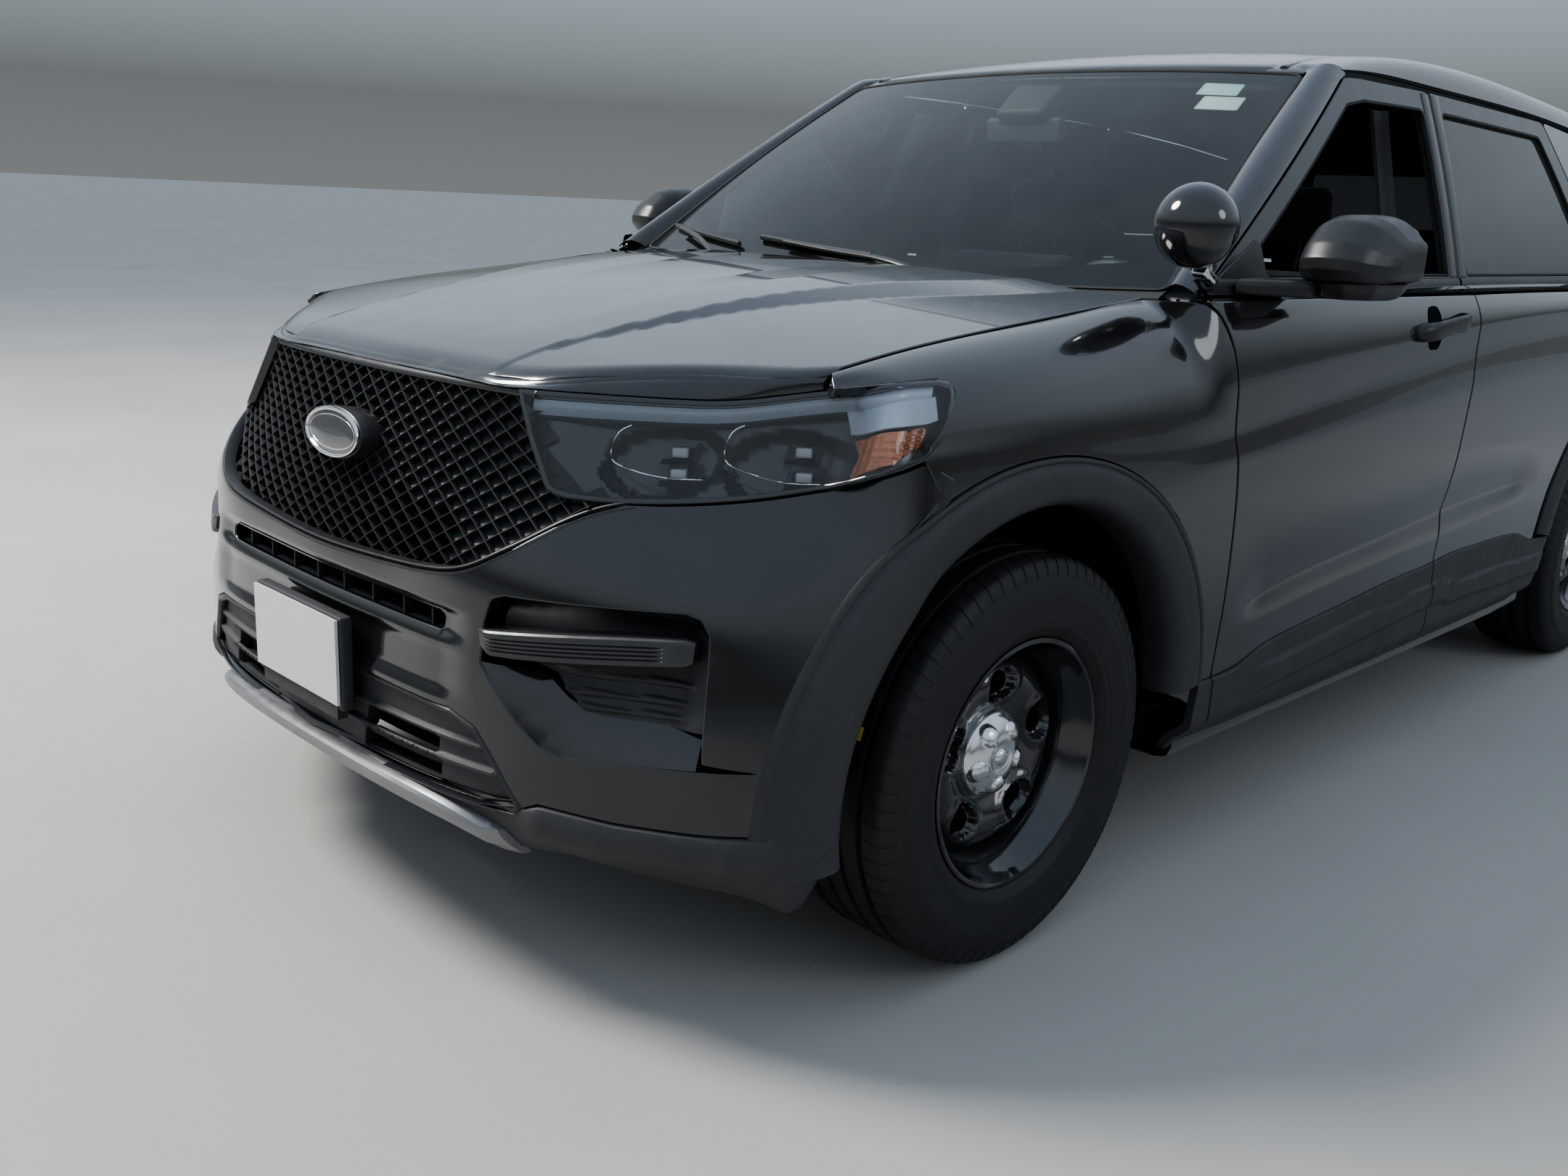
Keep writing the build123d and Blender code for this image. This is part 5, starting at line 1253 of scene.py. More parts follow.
# moulding in the roof ditch
ds = Soup()
pth = []
for x in np.arange(-2040, 396, 24.0):
    zr = float(ROOF_Z(x) - CROWN(x) * (617 / 600.0) ** 2)
    pth.append((x, 618.5, zr - 8.0))
pr = [(-10.5, -3), (-10.5, 3.0), (-7, 6.0), (0, 7.4), (7, 6.0), (10.5, 3.0), (10.5, -3)]
ds.add(*(lambda q: (q.verts(), q.f))(sweep(pth, pr)))
ds.mirror()
ds.make("roof_ditch_mouldings", M["plastic_fine"], slot="dark_plastic", sharp=40)


# finishes of the CAD nodes that keep their own shape
CAD_MATS = {
    "engine": "alloy_block", "front_structure": "under", "floor_pan": "under", "front_suspension": "cast", "rear_suspension": "cast",
    "front_left_knuckle": "cast", "front_right_knuckle": "cast", "exhaust": "exhaust", "wheel_liners": "liner", "door_posts": "steel_black", "cowl": "plastic",
    "plate_bracket": "plastic", "front_plate": "plate", "rear_plate": "plate", "dashboard": "dash", "front_seats": "vinyl", "rear_seat": "vinyl", "steering_wheel": "vinyl",
    "windshield": "glass", "front_window_right": "glass_side", "rear_window_left": "privacy", "rear_window_right": "privacy", "quarter_windows": "privacy", "tailgate_window": "privacy",
    "front_bumper": "paint", "grilles": "plastic_mesh", "headlamps": "lamp_dark", "front_fenders": "paint", "quarter_panels": "paint", "upper_frames": "paint", "roof_panel": "paint",
    "hood": "paint", "front_door_left": "paint", "front_door_right": "paint", "rear_door_left": "paint", "rear_door_right": "paint", "tailgate": "paint", "rear_bumper": "paint",
    "tail_lamps": "red_lamp", "mirror_left": "plastic_fine", "mirror_right": "plastic_fine", "spotlight": "trim_gloss", "sills": "plastic", "arch_flares": "plastic",
    "front_left_rim": "wheel_black", "front_right_rim": "wheel_black", "rear_left_rim": "wheel_black", "rear_right_rim": "wheel_black",
    "front_left_tyre": "tyre", "front_right_tyre": "tyre", "rear_left_tyre": "tyre", "rear_right_tyre": "tyre",
}


# ---------------------------------------------------------------- front end
def nose_in(d):
    """Nose surface moved inwards by d(a, z) mm along its normal."""
    def f(a, z):
        a, z = np.broadcast_arrays(np.asarray(a, float), np.asarray(z, float))
        p = nose(a, z)
        e = 1.0
        du = nose(a + e, z) - nose(a - e, z)
        dv = nose(a, z + e) - nose(a, z - e)
        n = np.cross(du, dv)
        n /= np.maximum(np.linalg.norm(n, axis=-1, keepdims=True), 1e-9)
        n = np.where((n[..., 0:1] < 0), -n, n)
        dd = d(a, z) if callable(d) else d
        return p - n * np.asarray(dd)[..., None] if callable(d) else p - n * dd
    return f


def npt(a, z, d=0.0):
    """Points on the nose surface, d mm outside it."""
    return nose_in(-float(d))(np.atleast_1d(np.asarray(a, float)), np.atleast_1d(np.asarray(z, float)))


LAMP_TOP = [(430, 1003), (517, 1003.5), (588, 1004), (660, 1004.5), (721, 1007), (819, 1024), (890, 1036), (942, 1046), (985, 1053), (1015, 1056)]
LAMP_END = [(1036, 1052), (1044, 1036), (1048, 996), (1040, 965), (1022, 941)]
LAMP_BOT = [(990, 926), (936, 906), (833, 878), (740, 863), (652, 856), (600, 855), (560, 856), (541, 860), (528, 866), (519, 876), (474, 934), (440, 985)]
lamp_line = np.vstack([smooth_line(LAMP_TOP, 12), np.array(LAMP_END, float), smooth_line(LAMP_BOT[:6], 12), np.array(LAMP_BOT[6:], float)])
lamp_line = fillet(lamp_line, [0] * len(lamp_line))


def inset2(P, d):
    P = np.array(P, float)
    m, mf = out_normals(P)
    return P - m * (d * np.minimum(mf, 1.6))[:, None]


# --- painted bumper cover with openings for the grille, slot, corner pockets and lower grille
FL_A = [(1092, 872), (1056, 838), (1024, 800), (1000, 760), (992, 700), (988, 640), (984, 560), (980, 480), (976, 420), (972, 383)]
top_in = [(643, 851.5), (616, 839), (571, 817), (530, 786), (492, 756), (470, 743), (449, 732), (420, 722), (353, 711), (208, 699), (73, 693), (0, 692)]
cover_top = smooth_line([(1026, 933), (990, 919), (936, 899.5), (833, 872), (740, 857.5), (690, 853)], 12)
cover = [(1092, 905)] + [tuple(p) for p in cover_top] + top_in
bot = [(0, 352), (160, 352), (360, 352), (480, 352), (573, 369), (600, 381), (731, 375), (886, 379), (972, 383)]
half_c = np.array(cover + bot[:] + FL_A[::-1][1:], float)
# one loop over both sides: right-hand top to the middle, then mirrored
top_part = np.array(cover, float)
bot_part = np.array(bot + FL_A[::-1][1:], float)
loop = np.vstack([top_part, top_part[:-1][::-1] * np.array([-1, 1]), bot_part[1:][::-1] * np.array([-1, 1]), bot_part])
pocket = fillet([(486, 655), (485, 592), (559, 513), (600, 480), (640, 468), (864, 480), (951, 483.5), (874, 492), (868, 560), (860, 630), (853, 684), (836, 705), (811, 712), (521, 703), (497, 694)],
                [10, 3, 3, 6, 12, 0, 0, 3, 0, 8, 14, 14, 10, 10, 14], 5)
slot = fillet([(-372, 653), (372, 653), (388, 646), (386, 628), (376, 624), (-376, 624), (-386, 628), (-388, 646)], 7, 4)
low_g = fillet([(0, 503), (420, 503), (478, 484), (570, 368), (560, 352.5), (0, 352.5), (-560, 352.5), (-570, 368), (-478, 484), (-420, 503)], [0, 26, 22, 6, 2, 0, 2, 6, 22, 26], 5)
pocket_r = pocket[::-1] * np.array([-1, 1])
zz = sorted(set(list(np.arange(360, 700, 13.0)) + list(np.arange(700, 940, 13.0))))


def cover_s(a, z):
    """Nose with a rolled lip along the slot and under the grille."""
    a, z = np.broadcast_arrays(np.asarray(a, float), np.asarray(z, float))
    aa = np.abs(a)
    env = sstep(470, 380, aa)
    d = env * 9.0 * sstep(612, 590, z)
    # hollow between the slot's lower lip and the lower grille
    d = d * sstep(505, 540, z)
    d = d + 12.0 * env * sstep(668, 655, z) * sstep(600, 625, z)
    return nose_in(lambda p, q: d)(a, z)


cv = panel("front_cover", cover_s, loop, M["paint"], slot="gloss_black", hint=(1, 0, 0), us=np.arange(-1090, 1091, 13.0), vs=zz, side="C", depth=9, hem=10, step=9, edge=2.6,
           holes=[pocket, pocket_r, slot, low_g], hole_depth=26, hole_hem=0, hole_edge=3.2)
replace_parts(cv[0], "front_bumper")

# --- slot: ledge, dividers and dark back
s = Soup()
aa_ = np.linspace(-392, 392, 57)
for z0, d0, z1, d1 in ((618, 13, 634, 64), (634, 64, 654, 66), (654, 66, 668, 14)):
    s.grid(np.array([npt(aa_, np.full(57, z0), -d0), npt(aa_, np.full(57, z1), -d1)]))
s.make("slot_lining", M["plastic_fine"], slot="dark_plastic", sharp=30)
s = Soup()
for a in (-322, -225, -128, -32, 64, 160, 256, 340):
    p = npt([a - 2.5, a + 2.5], [638, 638], -44)
    c = p.mean(0)
    yaw = math.degrees(math.atan2(-(p[1] - p[0])[0], (p[1] - p[0])[1]))
    s.add(*(lambda q: (q.verts(), q.f))(rbox(c, (46, 4.2, 40), 1.6, 2, rot_z(yaw))))
s.make("slot_dividers", M["plastic_fine"], slot="dark_plastic", sharp=30)

# --- corner pocket: angled facet, matte insert with slats, and the bar across its top
def dep(a, z):
    a, z = np.broadcast_arrays(np.asarray(a, float), np.asarray(z, float))
    base = 30 + 26 * sstep(520, 640, z) + 26 * sstep(650, 700, z)
    base = base * (0.35 + 0.65 * sstep(872, 800, a)) + 2
    slats = 0
    for zc in (598, 571, 549):
        zc2 = zc + 0.03 * (a - 640)
        slats = slats + sstep(zc2 - 9, zc2 - 3, z) * (1 - sstep(zc2 + 1, zc2 + 3.5, z))
    slats = slats * sstep(585, 640, a) * sstep(842, 826, a)
    return base - 8.5 * slats


ins = fillet([(480, 612), (600, 590), (622, 570), (668, 536), (876, 536), (876, 716), (480, 716)], [2, 4, 4, 10, 2, 2, 2], 4)
zi = [540, 543, 546, 550, 553, 556, 560, 564, 568, 572, 575, 578, 582, 587, 592, 596, 599, 602, 605, 609, 615, 623, 633, 645, 657, 667, 675, 683, 691, 699, 707]
for nm in ("pocket_insert_left",):
    panel(nm, nose_in(dep), ins, M["plastic"], slot="dark_plastic", hint=(1, 0, 0), us=list(np.arange(486, 876, 9.0)), vs=zi, side="both", depth=3, hem=0, step=9, edge=1.0)
# facet between the pocket's sharp lower edge and the insert
out_p = np.array([(484, 594), (521, 553), (559, 512), (600, 480), (640, 467.5), (700, 471), (780, 475.5), (866, 481)], float)
in_p = np.array([(566, 588), (601, 580), (632, 557), (664, 541), (690, 538), (730, 538), (790, 539), (868, 540)], float)
so = np.linspace(0, 1, 60)


def along(P, t):
    P = np.array(P, float)
    s = np.concatenate([[0], np.cumsum(np.linalg.norm(np.diff(P, axis=0), axis=1))]); s /= s[-1]
    return np.column_stack([np.interp(t, s, P[:, k]) for k in range(P.shape[1])])


so_o = np.interp(so, np.linspace(0, 1, 8), np.concatenate([[0], np.cumsum(np.linalg.norm(np.diff(out_p, axis=0), axis=1))]) / np.sum(np.linalg.norm(np.diff(out_p, axis=0), axis=1)))
so_i = np.interp(so, np.linspace(0, 1, 8), np.concatenate([[0], np.cumsum(np.linalg.norm(np.diff(in_p, axis=0), axis=1))]) / np.sum(np.linalg.norm(np.diff(in_p, axis=0), axis=1)))
PO, PI = along(out_p, so_o), along(in_p, so_i)
rows = []
for t in np.linspace(0, 1, 8):
    P = PO * (1 - t) + PI * t
    dd = 1.6 + (34.0 - 1.6) * t ** 1.1
    rows.append(nose_in(lambda a, z, dd=dd: np.full(np.shape(a), dd))(P[:, 0], P[:, 1]))
G = np.array(rows)
s = Soup().grid(G)
s.grid(np.array([G[-1], G[-1] - np.array([14, 3, 0])]))
s.mirror()
s.make("pocket_facets", M["paint"], slot="gloss_black", sharp=34)
# bar
bt = np.array([(478, 646), (498, 647), (560, 654), (640, 662), (720, 669), (790, 674), (818, 675), (834, 672)], float)
bb = np.array([(486, 618), (505, 606), (560, 609), (640, 615), (720, 622), (790, 629), (818, 632), (834, 640)], float)
T = np.linspace(0, 1, 44)
bT, bB = along(bt, T), along(bb, T)
prof_t = [(0.0, -34), (0.0, -2), (0.03, 3.0), (0.10, 6.0), (0.22, 6.8)]
ribs = []
for c in (0.34, 0.48, 0.62, 0.76):
    ribs += [(c - 0.055, 6.6), (c - 0.035, 3.2), (c - 0.012, 3.0), (c + 0.018, 7.0), (c + 0.05, 7.2)]
prof_t += ribs + [(0.86, 6.8), (0.94, 5.0), (0.985, 1.5), (1.0, -4), (1.0, -34)]
endf = sstep(0, 0.05, T) * sstep(1.0, 0.90, T)
rib_on = sstep(0.05, 0.09, T) * sstep(0.86, 0.82, T)
lead = 10.0 * sstep(0.9, 0.0, T)
rows = []
for q, d in prof_t:
    P = bT * (1 - q) + bB * q
    flat = 6.8 if 0.2 < q < 0.88 else d
    dd = (d if not (0.25 < q < 0.85) else None)
    dist = np.full(len(T), float(d)) if dd is not None else flat + (d - flat) * rib_on
    dist = np.where(dist > 0, dist * (0.25 + 0.75 * endf), dist) + (lead - 8.0)
    rows.append(np.array([nose_in(-float(v))(np.array([p[0]]), np.array([p[1]]))[0] for p, v in zip(P, dist)]))
G = np.array(rows).transpose(1, 0, 2)
s = Soup().grid(G, close_u=True, cap=True)
s.mirror()
s.make("corner_bars", M["satin_bar"], slot="dark_plastic", sharp=28)

# --- lower grille: frame, slats, panel with plate seat
def lowg(d):
    return nose_in(float(d))


fr_o = low_g
fr_i = inset2(low_g, 15)
rows = []
for P, d in ((inset2(low_g, 0.5), 2.5), (inset2(low_g, 4), -1.0), (inset2(low_g, 9), -1.5), (inset2(low_g, 14), 3.0), (inset2(low_g, 16), 12.0), (inset2(low_g, 17), 34.0)):
    rows.append(nose_in(float(d))(P[:, 0], P[:, 1]))
s = Soup().grid(np.array(rows), close_u=True)
s.make("lower_grille_frame", M["plastic_fine"], slot="dark_plastic", sharp=32)


def low_face(a, z):
    a, z = np.broadcast_arrays(np.asarray(a, float), np.asarray(z, float))
    aa = np.abs(a)
    d = 15 + 0 * z
    for zc in (408, 446):
        d = d - 9.0 * (sstep(zc - 7, zc - 3, z) * (1 - sstep(zc + 2, zc + 8, z))) * sstep(560, 520, aa)
    return nose_in(lambda p, q: d)(a, z)


holes_l = [fillet([(165, 414), (375, 414), (375, 438), (165, 438)], 4, 3), fillet([(165, 364), (385, 364), (385, 400), (165, 400)], 4, 3)]
holes_l = holes_l + [h[::-1] * np.array([-1, 1]) for h in holes_l]
lf = panel("lower_grille", low_face, inset2(low_g, 15.5), M["plastic"], slot="dark_plastic", hint=(1, 0, 0), us=np.arange(-560, 561, 14.0), vs=[362, 368, 374, 380, 386, 392, 398, 401, 403, 405, 408, 410, 412, 415, 420, 426, 432, 438, 440, 442, 444, 447, 449, 452, 456, 464, 472, 480, 488],
           side="C", depth=3, hem=0, step=9, edge=1.0, holes=holes_l, hole_depth=26, hole_hem=0, hole_edge=1.5)

# painted shade: near-black backing behind every opening of the nose, standing in for the shadowed space behind them
s = Soup()
a_ = np.linspace(-900, 900, 61)
s.grid(np.array([nose_in(float(d))(a_, np.full(61, z)) for z, d in ((345, 100), (420, 112), (520, 112), (600, 104), (690, 100), (700, 92))]))
s.make("nose_backing", M["void"], slot="dark_plastic", sharp=60)

# --- matte lower band with its bevel, and the silver strip across the middle
BT = [(0, 350), (160, 350), (360, 350), (480, 351), (573, 367), (600, 379), (640, 378), (731, 373), (886, 377), (976, 381), (1010, 386), (1044, 398), (1062, 402)]
BB = [(0, 262), (160, 262), (330, 250), (430, 240), (479, 237), (530, 244), (596, 250), (680, 236), (800, 236), (900, 244), (1001, 252), (1040, 262), (1062, 300)]
A_ = np.concatenate([np.linspace(0, 440, 23), np.linspace(450, 620, 18), np.linspace(632, 1062, 38)])
zt_ = np.interp(A_, *np.array(BT).T); zb_ = np.interp(A_, *np.array(BB).T)
zt_ = np.convolve(np.pad(zt_, 1, mode="edge"), [0.25, 0.5, 0.25], mode="valid")
rows = []
# share down from the top edge, distance outwards
bprof = [(0.0, -14, 0), (0.0, -2, 0), (0.02, 4.0, 0), (0.06, 7.0, 1), (0.20, 12.0, 1), (0.30, 14.0, 1), (0.36, 13.0, 1), (0.45, 9.0, 1), (0.62, 2.0, 1), (0.80, -6.0, 1), (0.95, -14.0, 1), (1.0, -20.0, 1), (1.0, -60.0, 0)]
mid = sstep(520, 600, A_)
for q, d, k in bprof:
    z = zt_ + (zb_ - zt_) * q
    dd = d * mid + (1 - mid) * (-6.0 if d > -10 else d)
    rows.append(np.array([nose_in(-float(v))(np.array([a]), np.array([zz_]))[0] for a, zz_, v in zip(A_, z, dd)]))
G = np.array(rows)
G[:, 0, 1] = 0
Gf = np.concatenate([G[:, :0:-1] * np.array([1, -1, 1]), G], axis=1)
s = Soup().grid(Gf)
s.make("lower_band", M["plastic"], slot="dark_plastic", sharp=38)
ST = [(0, 354), (120, 354), (260, 352), (349, 348), (420, 338), (470, 322), (505, 305)]
SB = [(0, 312), (120, 311), (260, 306), (349, 298), (420, 284), (470, 264), (505, 246)]
A_ = np.concatenate([np.linspace(0, 420, 29), np.linspace(430, 520, 14)])
A_ = A_[A_ <= 505]
zt_ = cs(*np.array(ST).T)(A_); zb_ = cs(*np.array(SB).T)(A_)
end = sstep(505, 470, A_)
sprof = [(0.0, -10), (0.0, 4), (0.04, 11), (0.12, 16.0), (0.24, 18.0), (0.40, 18.5), (0.55, 17.0), (0.60, 12.5), (0.75, 11.0), (0.92, 9.0), (0.98, 4.0), (1.0, -10)]
rows = []
for q, d in sprof:
    z = zt_ + (zb_ - zt_) * q
    dd = np.where(d > 0, d * (0.25 + 0.75 * end), d)
    rows.append(np.array([nose_in(-float(v))(np.array([a]), np.array([zz_]))[0] for a, zz_, v in zip(A_, z, dd)]))
G = np.array(rows)
G[:, 0, 1] = 0
G[..., 0] = np.minimum(G[..., 0], 2523.0)
Gf = np.concatenate([G[:, :0:-1] * np.array([1, -1, 1]), G], axis=1)
s = Soup().grid(Gf)
s.grid(np.array([Gf[:, 0], Gf[:, 0] - np.array([18, 0, 0])])); s.grid(np.array([Gf[:, -1], Gf[:, -1] - np.array([18, 0, 0])]))
s.make("skid_strip", M["skid"], slot="dark_plastic", sharp=24)

# --- plate holder rim and plate details
s = Soup()
rim = fillet([(2510, -147), (2510, 147)], 0)
s.add(*(lambda q: (q.verts(), q.f))(rbox((2506, 0, 512), (24, 316, 168), 5, 3)))
s.make("plate_holder", M["plastic"], slot="dark_plastic", sharp=30)


def plate_art(name, x, z0, sgn, body):
    """Blank plate: pressed rim."""
    so_ = Soup()
    rim_o = fillet([(-152, z0 + 1), (152, z0 + 1), (152, z0 + 151.4), (-152, z0 + 151.4)], 9, 5)
    rows_ = []
    for ins_, h in ((0.5, 0.05), (1.2, 0.45), (2.6, 0.45), (3.6, 0.12)):
        P = inset2(rim_o, ins_)
        rows_.append(np.column_stack([np.full(len(P), x + sgn * h), P[:, 0], P[:, 1]]))
    so_.grid(np.array(rows_), close_u=True)
    so_.make(name + "_rim", M["plate"], body=body, slot="plate_metal", sharp=30)


plate_art("front_plate", 2524.4, 440, 1, "body")
s = Soup()
for y in (-88.9, 88.9):
    G, _ = lathe([(-9.0, 3.4), (-1.3, 3.4), (-1.3, 6.6), (-0.2, 6.6), (0.35, 5.6), (0.45, 3.0), (0.1, 2.4), (0.1, 0.01)], (2524.4, y, 574), 20, "x")
    s.grid(G, close_u=True)
s.make("front_plate_bolts", M["chrome"], slot="plate_metal", sharp=35)


# ---------------------------------------------------------------- upper grille: egg-crate mesh on a leaning surface
G_X = [(690, 2450, 2434, 330), (732, 2446, 2416, 432), (760, 2440, 2394, 488), (816, 2424, 2344, 556), (850, 2412, 2318, 560), (880, 2402, 2336, 500), (934, 2382, 2330, 470), (1012, 2352, 2322, 430)]
_gm, _ge, _gw = cs([r[0] for r in G_X], [r[1] for r in G_X]), lin([(690, 2428), (732, 2416), (816, 2378), (880, 2352), (934, 2338), (1012, 2326)]), lin([(690, 440), (1012, 440)])


def gril(y, z, d=0.0):
    """Grille face; d is the distance in front of it."""
    y, z = np.broadcast_arrays(np.asarray(y, float), np.asarray(z, float))
    t = np.abs(y) / 440.0
    x = _gm(z) - (_gm(z) - _ge(z)) * t ** 2.1
    return np.stack([x + d, y + d * 0.35 * np.sign(y) * np.minimum(t, 1), z + d * 0.18], -1)


mesh_half = [(0, 697), (70, 698), (205, 704), (350, 716), (412, 727), (444, 739), (484, 763), (526, 792), (562, 820), (602, 843), (618, 850), (560, 851), (530, 852), (512, 862), (502, 882), (462, 934), (434, 992), (428, 997)]
mesh_out = np.array(mesh_half + [(340, 998), (200, 998), (0, 998), (-200, 998), (-340, 998)] + [(-y, z) for y, z in mesh_half[:0:-1]], float)


def clip_seg(P, Q, poly):
    """Parts of the straight segment P-Q that lie inside the outline, as pairs of shares."""
    n = 240
    t = np.linspace(0, 1, n)
    pts = P + (Q - P) * t[:, None]
    ins_ = inside(poly, pts)
    out, start = [], None
    for i in range(n):
        if ins_[i] and start is None:
            start = i
        if (not ins_[i] or i == n - 1) and start is not None:
            e = i if ins_[i] else i - 1
            if e > start:
                out.append((t[start], t[e]))
            start = None
    return out


CW, CH = 47.0, 30.5
s = Soup()
for fam in (1, -1):
    for k in range(-60, 61):
        # line through (k * CW, 860) with slope fam * CH / CW
        P = np.array([k * CW - 700.0, 860.0 - fam * 700.0 * CH / CW]); Q = np.array([k * CW + 700.0, 860.0 + fam * 700.0 * CH / CW])
        for a, b in clip_seg(P, Q, mesh_out):
            p0, p1 = P + (Q - P) * a, P + (Q - P) * b
            n = max(2, int(np.linalg.norm(p1 - p0) / 28.0))
            t = np.linspace(0, 1, n + 1)
            L = p0 + (p1 - p0) * t[:, None]
            nn = np.array([-(p1 - p0)[1], (p1 - p0)[0]]); nn /= np.linalg.norm(nn)
            prof = []
            for w_, d in ((-1.9, -22.0), (-1.3, -1.5), (-0.7, 0.0), (0.7, 0.0), (1.3, -1.5), (1.9, -22.0)):
                q = L + nn * w_
                prof.append(gril(q[:, 0], q[:, 1], d))
            s.grid(np.array(prof).transpose(1, 0, 2), close_u=True, cap=True)
s.make("grille_mesh", M["plastic_mesh"], slot="dark_plastic", sharp=40)
# floor of the closed cells: each leans back towards its upper right; the middle is open
s = Soup()
for i in range(-30, 31):
    for j in range(-30, 31):
        cy = (i + j) * CW / 2 + CW / 2; cz = 860.0 + (i - j) * CH / 2
        if not inside(inset2(mesh_out, -16), np.array([[cy, cz]]))[0]:
            continue
        openc = (abs(cy) < 350 and cz < 842 - 0.12 * abs(cy)) or (cy < 40 and cy > -430 and cz < 930)
        if openc:
            continue
        c = np.array([(cy - CW / 2, cz), (cy, cz - CH / 2), (cy + CW / 2, cz), (cy, cz + CH / 2)])
        d = np.array([-12.0, -9.0, -19.0, -21.0])
        pts = np.array([gril(q[0], q[1], dd) for q, dd in zip(c, d)])
        mid_ = gril(cy, cz, -13.5)
        s.add(np.vstack([pts, [mid_]]), [[0, 1, 4], [1, 2, 4], [2, 3, 4], [3, 0, 4]])
gc = s.make("grille_cells", M["plastic_mesh"], slot="dark_plastic", sharp=20)
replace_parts(gc, "grilles")
# painted shade: near-black sheet behind the upper grille, standing in for the shadowed space behind the mesh
s = Soup()
back_w = lin([(690, 450), (735, 482), (760, 502), (800, 548), (843, 618), (856, 560), (872, 520), (934, 472), (1000, 436)])
s.grid(np.array([[gril(t * float(back_w(z)), z, -40.0) for t in np.linspace(-1, 1, 42)] for z in (690, 735, 760, 800, 843, 858, 875, 934, 1000)]))
s.make("grille_backing", M["void"], slot="dark_plastic", sharp=60)
# double bead round the lower edge of the mesh
half_b = np.array([(0, 696.5), (70, 697.5), (205, 703), (350, 714.5), (412, 725.5), (447, 738), (487, 761), (530, 790), (567, 819), (606, 842), (640, 853)], float)
full_b = np.vstack([half_b[:0:-1] * np.array([-1, 1]), half_b])
fb = smooth_line(full_b, 12)


def bead_line(P, off_in, d):
    t = np.gradient(P, axis=0); t /= np.linalg.norm(t, axis=1, keepdims=True)
    nrm = np.column_stack([-t[:, 1], t[:, 0]])
    Q = P + nrm * off_in
    na = nose_in(-float(d))(np.sign(Q[:, 0]) * np.interp(np.abs(Q[:, 0]), NOSE_Y, NOSE_A[:7]), Q[:, 1])
    return na


rows = []
for off_in, d in ((-8.0, -9.0), (-7.0, -1.0), (-5.5, 1.2), (-3.5, 1.2), (-2.0, -1.0), (-1.2, -5.0), (0.0, -6.0), (1.2, -5.0), (2.4, -1.6), (4.2, 0.2), (6.5, -1.0), (8.0, -6.0), (9.0, -22.0)):
    rows.append(bead_line(fb, off_in, d))
s = Soup().grid(np.array(rows))
s.make("grille_bead", M["plastic_fine"], slot="dark_plastic", sharp=35)
# blank oval badge on its pod
s = Soup()
bc = np.array([2441.0, 0.0, 885.0])
A_, B_ = 92.0, 41.0
tilt = rot_y(-7.0)
n_ = 72
th = np.linspace(0, 2 * math.pi, n_, endpoint=False)


def oval(prof, c=bc):
    return np.array([c + np.column_stack([np.full(n_, h), (A_ + r) * np.cos(th), (B_ + r) * np.sin(th)]) @ tilt.T for r, h in prof])


s.grid(oval([(4, -62), (5, -20), (4.0, -8), (1.0, -5.0)]), close_u=True)
s.make("badge_pod", M["plastic_fine"], slot="dark_plastic", sharp=35)
s = Soup()
s.grid(oval([(1.5, -8), (2.6, -3), (2.0, -0.2), (0.0, 1.0), (-2.6, 0.6), (-4.2, -1.0), (-4.6, -3.0)]), close_u=True)
s.grid(oval([(-10.5, -2.6), (-11.2, -1.9), (-12.4, -1.8), (-13.2, -2.6)]), close_u=True)
s.make("badge_rim", M["badge_rim"], slot="plate_metal", sharp=45)
s = Soup()
G = oval([(-4.2, -3.2), (-8, -2.6), (-14, -1.9), (-20, -1.2), (-28, -0.6), (-36, -0.2)])
s.grid(G, close_u=True)
s.add(np.vstack([G[-1], [bc + np.array([-0.1, 0, 0]) @ tilt.T]]), [[i, (i + 1) % n_, n_] for i in range(n_)])
s.make("badge_face", M["badge"], slot="gloss_black", sharp=50)
# header strip between the mesh and the hood
s = Soup()
y_ = np.linspace(-455, 455, 47)
hx = HOOD_FRONT(y_)
rows = [np.column_stack([hx - 46, y_, np.full(47, 1001.0)])]
for z_, d_ in ((1004.5, -8.0), (1005.5, -3.0), (1004.6, 0.5), (1001.5, 2.6), (996.5, 3.2), (993.2, 1.8), (991.8, -2.0), (991.5, -20.0)):
    rows.append(np.column_stack([gril(y_, z_, d_)[:, 0], y_, np.full(47, z_)]))
s.grid(np.array(rows))
s.make("grille_header", M["plastic_fine"], slot="dark_plastic", sharp=35)

# ---------------------------------------------------------------- headlamps
EYE = np.array([3602.0, 2291.0, 1303.0])


# side surface as y(x, z) round the lamp's outer end
SX, SZ = np.arange(1740.0, 2161.0, 10.0), np.arange(850.0, 1101.0, 5.0)
_sv = np.arange(850.0, 1164.1, 3.0)
_sp = side(*np.broadcast_arrays(SX[:, None], _sv[None, :]))
S_Y = np.array([np.interp(SZ, q[:, 2], q[:, 1], right=700.0) for q in _sp])


def side_y(x, z):
    i = np.clip((x - SX[0]) / 10.0, 0, len(SX) - 1.001); j = np.clip((z - SZ[0]) / 5.0, 0, len(SZ) - 1.001)
    i0, j0 = np.floor(i).astype(int), np.floor(j).astype(int)
    u, v = i - i0, j - j0
    return S_Y[i0, j0] * (1 - u) * (1 - v) + S_Y[i0 + 1, j0] * u * (1 - v) + S_Y[i0, j0 + 1] * (1 - u) * v + S_Y[i0 + 1, j0 + 1] * u * v


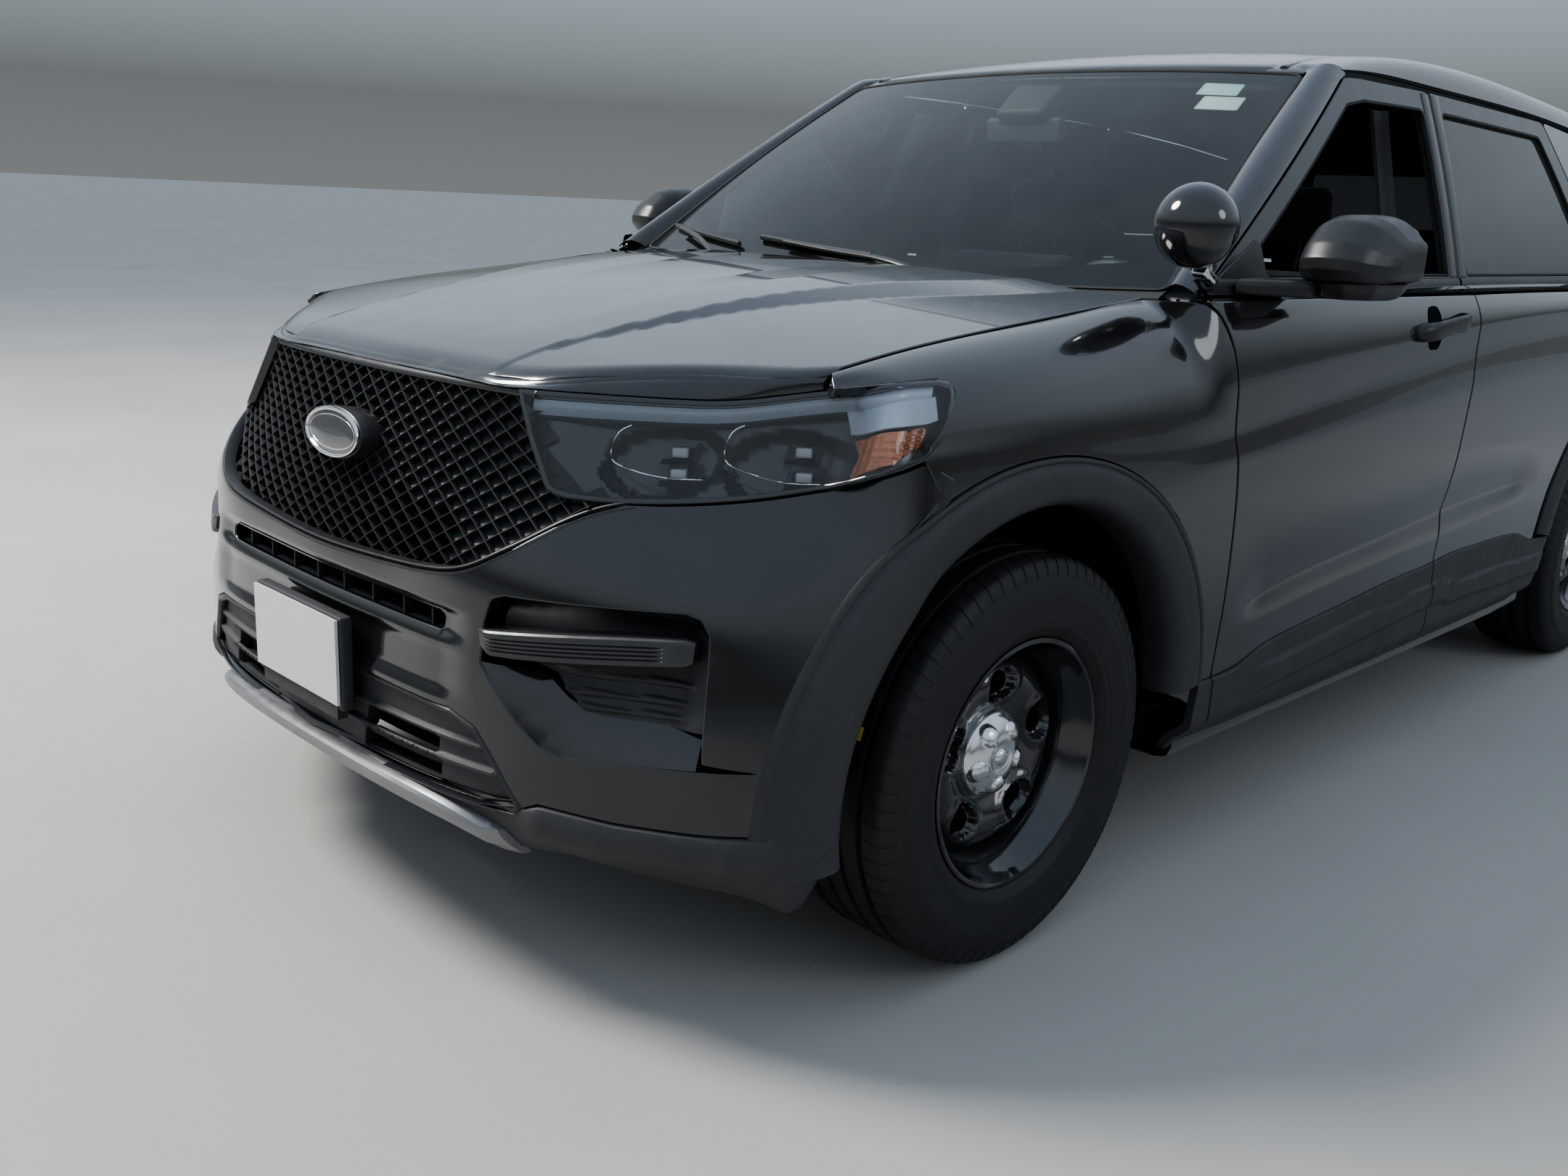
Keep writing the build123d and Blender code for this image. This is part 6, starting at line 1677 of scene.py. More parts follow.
def _wrap(a, z):
    """Nose surface point, slid back along the line of sight until it lies on the side surface at the shoulder."""
    p = nose(a, z)
    w = sstep(880, 985, a)[:, None]
    lo, hi = np.full(len(p), 0.95), np.full(len(p), 1.10)
    for _ in range(16):
        t = (lo + hi) / 2
        r = EYE + (p - EYE) * t[:, None]
        out = r[:, 1] > side_y(r[:, 0], r[:, 2])
        lo = np.where(out, t, lo); hi = np.where(out, hi, t)
    r = EYE + (p - EYE) * lo[:, None]
    return p * (1 - w) + r * w


WA, WZ = np.arange(870, 1086, 6.0), np.arange(840, 1091, 6.0)
_wa, _wz = np.meshgrid(WA, WZ, indexing="ij")
WRAP = _wrap(_wa.ravel(), _wz.ravel()).reshape(len(WA), len(WZ), 3)


def _cub(t):
    return np.stack([-t + 2 * t ** 2 - t ** 3, 2 - 5 * t ** 2 + 3 * t ** 3, t + 4 * t ** 2 - 3 * t ** 3, -t ** 2 + t ** 3], -1) / 2


def lamp_s(a, z):
    """Lamp face: the nose surface, which runs into the side surface round the shoulder at its outer end."""
    a, z = np.broadcast_arrays(np.asarray(a, float), np.asarray(z, float))
    sg = np.where(a < 0, -1.0, 1.0)
    b = np.abs(a)
    p = nose(b, z)
    m = b > 880
    if m.any():
        i = np.clip((b[m] - WA[0]) / 6.0, 1, len(WA) - 2.001)
        j = np.clip((z[m] - WZ[0]) / 6.0, 1, len(WZ) - 2.001)
        i0, j0 = np.floor(i).astype(int), np.floor(j).astype(int)
        ci, cj = _cub(i - i0), _cub(j - j0)
        q = np.zeros((len(i), 3))
        for u in range(4):
            for v in range(4):
                q += (ci[:, u] * cj[:, v])[:, None] * WRAP[i0 + u - 1, j0 + v - 1]
        p = p.copy()
        p[m] = q
    p[..., 1] *= sg
    return p


def lampn(d):
    """Lamp surface moved inwards by d(a, z) mm along its normal."""
    def f(a, z):
        a, z = np.broadcast_arrays(np.asarray(a, float), np.asarray(z, float))
        e = 2.0
        du = lamp_s(a + e, z) - lamp_s(a - e, z)
        dv = lamp_s(a, z + e) - lamp_s(a, z - e)
        n = np.cross(du, dv)
        n /= np.maximum(np.linalg.norm(n, axis=-1, keepdims=True), 1e-9)
        n = np.where((n[..., 0:1] < 0), -n, n)
        p = lamp_s(a, z)
        # at the outer end pieces lie behind the lens along the line of sight
        q = (EYE - p * np.where(p[..., 1:2] < 0, [1, -1, 1], [1, 1, 1])) * np.where(p[..., 1:2] < 0, [1, -1, 1], [1, 1, 1])
        q /= np.linalg.norm(q, axis=-1, keepdims=True)
        w = sstep(870, 960, np.abs(a))[..., None]
        n = n * (1 - w) + q * w
        n /= np.maximum(np.linalg.norm(n, axis=-1, keepdims=True), 1e-9)
        dd = np.asarray(d(a, z) if callable(d) else d, float)
        return p - n * (dd[..., None] if dd.ndim else dd)
    return f
def lamp_in(d):
    return lampn(float(d))


lens_o = inset2(lamp_line, 2.0)
# seal and body of the lamp round its edge
rows = []
for i_, d in ((-3.5, 14), (-2.5, 1.0), (0.5, -0.4), (3.5, -0.2), (5.5, 1.5), (6.0, 5.0), (6.5, 22.0), (7.5, 52.0)):
    P = inset2(lamp_line, i_)
    rows.append(lampn(float(d))(P[:, 0], P[:, 1]))
s = Soup().grid(np.array(rows), close_u=True)
s.mirror()
s.make("headlamp_seals", M["trim_gloss"], slot="gloss_plastic", sharp=30)
lens = panel("headlamp_lens_left", lamp_in(0.6), inset2(lamp_line, 3.0), M["lens"], slot="clear_glass", hint=(1, 0, 0), us=np.arange(420, 1060, 14.0), vs=list(np.arange(850, 1060, 12.0)), side="both", depth=2, hem=0, step=12, edge=0.8)


def lamp_bowl(a, z):
    a, z = np.broadcast_arrays(np.asarray(a, float), np.asarray(z, float))
    d = 50 - 14 * sstep(560, 480, a) + 10 * np.sin((a - 500) / 70.0) ** 2 - 20 * sstep(950, 1010, a)
    # two lamp chambers, with a web between
    for c in (655, 825):
        r = np.sqrt(((a - c) / 92.0) ** 2 + ((z - 925) / 55.0) ** 2)
        d = d + 26 * sstep(1.0, 0.75, r)
    return lampn(lambda p, q: d)(a, z)


panel("headlamp_bowl_left", lamp_bowl, inset2(lamp_line, 5.0), M["lamp_dark"], slot="lamp_front", hint=(1, 0, 0), us=np.arange(420, 1060, 12.0), vs=list(np.arange(850, 1060, 9.0)), side="both", depth=2, hem=0, step=12, edge=0.8)
hb = ALL["headlamp_bowl_left"]
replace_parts(hb, "headlamps")
# light guide under the whole top edge, with a dark line beneath it
tops = smooth_line(LAMP_TOP, 10)


def strip(name, line, w0, w1, d0, d1, mat, taper=None):
    t = np.gradient(line, axis=0); t /= np.linalg.norm(t, axis=1, keepdims=True)
    nrm = np.column_stack([t[:, 1], -t[:, 0]])
    rows_ = []
    for q in np.linspace(0, 1, 7):
        w_ = (w0 + (w1 - w0) * q)
        off_ = w_ if taper is None else w0 + (w1 - w0) * q * taper
        P = line + nrm * (off_[:, None] if taper is not None else off_)
        dd = d0 + (d1 - d0) * q - 3.0 * math.sin(math.pi * q)
        rows_.append(lampn(float(dd))(P[:, 0], P[:, 1]))
    q_ = Soup().grid(np.array(rows_))
    q_.mirror()
    return q_.make(name, mat, slot="lamp_front", sharp=50)


tl = tops[(tops[:, 0] > 442) & (tops[:, 0] < 1012)]
strip("headlamp_guides", tl, 7.0, 27.0, 14.0, 26.0, M["lamp_light"])
strip("headlamp_guide_edges", tl, 27.5, 33.0, 27.0, 40.0, M["lamp_mid"])
# grey outer field next to the amber corner
fieldp = np.array([(882, 1008), (960, 1024), (1014, 1034), (1028, 998), (1010, 992), (892, 974)], float)
panel("headlamp_outer_left", lamp_in(24.0), fieldp, M["lamp_light"], slot="lamp_front", hint=(1, 0, 0), du=16, dv=16, side="both", depth=4, hem=0, step=10, edge=1.5)
amb = fillet([(894, 968), (1014, 988), (1006, 961), (974, 930), (904, 909), (912, 944)], [5, 8, 14, 22, 8, 14], 4)


def amber_s(a, z):
    a, z = np.broadcast_arrays(np.asarray(a, float), np.asarray(z, float))
    d = 28 + 4 * np.abs(((a / 15.0) % 1.0) - 0.5) + 4 * np.abs(((z / 12.0) % 1.0) - 0.5)
    return lampn(lambda p, q: d)(a, z)


panel("headlamp_amber_left", amber_s, amb, M["amber"], slot="lamp_front", hint=(1, 0, 0), us=np.arange(890, 1020, 3.75), vs=list(np.arange(905, 995, 3.0)), side="both", depth=5, hem=0, step=6, edge=1.2)
# thin bright outlines of the two lamp chambers, and the small lamps inside
s = Soup()
for (x0, z0, z1, x2, z2) in ((585, 954, 918, 677, 897), (735, 962, 924, 842, 900)):
    for dx, dz in ((0, 0),):
        path = smooth_line([(x0 + 16, z0 + 16), (x0 + 3, z0 + 6), (x0, z0 - 6), (x0 + 2, z1 + 10), (x0 + 8, z1), (x0 + 24, z1 - 8), (x2, z2), (x2 + 44, z2 + 1)], 6)
        P = lampn(26.0)(path[:, 0], path[:, 1])
        s.add(*(lambda q: (q.verts(), q.f))(tube(P, 1.7, 6)))
s.mirror()
s.make("headlamp_outlines", M["chrome"], slot="lamp_front", sharp=60)
s = Soup()
for a, z in ((676, 938), (684, 908), (842, 947), (854, 913)):
    p = lampn(44.0)(np.array([a, a + 1.0]), np.array([z, z]))
    t_ = (p[1] - p[0]) / np.linalg.norm(p[1] - p[0])
    yaw = math.degrees(math.atan2(t_[1], t_[0])) + 90 - 180
    s.add(*(lambda q: (q.verts(), q.f))(rbox(p[0], (24, 26, 16), 3.5, 3, rot_z(yaw + 90 - 90))))
s.mirror()
s.make("headlamp_cells", M["lamp_white"], slot="lamp_front", sharp=35)
s = Soup()
for a, z in ((676, 938), (684, 908), (842, 947), (854, 913)):
    P = lampn(32.0)(np.array([a - 20, a + 20, a + 20, a - 20], float), np.array([z - 12.5, z - 12.5, z + 12.5, z + 12.5], float))
    Q = lampn(60.0)(np.array([a - 26, a + 26, a + 26, a - 26], float), np.array([z - 16, z - 16, z + 16, z + 16], float))
    s.grid(np.array([P, Q]), close_u=True)
s.mirror()
s.make("headlamp_hoods", M["lamp_mid"], slot="lamp_front", sharp=35)



# ---------------------------------------------------------------- wheels and tyres
def disc_z(r):
    """Outer face of the steel wheel's disc by radius: distance out from the mid plane of the wheel."""
    return cs([0, 60, 84, 100, 120, 145, 165, 180, 190, 200], [34, 34, 36, 44, 52, 54, 46, 34, 26, 22])(r)


def wheel_left(tag, xa):
    c = np.array([xa, Y_WHEEL, AXLE_Z])
    pieces = []
    # rim barrel: (distance out, radius)
    prof = [(-92, 196), (-96, 214), (-104, 222), (-106, 228), (-102, 229), (-96, 221), (-60, 206), (0, 200), (20, 196), (26, 190), (40, 192), (52, 198), (74, 206), (84, 213), (93, 217), (97, 221), (100, 226), (104, 228.6),
            (108.5, 228), (110, 224), (108, 219), (103, 216.5), (96, 213), (86, 208), (76, 200), (60, 191), (44, 187), (34, 186), (20, 186), (0, 192), (-60, 198), (-92, 196)]
    G, _ = lathe(prof, c, 96)
    s = Soup().grid(G, close_u=True)
    rim = s
    # disc with five windows, built on a polar grid
    na = 240
    th = np.linspace(0, 2 * math.pi, na, endpoint=False)
    R_ = np.concatenate([[30, 62, 78, 84, 90], np.linspace(95, 166, 20), [170, 174, 178, 181, 184, 187]])
    A, Rr = np.meshgrid(th, R_)
    Y = disc_z(Rr)
    # crowned pads between the windows and pressed rings round them
    ph = (A * 5 / (2 * math.pi) + 0.25) % 1.0
    ang = (ph - 0.5) * (2 * math.pi / 5)
    lx, ly = Rr * np.sin(ang), Rr * np.cos(ang) - 131.0
    e = np.sqrt((lx / 37.0) ** 2 + (ly / 29.0) ** 2)
    sup = (np.abs(lx / 38.0) ** 2.6 + np.abs(ly / 29.0) ** 2.6) ** (1 / 2.6)
    Y = Y + 4.0 * sstep(1.6, 1.15, sup) * sstep(0.9, 1.1, sup) - 16.0 * sstep(1.04, 0.86, sup)
    P = np.stack([c[0] + Rr * np.cos(A), c[1] + Y, c[2] + Rr * np.sin(A)], -1)
    Rn, Cn = Rr.shape
    F = []
    keepc = sup < 0.86
    for i in range(Rn - 1):
        for j in range(Cn):
            j2 = (j + 1) % Cn
            if keepc[i, j] and keepc[i, j2] and keepc[i + 1, j] and keepc[i + 1, j2]:
                continue
            F.append([i * Cn + j, i * Cn + j2, (i + 1) * Cn + j2, (i + 1) * Cn + j])
    rim.add(P.reshape(-1, 3), F)
    o = rim.make(tag + "_rim_paint", M["wheel_black"], body=tag + "_wheel", slot="gloss_black", sharp=40)
    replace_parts(o, tag + "_rim")
    # back of the hub
    G, _ = lathe([(-40, 30), (-40, 96), (20, 96), (30, 90), (31, 40)], c, 48)
    Soup().grid(G, close_u=True).make(tag + "_hub_back", M["cast"], body=tag + "_wheel", slot="cast_metal", sharp=35)
    # hub cap: bright dome with five pockets over the wheel nuts
    nr, nt = 30, 120
    rr = np.concatenate([np.linspace(0.5, 60, 16), np.linspace(63, 81.5, 12)])
    A, Rr = np.meshgrid(np.linspace(0, 2 * math.pi, nt, endpoint=False), rr)
    Y = 62 + cs([0, 20, 36, 50, 62, 70, 76, 80, 81.5], [8, 7.6, 6.0, 2.0, -4, -9.5, -15, -22, -30])(Rr)
    ph = (A * 5 / (2 * math.pi) + 0.75) % 1.0
    ang = (ph - 0.5) * (2 * math.pi / 5)
    q = np.sqrt((Rr * np.sin(ang)) ** 2 + (Rr * np.cos(ang) - 57.0) ** 2)
    Y = Y + 7.5 * sstep(19.5, 15.0, q) * sstep(0, 1, q + 1) + 1.5 * sstep(14, 8, q)
    Y = Y - 4.0 * sstep(30, 26, Rr) * sstep(12, 16, Rr) + 2.5 * sstep(15, 10, Rr)
    P = np.stack([c[0] + Rr * np.cos(A), c[1] + Y, c[2] + Rr * np.sin(A)], -1)
    s = Soup().grid(P, close_u=True)
    s.add(P[0], [list(range(nt))])
    G, _ = lathe([(32, 81.5), (28, 83), (26, 88)], c, nt)
    s.grid(G, close_u=True)
    s.make(tag + "_hub_cap", M["hub_chrome"], body=tag + "_wheel", slot="bare_steel", sharp=38)
    # balance weights clipped to the rim edge
    s = Soup()
    for a0 in (0.62,):
        tt = np.linspace(a0, a0 + 0.13, 8)
        rows = []
        for dy, dr in ((99, -10), (104, -10.5), (108.5, -6), (109, -1), (104, -0.6)):
            rows.append(np.stack([c[0] + (224 + dr) * np.cos(tt), np.full(8, c[1] + dy), c[2] + (224 + dr) * np.sin(tt)], -1))
        s.grid(np.array(rows))
    s.make(tag + "_rim_weight", M["zinc"], body=tag + "_wheel", slot="bare_steel", sharp=50)
    return tag


def tyre_left(tag, xa):
    c = np.array([xa, Y_WHEEL, AXLE_Z])
    W = TYRE_W = 126.0
    # cross-section from the outer bead over the tread to the inner bead: (distance out, radius)
    side_p = [(100, 226), (107, 231), (112, 238), (117, 247), (119, 250), (119.6, 254), (120.5, 262), (122.6, 278), (124.0, 292), (124.6, 300), (125.4, 303), (125.2, 307), (124.0, 318), (121.5, 330), (118.6, 339.5), (117.6, 342), (116.6, 347)]
    tread_edge = [(113.5, 354), (110, 360), (105.5, 365)]
    out = side_p + tread_edge
    # tread between +-104 with four grooves
    half = [(103, 366.5), (96, 369.2), (82, 371.8), (73.2, 372.8), (72.4, 372.5), (70.4, 364.6), (61.6, 364.6), (59.6, 373.3), (58.8, 373.6), (44, 374.3), (28.2, 374.7), (27.4, 374.4), (25.4, 366.0), (16.6, 366.0), (14.6, 374.7), (13.8, 375.0), (0.0, 375.0)]
    prof = out + half + [(-a, r) for a, r in half[-2::-1]] + [(-a, r) for a, r in out[::-1]]
    G, _ = lathe(prof, c, 144)
    G = np.array(G)
    s = Soup().grid(G, close_u=True)
    o = s.make(tag + "_tyre_carcass", M["tyre"], body=tag + "_wheel", slot="tyre_rubber", sharp=34)
    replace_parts(o, tag + "_tyre")
    # shoulder blocks, sipes and tread blocks as thin raised and sunk wedges
    s = Soup()
    n = 72
    for sgn in (1, -1):
        for k in range(n):
            t0 = 2 * math.pi * (k + (0.0 if sgn > 0 else 0.5)) / n
            w_ = 2 * math.pi / n * 0.40
            rows = []
            for dy, r in ((119.2, 338.5), (117.8, 347), (114.5, 354.6), (111.0, 360.8), (106.4, 366.0), (103.6, 367.6), (96.4, 370.1), (82, 372.7), (74.5, 373.5)):
                rows.append([(c[0] + (r + h) * math.cos(t0 + f * w_ + (103 - dy) * 0.0007 * sgn), c[1] + sgn * (dy + h * 0.35 if dy > 105 else dy), c[2] + (r + h) * math.sin(t0 + f * w_ + (103 - dy) * 0.0007 * sgn)) for f, h in ((-1, -1.2), (-0.96, 0.35), (0.96, 0.35), (1, -1.2))])
            s.grid(np.array(rows))
        for rib, (ya, yb) in enumerate(((57.5, 29.5), (12.5, 0.0))):
            for k in range(n):
                t0 = 2 * math.pi * (k + 0.25 * rib + (0.3 if sgn < 0 else 0)) / n
                w_ = 2 * math.pi / n * 0.42
                rows = []
                for q in (0, 0.5, 1.0):
                    dy = ya + (yb - ya) * q
                    r = 375.0 - 1.6 * (dy / 70.0) ** 2
                    tt = t0 + 0.018 * q * sgn
                    rows.append([(c[0] + (r + h) * math.cos(tt + f * w_), c[1] + sgn * dy, c[2] + (r + h) * math.sin(tt + f * w_)) for f, h in ((-1, -1.6), (-0.96, -0.05), (0.96, -0.05), (1, -1.6))])
                s.grid(np.array(rows))
    V = s.verts()
    rr = np.hypot(V[:, 0] - c[0], V[:, 2] - c[2])
    k = np.minimum(1.0, 375.0 / rr)
    V[:, 0] = c[0] + (V[:, 0] - c[0]) * k; V[:, 2] = c[2] + (V[:, 2] - c[2]) * k
    s.v = [V]
    s.make(tag + "_tyre_tread", M["tyre"], body=tag + "_wheel", slot="tyre_rubber", sharp=40)
    # raised rings on the sidewall, no lettering
    s = Soup()
    for r0, h in ((263, 0.5), (322, 0.5)):
        G, _ = lathe([(120.6 if r0 < 300 else 123.4, r0 - 1.4), (121.4 if r0 < 300 else 124.1, r0 - 0.5), (121.4 if r0 < 300 else 124.0, r0 + 0.5), (120.6 if r0 < 300 else 122.9, r0 + 1.4)], c, 144)
        s.grid(G, close_u=True)
    s.make(tag + "_tyre_rings", M["tyre"], body=tag + "_wheel", slot="tyre_rubber", sharp=50)


def right_wheel(tag_l, tag_r):
    """Right wheel: the left one mirrored, mesh by mesh."""
    for nm in [k for k in ALL if k.startswith(tag_l + "_")]:
        src = ALL[nm].data
        V = np.empty(len(src.vertices) * 3); src.vertices.foreach_get("co", V)
        V = V.reshape(-1, 3) * 1000.0
        V[:, 1] *= -1
        F = [list(p.vertices)[::-1] for p in src.polygons]
        new = nm.replace(tag_l, tag_r)
        o = obj(new, V, F, src.materials[0], body=tag_r + "_wheel", slot="tyre_rubber" if "tyre" in nm else "bare_steel" if "cap" in nm or "weight" in nm else "cast_metal" if "back" in nm else "gloss_black", sharp=38)
        if nm.endswith("rim_paint"):
            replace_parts(o, tag_r + "_rim")
        if nm.endswith("tyre_carcass"):
            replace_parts(o, tag_r + "_tyre")


for end, xa in (("front", X_FRONT_AXLE), ("rear", X_REAR_AXLE)):
    wheel_left(end + "_left", xa)
    tyre_left(end + "_left", xa)
    right_wheel(end + "_left", end + "_right")
# crayon mark on the tread
c = np.array([X_FRONT_AXLE, Y_WHEEL, AXLE_Z])
s = Soup()
for t0, r, y0 in ((0.30, 374.9, 44.0),):
    tt = np.linspace(t0, t0 + 0.06, 8)
    s.grid(np.array([np.stack([c[0] + r * np.cos(tt), np.full(8, c[1] + yy), c[2] + r * np.sin(tt)], -1) for yy in (y0 - 4, y0 + 4)]))
s.make("tyre_mark_yellow", M["yellow_mark"], body="front_left_wheel", slot="tyre_rubber", sharp=60)


# ---------------------------------------------------------------- upper door frames, pillars and glass
def green_off(d):
    def f(x, z):
        p = green(x, z)
        p[..., 1] -= d
        return p
    return f


FU = np.array([(1108, 1168), (1094, 1180), (334, 1634), (300, 1638), (250, 1640), (-136, 1642), (-105, 1212), (-104 + GAPV, 1166)], float)
FW = fillet([(968, 1204), (352, 1576), (256, 1592), (-84, 1597), (-60, 1238), (-58, 1204)], [24, 40, 20, 26, 30, 8], 6)
panel("frame_front_left", green_off(-0.5), fillet(FU, [0, 6, 26, 0, 0, 22, 0, 0]), M["pillar"], body="front_left_door", slot="gloss_plastic", hint=(0, 1, 0), du=26, dv=20, side="both", depth=20, hem=10, step=18, edge=2.2,
      holes=[FW], hole_depth=12, hole_hem=16, hole_edge=3.0)
RU = np.array([(-105 - 2 * GAPV, 1166), (-106 - 2 * GAPV, 1212), (-137 - 2 * GAPV, 1642), (-936, 1627), (-958, 1622), (-1252, 1264), (-1258, 1166)], float)
RW = fillet([(-176, 1204), (-172, 1238), (-196, 1597), (-898, 1583), (-1140, 1280), (-1170, 1214), (-1150, 1204)], [8, 20, 26, 44, 30, 12, 10], 6)
panel("frame_rear_left", green_off(-0.5), fillet(RU, [0, 0, 22, 0, 26, 14, 0]), M["pillar"], body="rear_left_door", slot="gloss_plastic", hint=(0, 1, 0), du=26, dv=20, side="both", depth=20, hem=10, step=18, edge=2.2,
      holes=[RW], hole_depth=12, hole_hem=16, hole_edge=3.0)
# belt: from the top of the door skin to the glass, with the dark moulding on it
for nm, x0, x1, bd in (("front", -100, 1102, "front_left_door"), ("rear", -1256, -112, "rear_left_door")):
    xs = np.linspace(x0, x1, 44)
    yt = side(xs, np.full(44, 1163.0))[:, 1]
    zt = side(xs, np.full(44, 1163.0))[:, 2]
    yg = y_glass(xs, 1190.0)
    s = Soup()
    rows = [np.column_stack([xs, yt - 2, zt - 2]), np.column_stack([xs, (yt * 0.5 + yg * 0.5), zt + 4]), np.column_stack([xs, yg + 2, np.full(44, 1172.0)]), np.column_stack([xs, yg - 16, np.full(44, 1173.0)])]
    s.grid(np.array(rows))
    s.make("belt_ledge_" + nm + "_left", M["paint"], body=bd, slot="gloss_black", sharp=40)
    t = s.flipped(); t.make("belt_ledge_" + nm + "_right", M["paint"], body=bd.replace("_left_", "_right_"), slot="gloss_black", sharp=40)
    s = Soup()
    pr = [(-6.5, 1170), (2.5, 1169), (7.5, 1171), (9.0, 1175), (8.6, 1194), (7.0, 1199), (3.0, 1201), (-7.0, 1201), (-10.0, 1203), (-16, 1203)]
    s.grid(np.array([np.column_stack([xs, y_glass(xs, z) + d, np.full(44, float(z))]) for d, z in pr]))
    s.make("belt_moulding_" + nm + "_left", M["plastic_fine"], body=bd, slot="dark_plastic", sharp=34)
    s.flipped().make("belt_moulding_" + nm + "_right", M["plastic_fine"], body=bd.replace("_left_", "_right_"), slot="dark_plastic", sharp=34)


def bead_round(name, loop, d0, body, mat, w=3.4, h=3.0):
    """Thin rubber bead just inside a window opening."""
    L = resample(loop, 14)
    rows_ = []
    for i_, d in ((0.5, d0 - 2), (1.5, d0 - h), (w, d0 - h), (w + 2.0, d0 + 1.0), (w + 2.5, d0 + 8)):
        P = inset2(L, i_)
        rows_.append(green_off(d)(P[:, 0], P[:, 1]))
    q_ = Soup().grid(np.array(rows_), close_u=True)
    q_.make(name + "_left", mat, body=body, slot="dark_plastic", sharp=40)
    q_.flipped().make(name + "_right", mat, body=body.replace("_left_", "_right_"), slot="dark_plastic", sharp=40)


bead_round("window_bead_front", FW, 3.0, "front_left_door", M["rubber"])
bead_round("window_bead_rear", RW, 3.0, "rear_left_door", M["rubber"])
# inner door frame lining, seen through the open window and with the doors open
for nm, U, W_, bd in (("front", [(1060, 1150), (1060, 1172), (330, 1608), (252, 1614), (-112, 1616), (-84, 1210), (-84, 1150)], FW, "front_left_door"), ("rear", [(-130, 1150), (-132, 1210), (-162, 1616), (-920, 1602), (-1222, 1262), (-1230, 1150)], RW, "rear_left_door")):
    panel("frame_inner_" + nm + "_left", green_off(27.0), np.array(U, float), M["dash"], body=bd, slot="dark_plastic", hint=(0, -1, 0), du=40, dv=30, side="both", depth=3, hem=3, step=20, edge=1.5, holes=[W_], hole_depth=12, hole_hem=0, hole_edge=2.0)
# glass
FGl = inset2(FW, 1.5)
gp = panel("window_front_right", green_off(10.0), FGl, M["glass_side"], body="front_right_door", slot="clear_glass", hint=(0, 1, 0), du=60, dv=60, side="R", depth=3.5, hem=0, step=30, edge=0.6)
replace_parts(gp[0], "front_window_right")
gp = panel("window_rear_left", green_off(10.0), inset2(RW, 1.5), M["privacy"], body="rear_left_door", slot="privacy_glass", hint=(0, 1, 0), du=60, dv=60, side="both", depth=3.5, hem=0, step=30, edge=0.6)
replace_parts(gp[0], "rear_window_left")
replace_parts(gp[1], "rear_window_right")
# quarter window with its dark surround
QS = np.array([(-1262 - GAPV, 1166), (-1256 - GAPV, 1264), (-968, 1616), (-980, 1626), (-1500, 1590), (-2000, 1541), (-2150, 1520), (-2230, 1440), (-2290, 1300), (-2330, 1166)], float)
QW = fillet([(-1344, 1250), (-1120, 1560), (-1500, 1552), (-1960, 1490), (-2150, 1440), (-2190, 1350), (-2200, 1250)], [20, 40, 0, 20, 40, 30, 24], 6)
panel("quarter_surround_left", green_off(-0.5), fillet(QS, [0, 10, 20, 20, 0, 0, 20, 0, 0, 0]), M["trim_gloss"], slot="gloss_plastic", hint=(0, 1, 0), du=30, dv=24, side="both", depth=16, hem=8, step=18, edge=2.2, holes=[QW], hole_depth=10, hole_hem=12, hole_edge=2.6)
gp = panel("window_quarter_left", green_off(7.0), inset2(QW, 1.0), M["privacy"], slot="privacy_glass", hint=(0, 1, 0), du=60, dv=60, side="both", depth=3.5, hem=0, step=30, edge=0.6)
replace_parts(gp[0], "quarter_windows")
# belt between the quarter skin and its window surround
xs = np.linspace(-2350, -1262 - GAPV, 40)
sd = side(xs, np.full(40, 1163.0))
s = Soup()
s.grid(np.array([np.column_stack([xs, sd[:, 1] - 2, sd[:, 2] - 2]), np.column_stack([xs, sd[:, 1] * 0.5 + y_glass(xs, 1170.0) * 0.5, sd[:, 2] + 4]), np.column_stack([xs, y_glass(xs, 1172.0) + 2, np.full(40, 1172.0)]), np.column_stack([xs, y_glass(xs, 1172.0) - 12, np.full(40, 1173.0)])]))
s.mirror()
s.make("belt_ledge_quarter", M["paint"], slot="gloss_black", sharp=40)
# centre pillar appliques: two upright satin strips, one on each door
for nm, cx, bd in (("front", (-92.0, -124.0), "front_left_door"), ("rear", (-124.0, -156.0), "rear_left_door")):
    zs = np.linspace(1204, 1636, 12)
    t = (zs - 1204) / 432.0
    e0 = -60 - 28 * t if nm == "front" else -114.5 - 30 * t
    e1 = -102.5 - 31 * t if nm == "front" else -170 - 27 * t
    rows = []
    for q, d in ((0.0, -1.0), (0.03, 2.0), (0.10, 3.2), (0.5, 3.8), (0.90, 3.2), (0.97, 2.0), (1.0, -1.0)):
        xq = e0 + (e1 - e0) * q
        P = green(xq, zs); P[:, 1] += d
        rows.append(P)
    s = Soup().grid(np.array(rows))
    s.make("pillar_strip_" + nm + "_left", M["pillar"], body=bd, slot="gloss_plastic", sharp=34)
    s.flipped().make("pillar_strip_" + nm + "_right", M["pillar"], body=bd.replace("_left_", "_right_"), slot="gloss_plastic", sharp=34)

# ---------------------------------------------------------------- windshield pillar, glass, frit, wipers
WS_P = [(0, 1200, 1156, 0, 440, 1661), (300, 1186, 1158, 250, 434, 1658), (600, 1140, 1164, 500, 418, 1650), (806, 1092, 1172, 683, 398, 1640)]
_wy = [cs([-q[0] for q in WS_P[:0:-1]] + [q[0] for q in WS_P], [sg * q[k] for sg, q in [(-1 if k in (0, 3) else 1, q) for q in WS_P[:0:-1]]] + [q[k] for q in WS_P]) for k in range(6)]


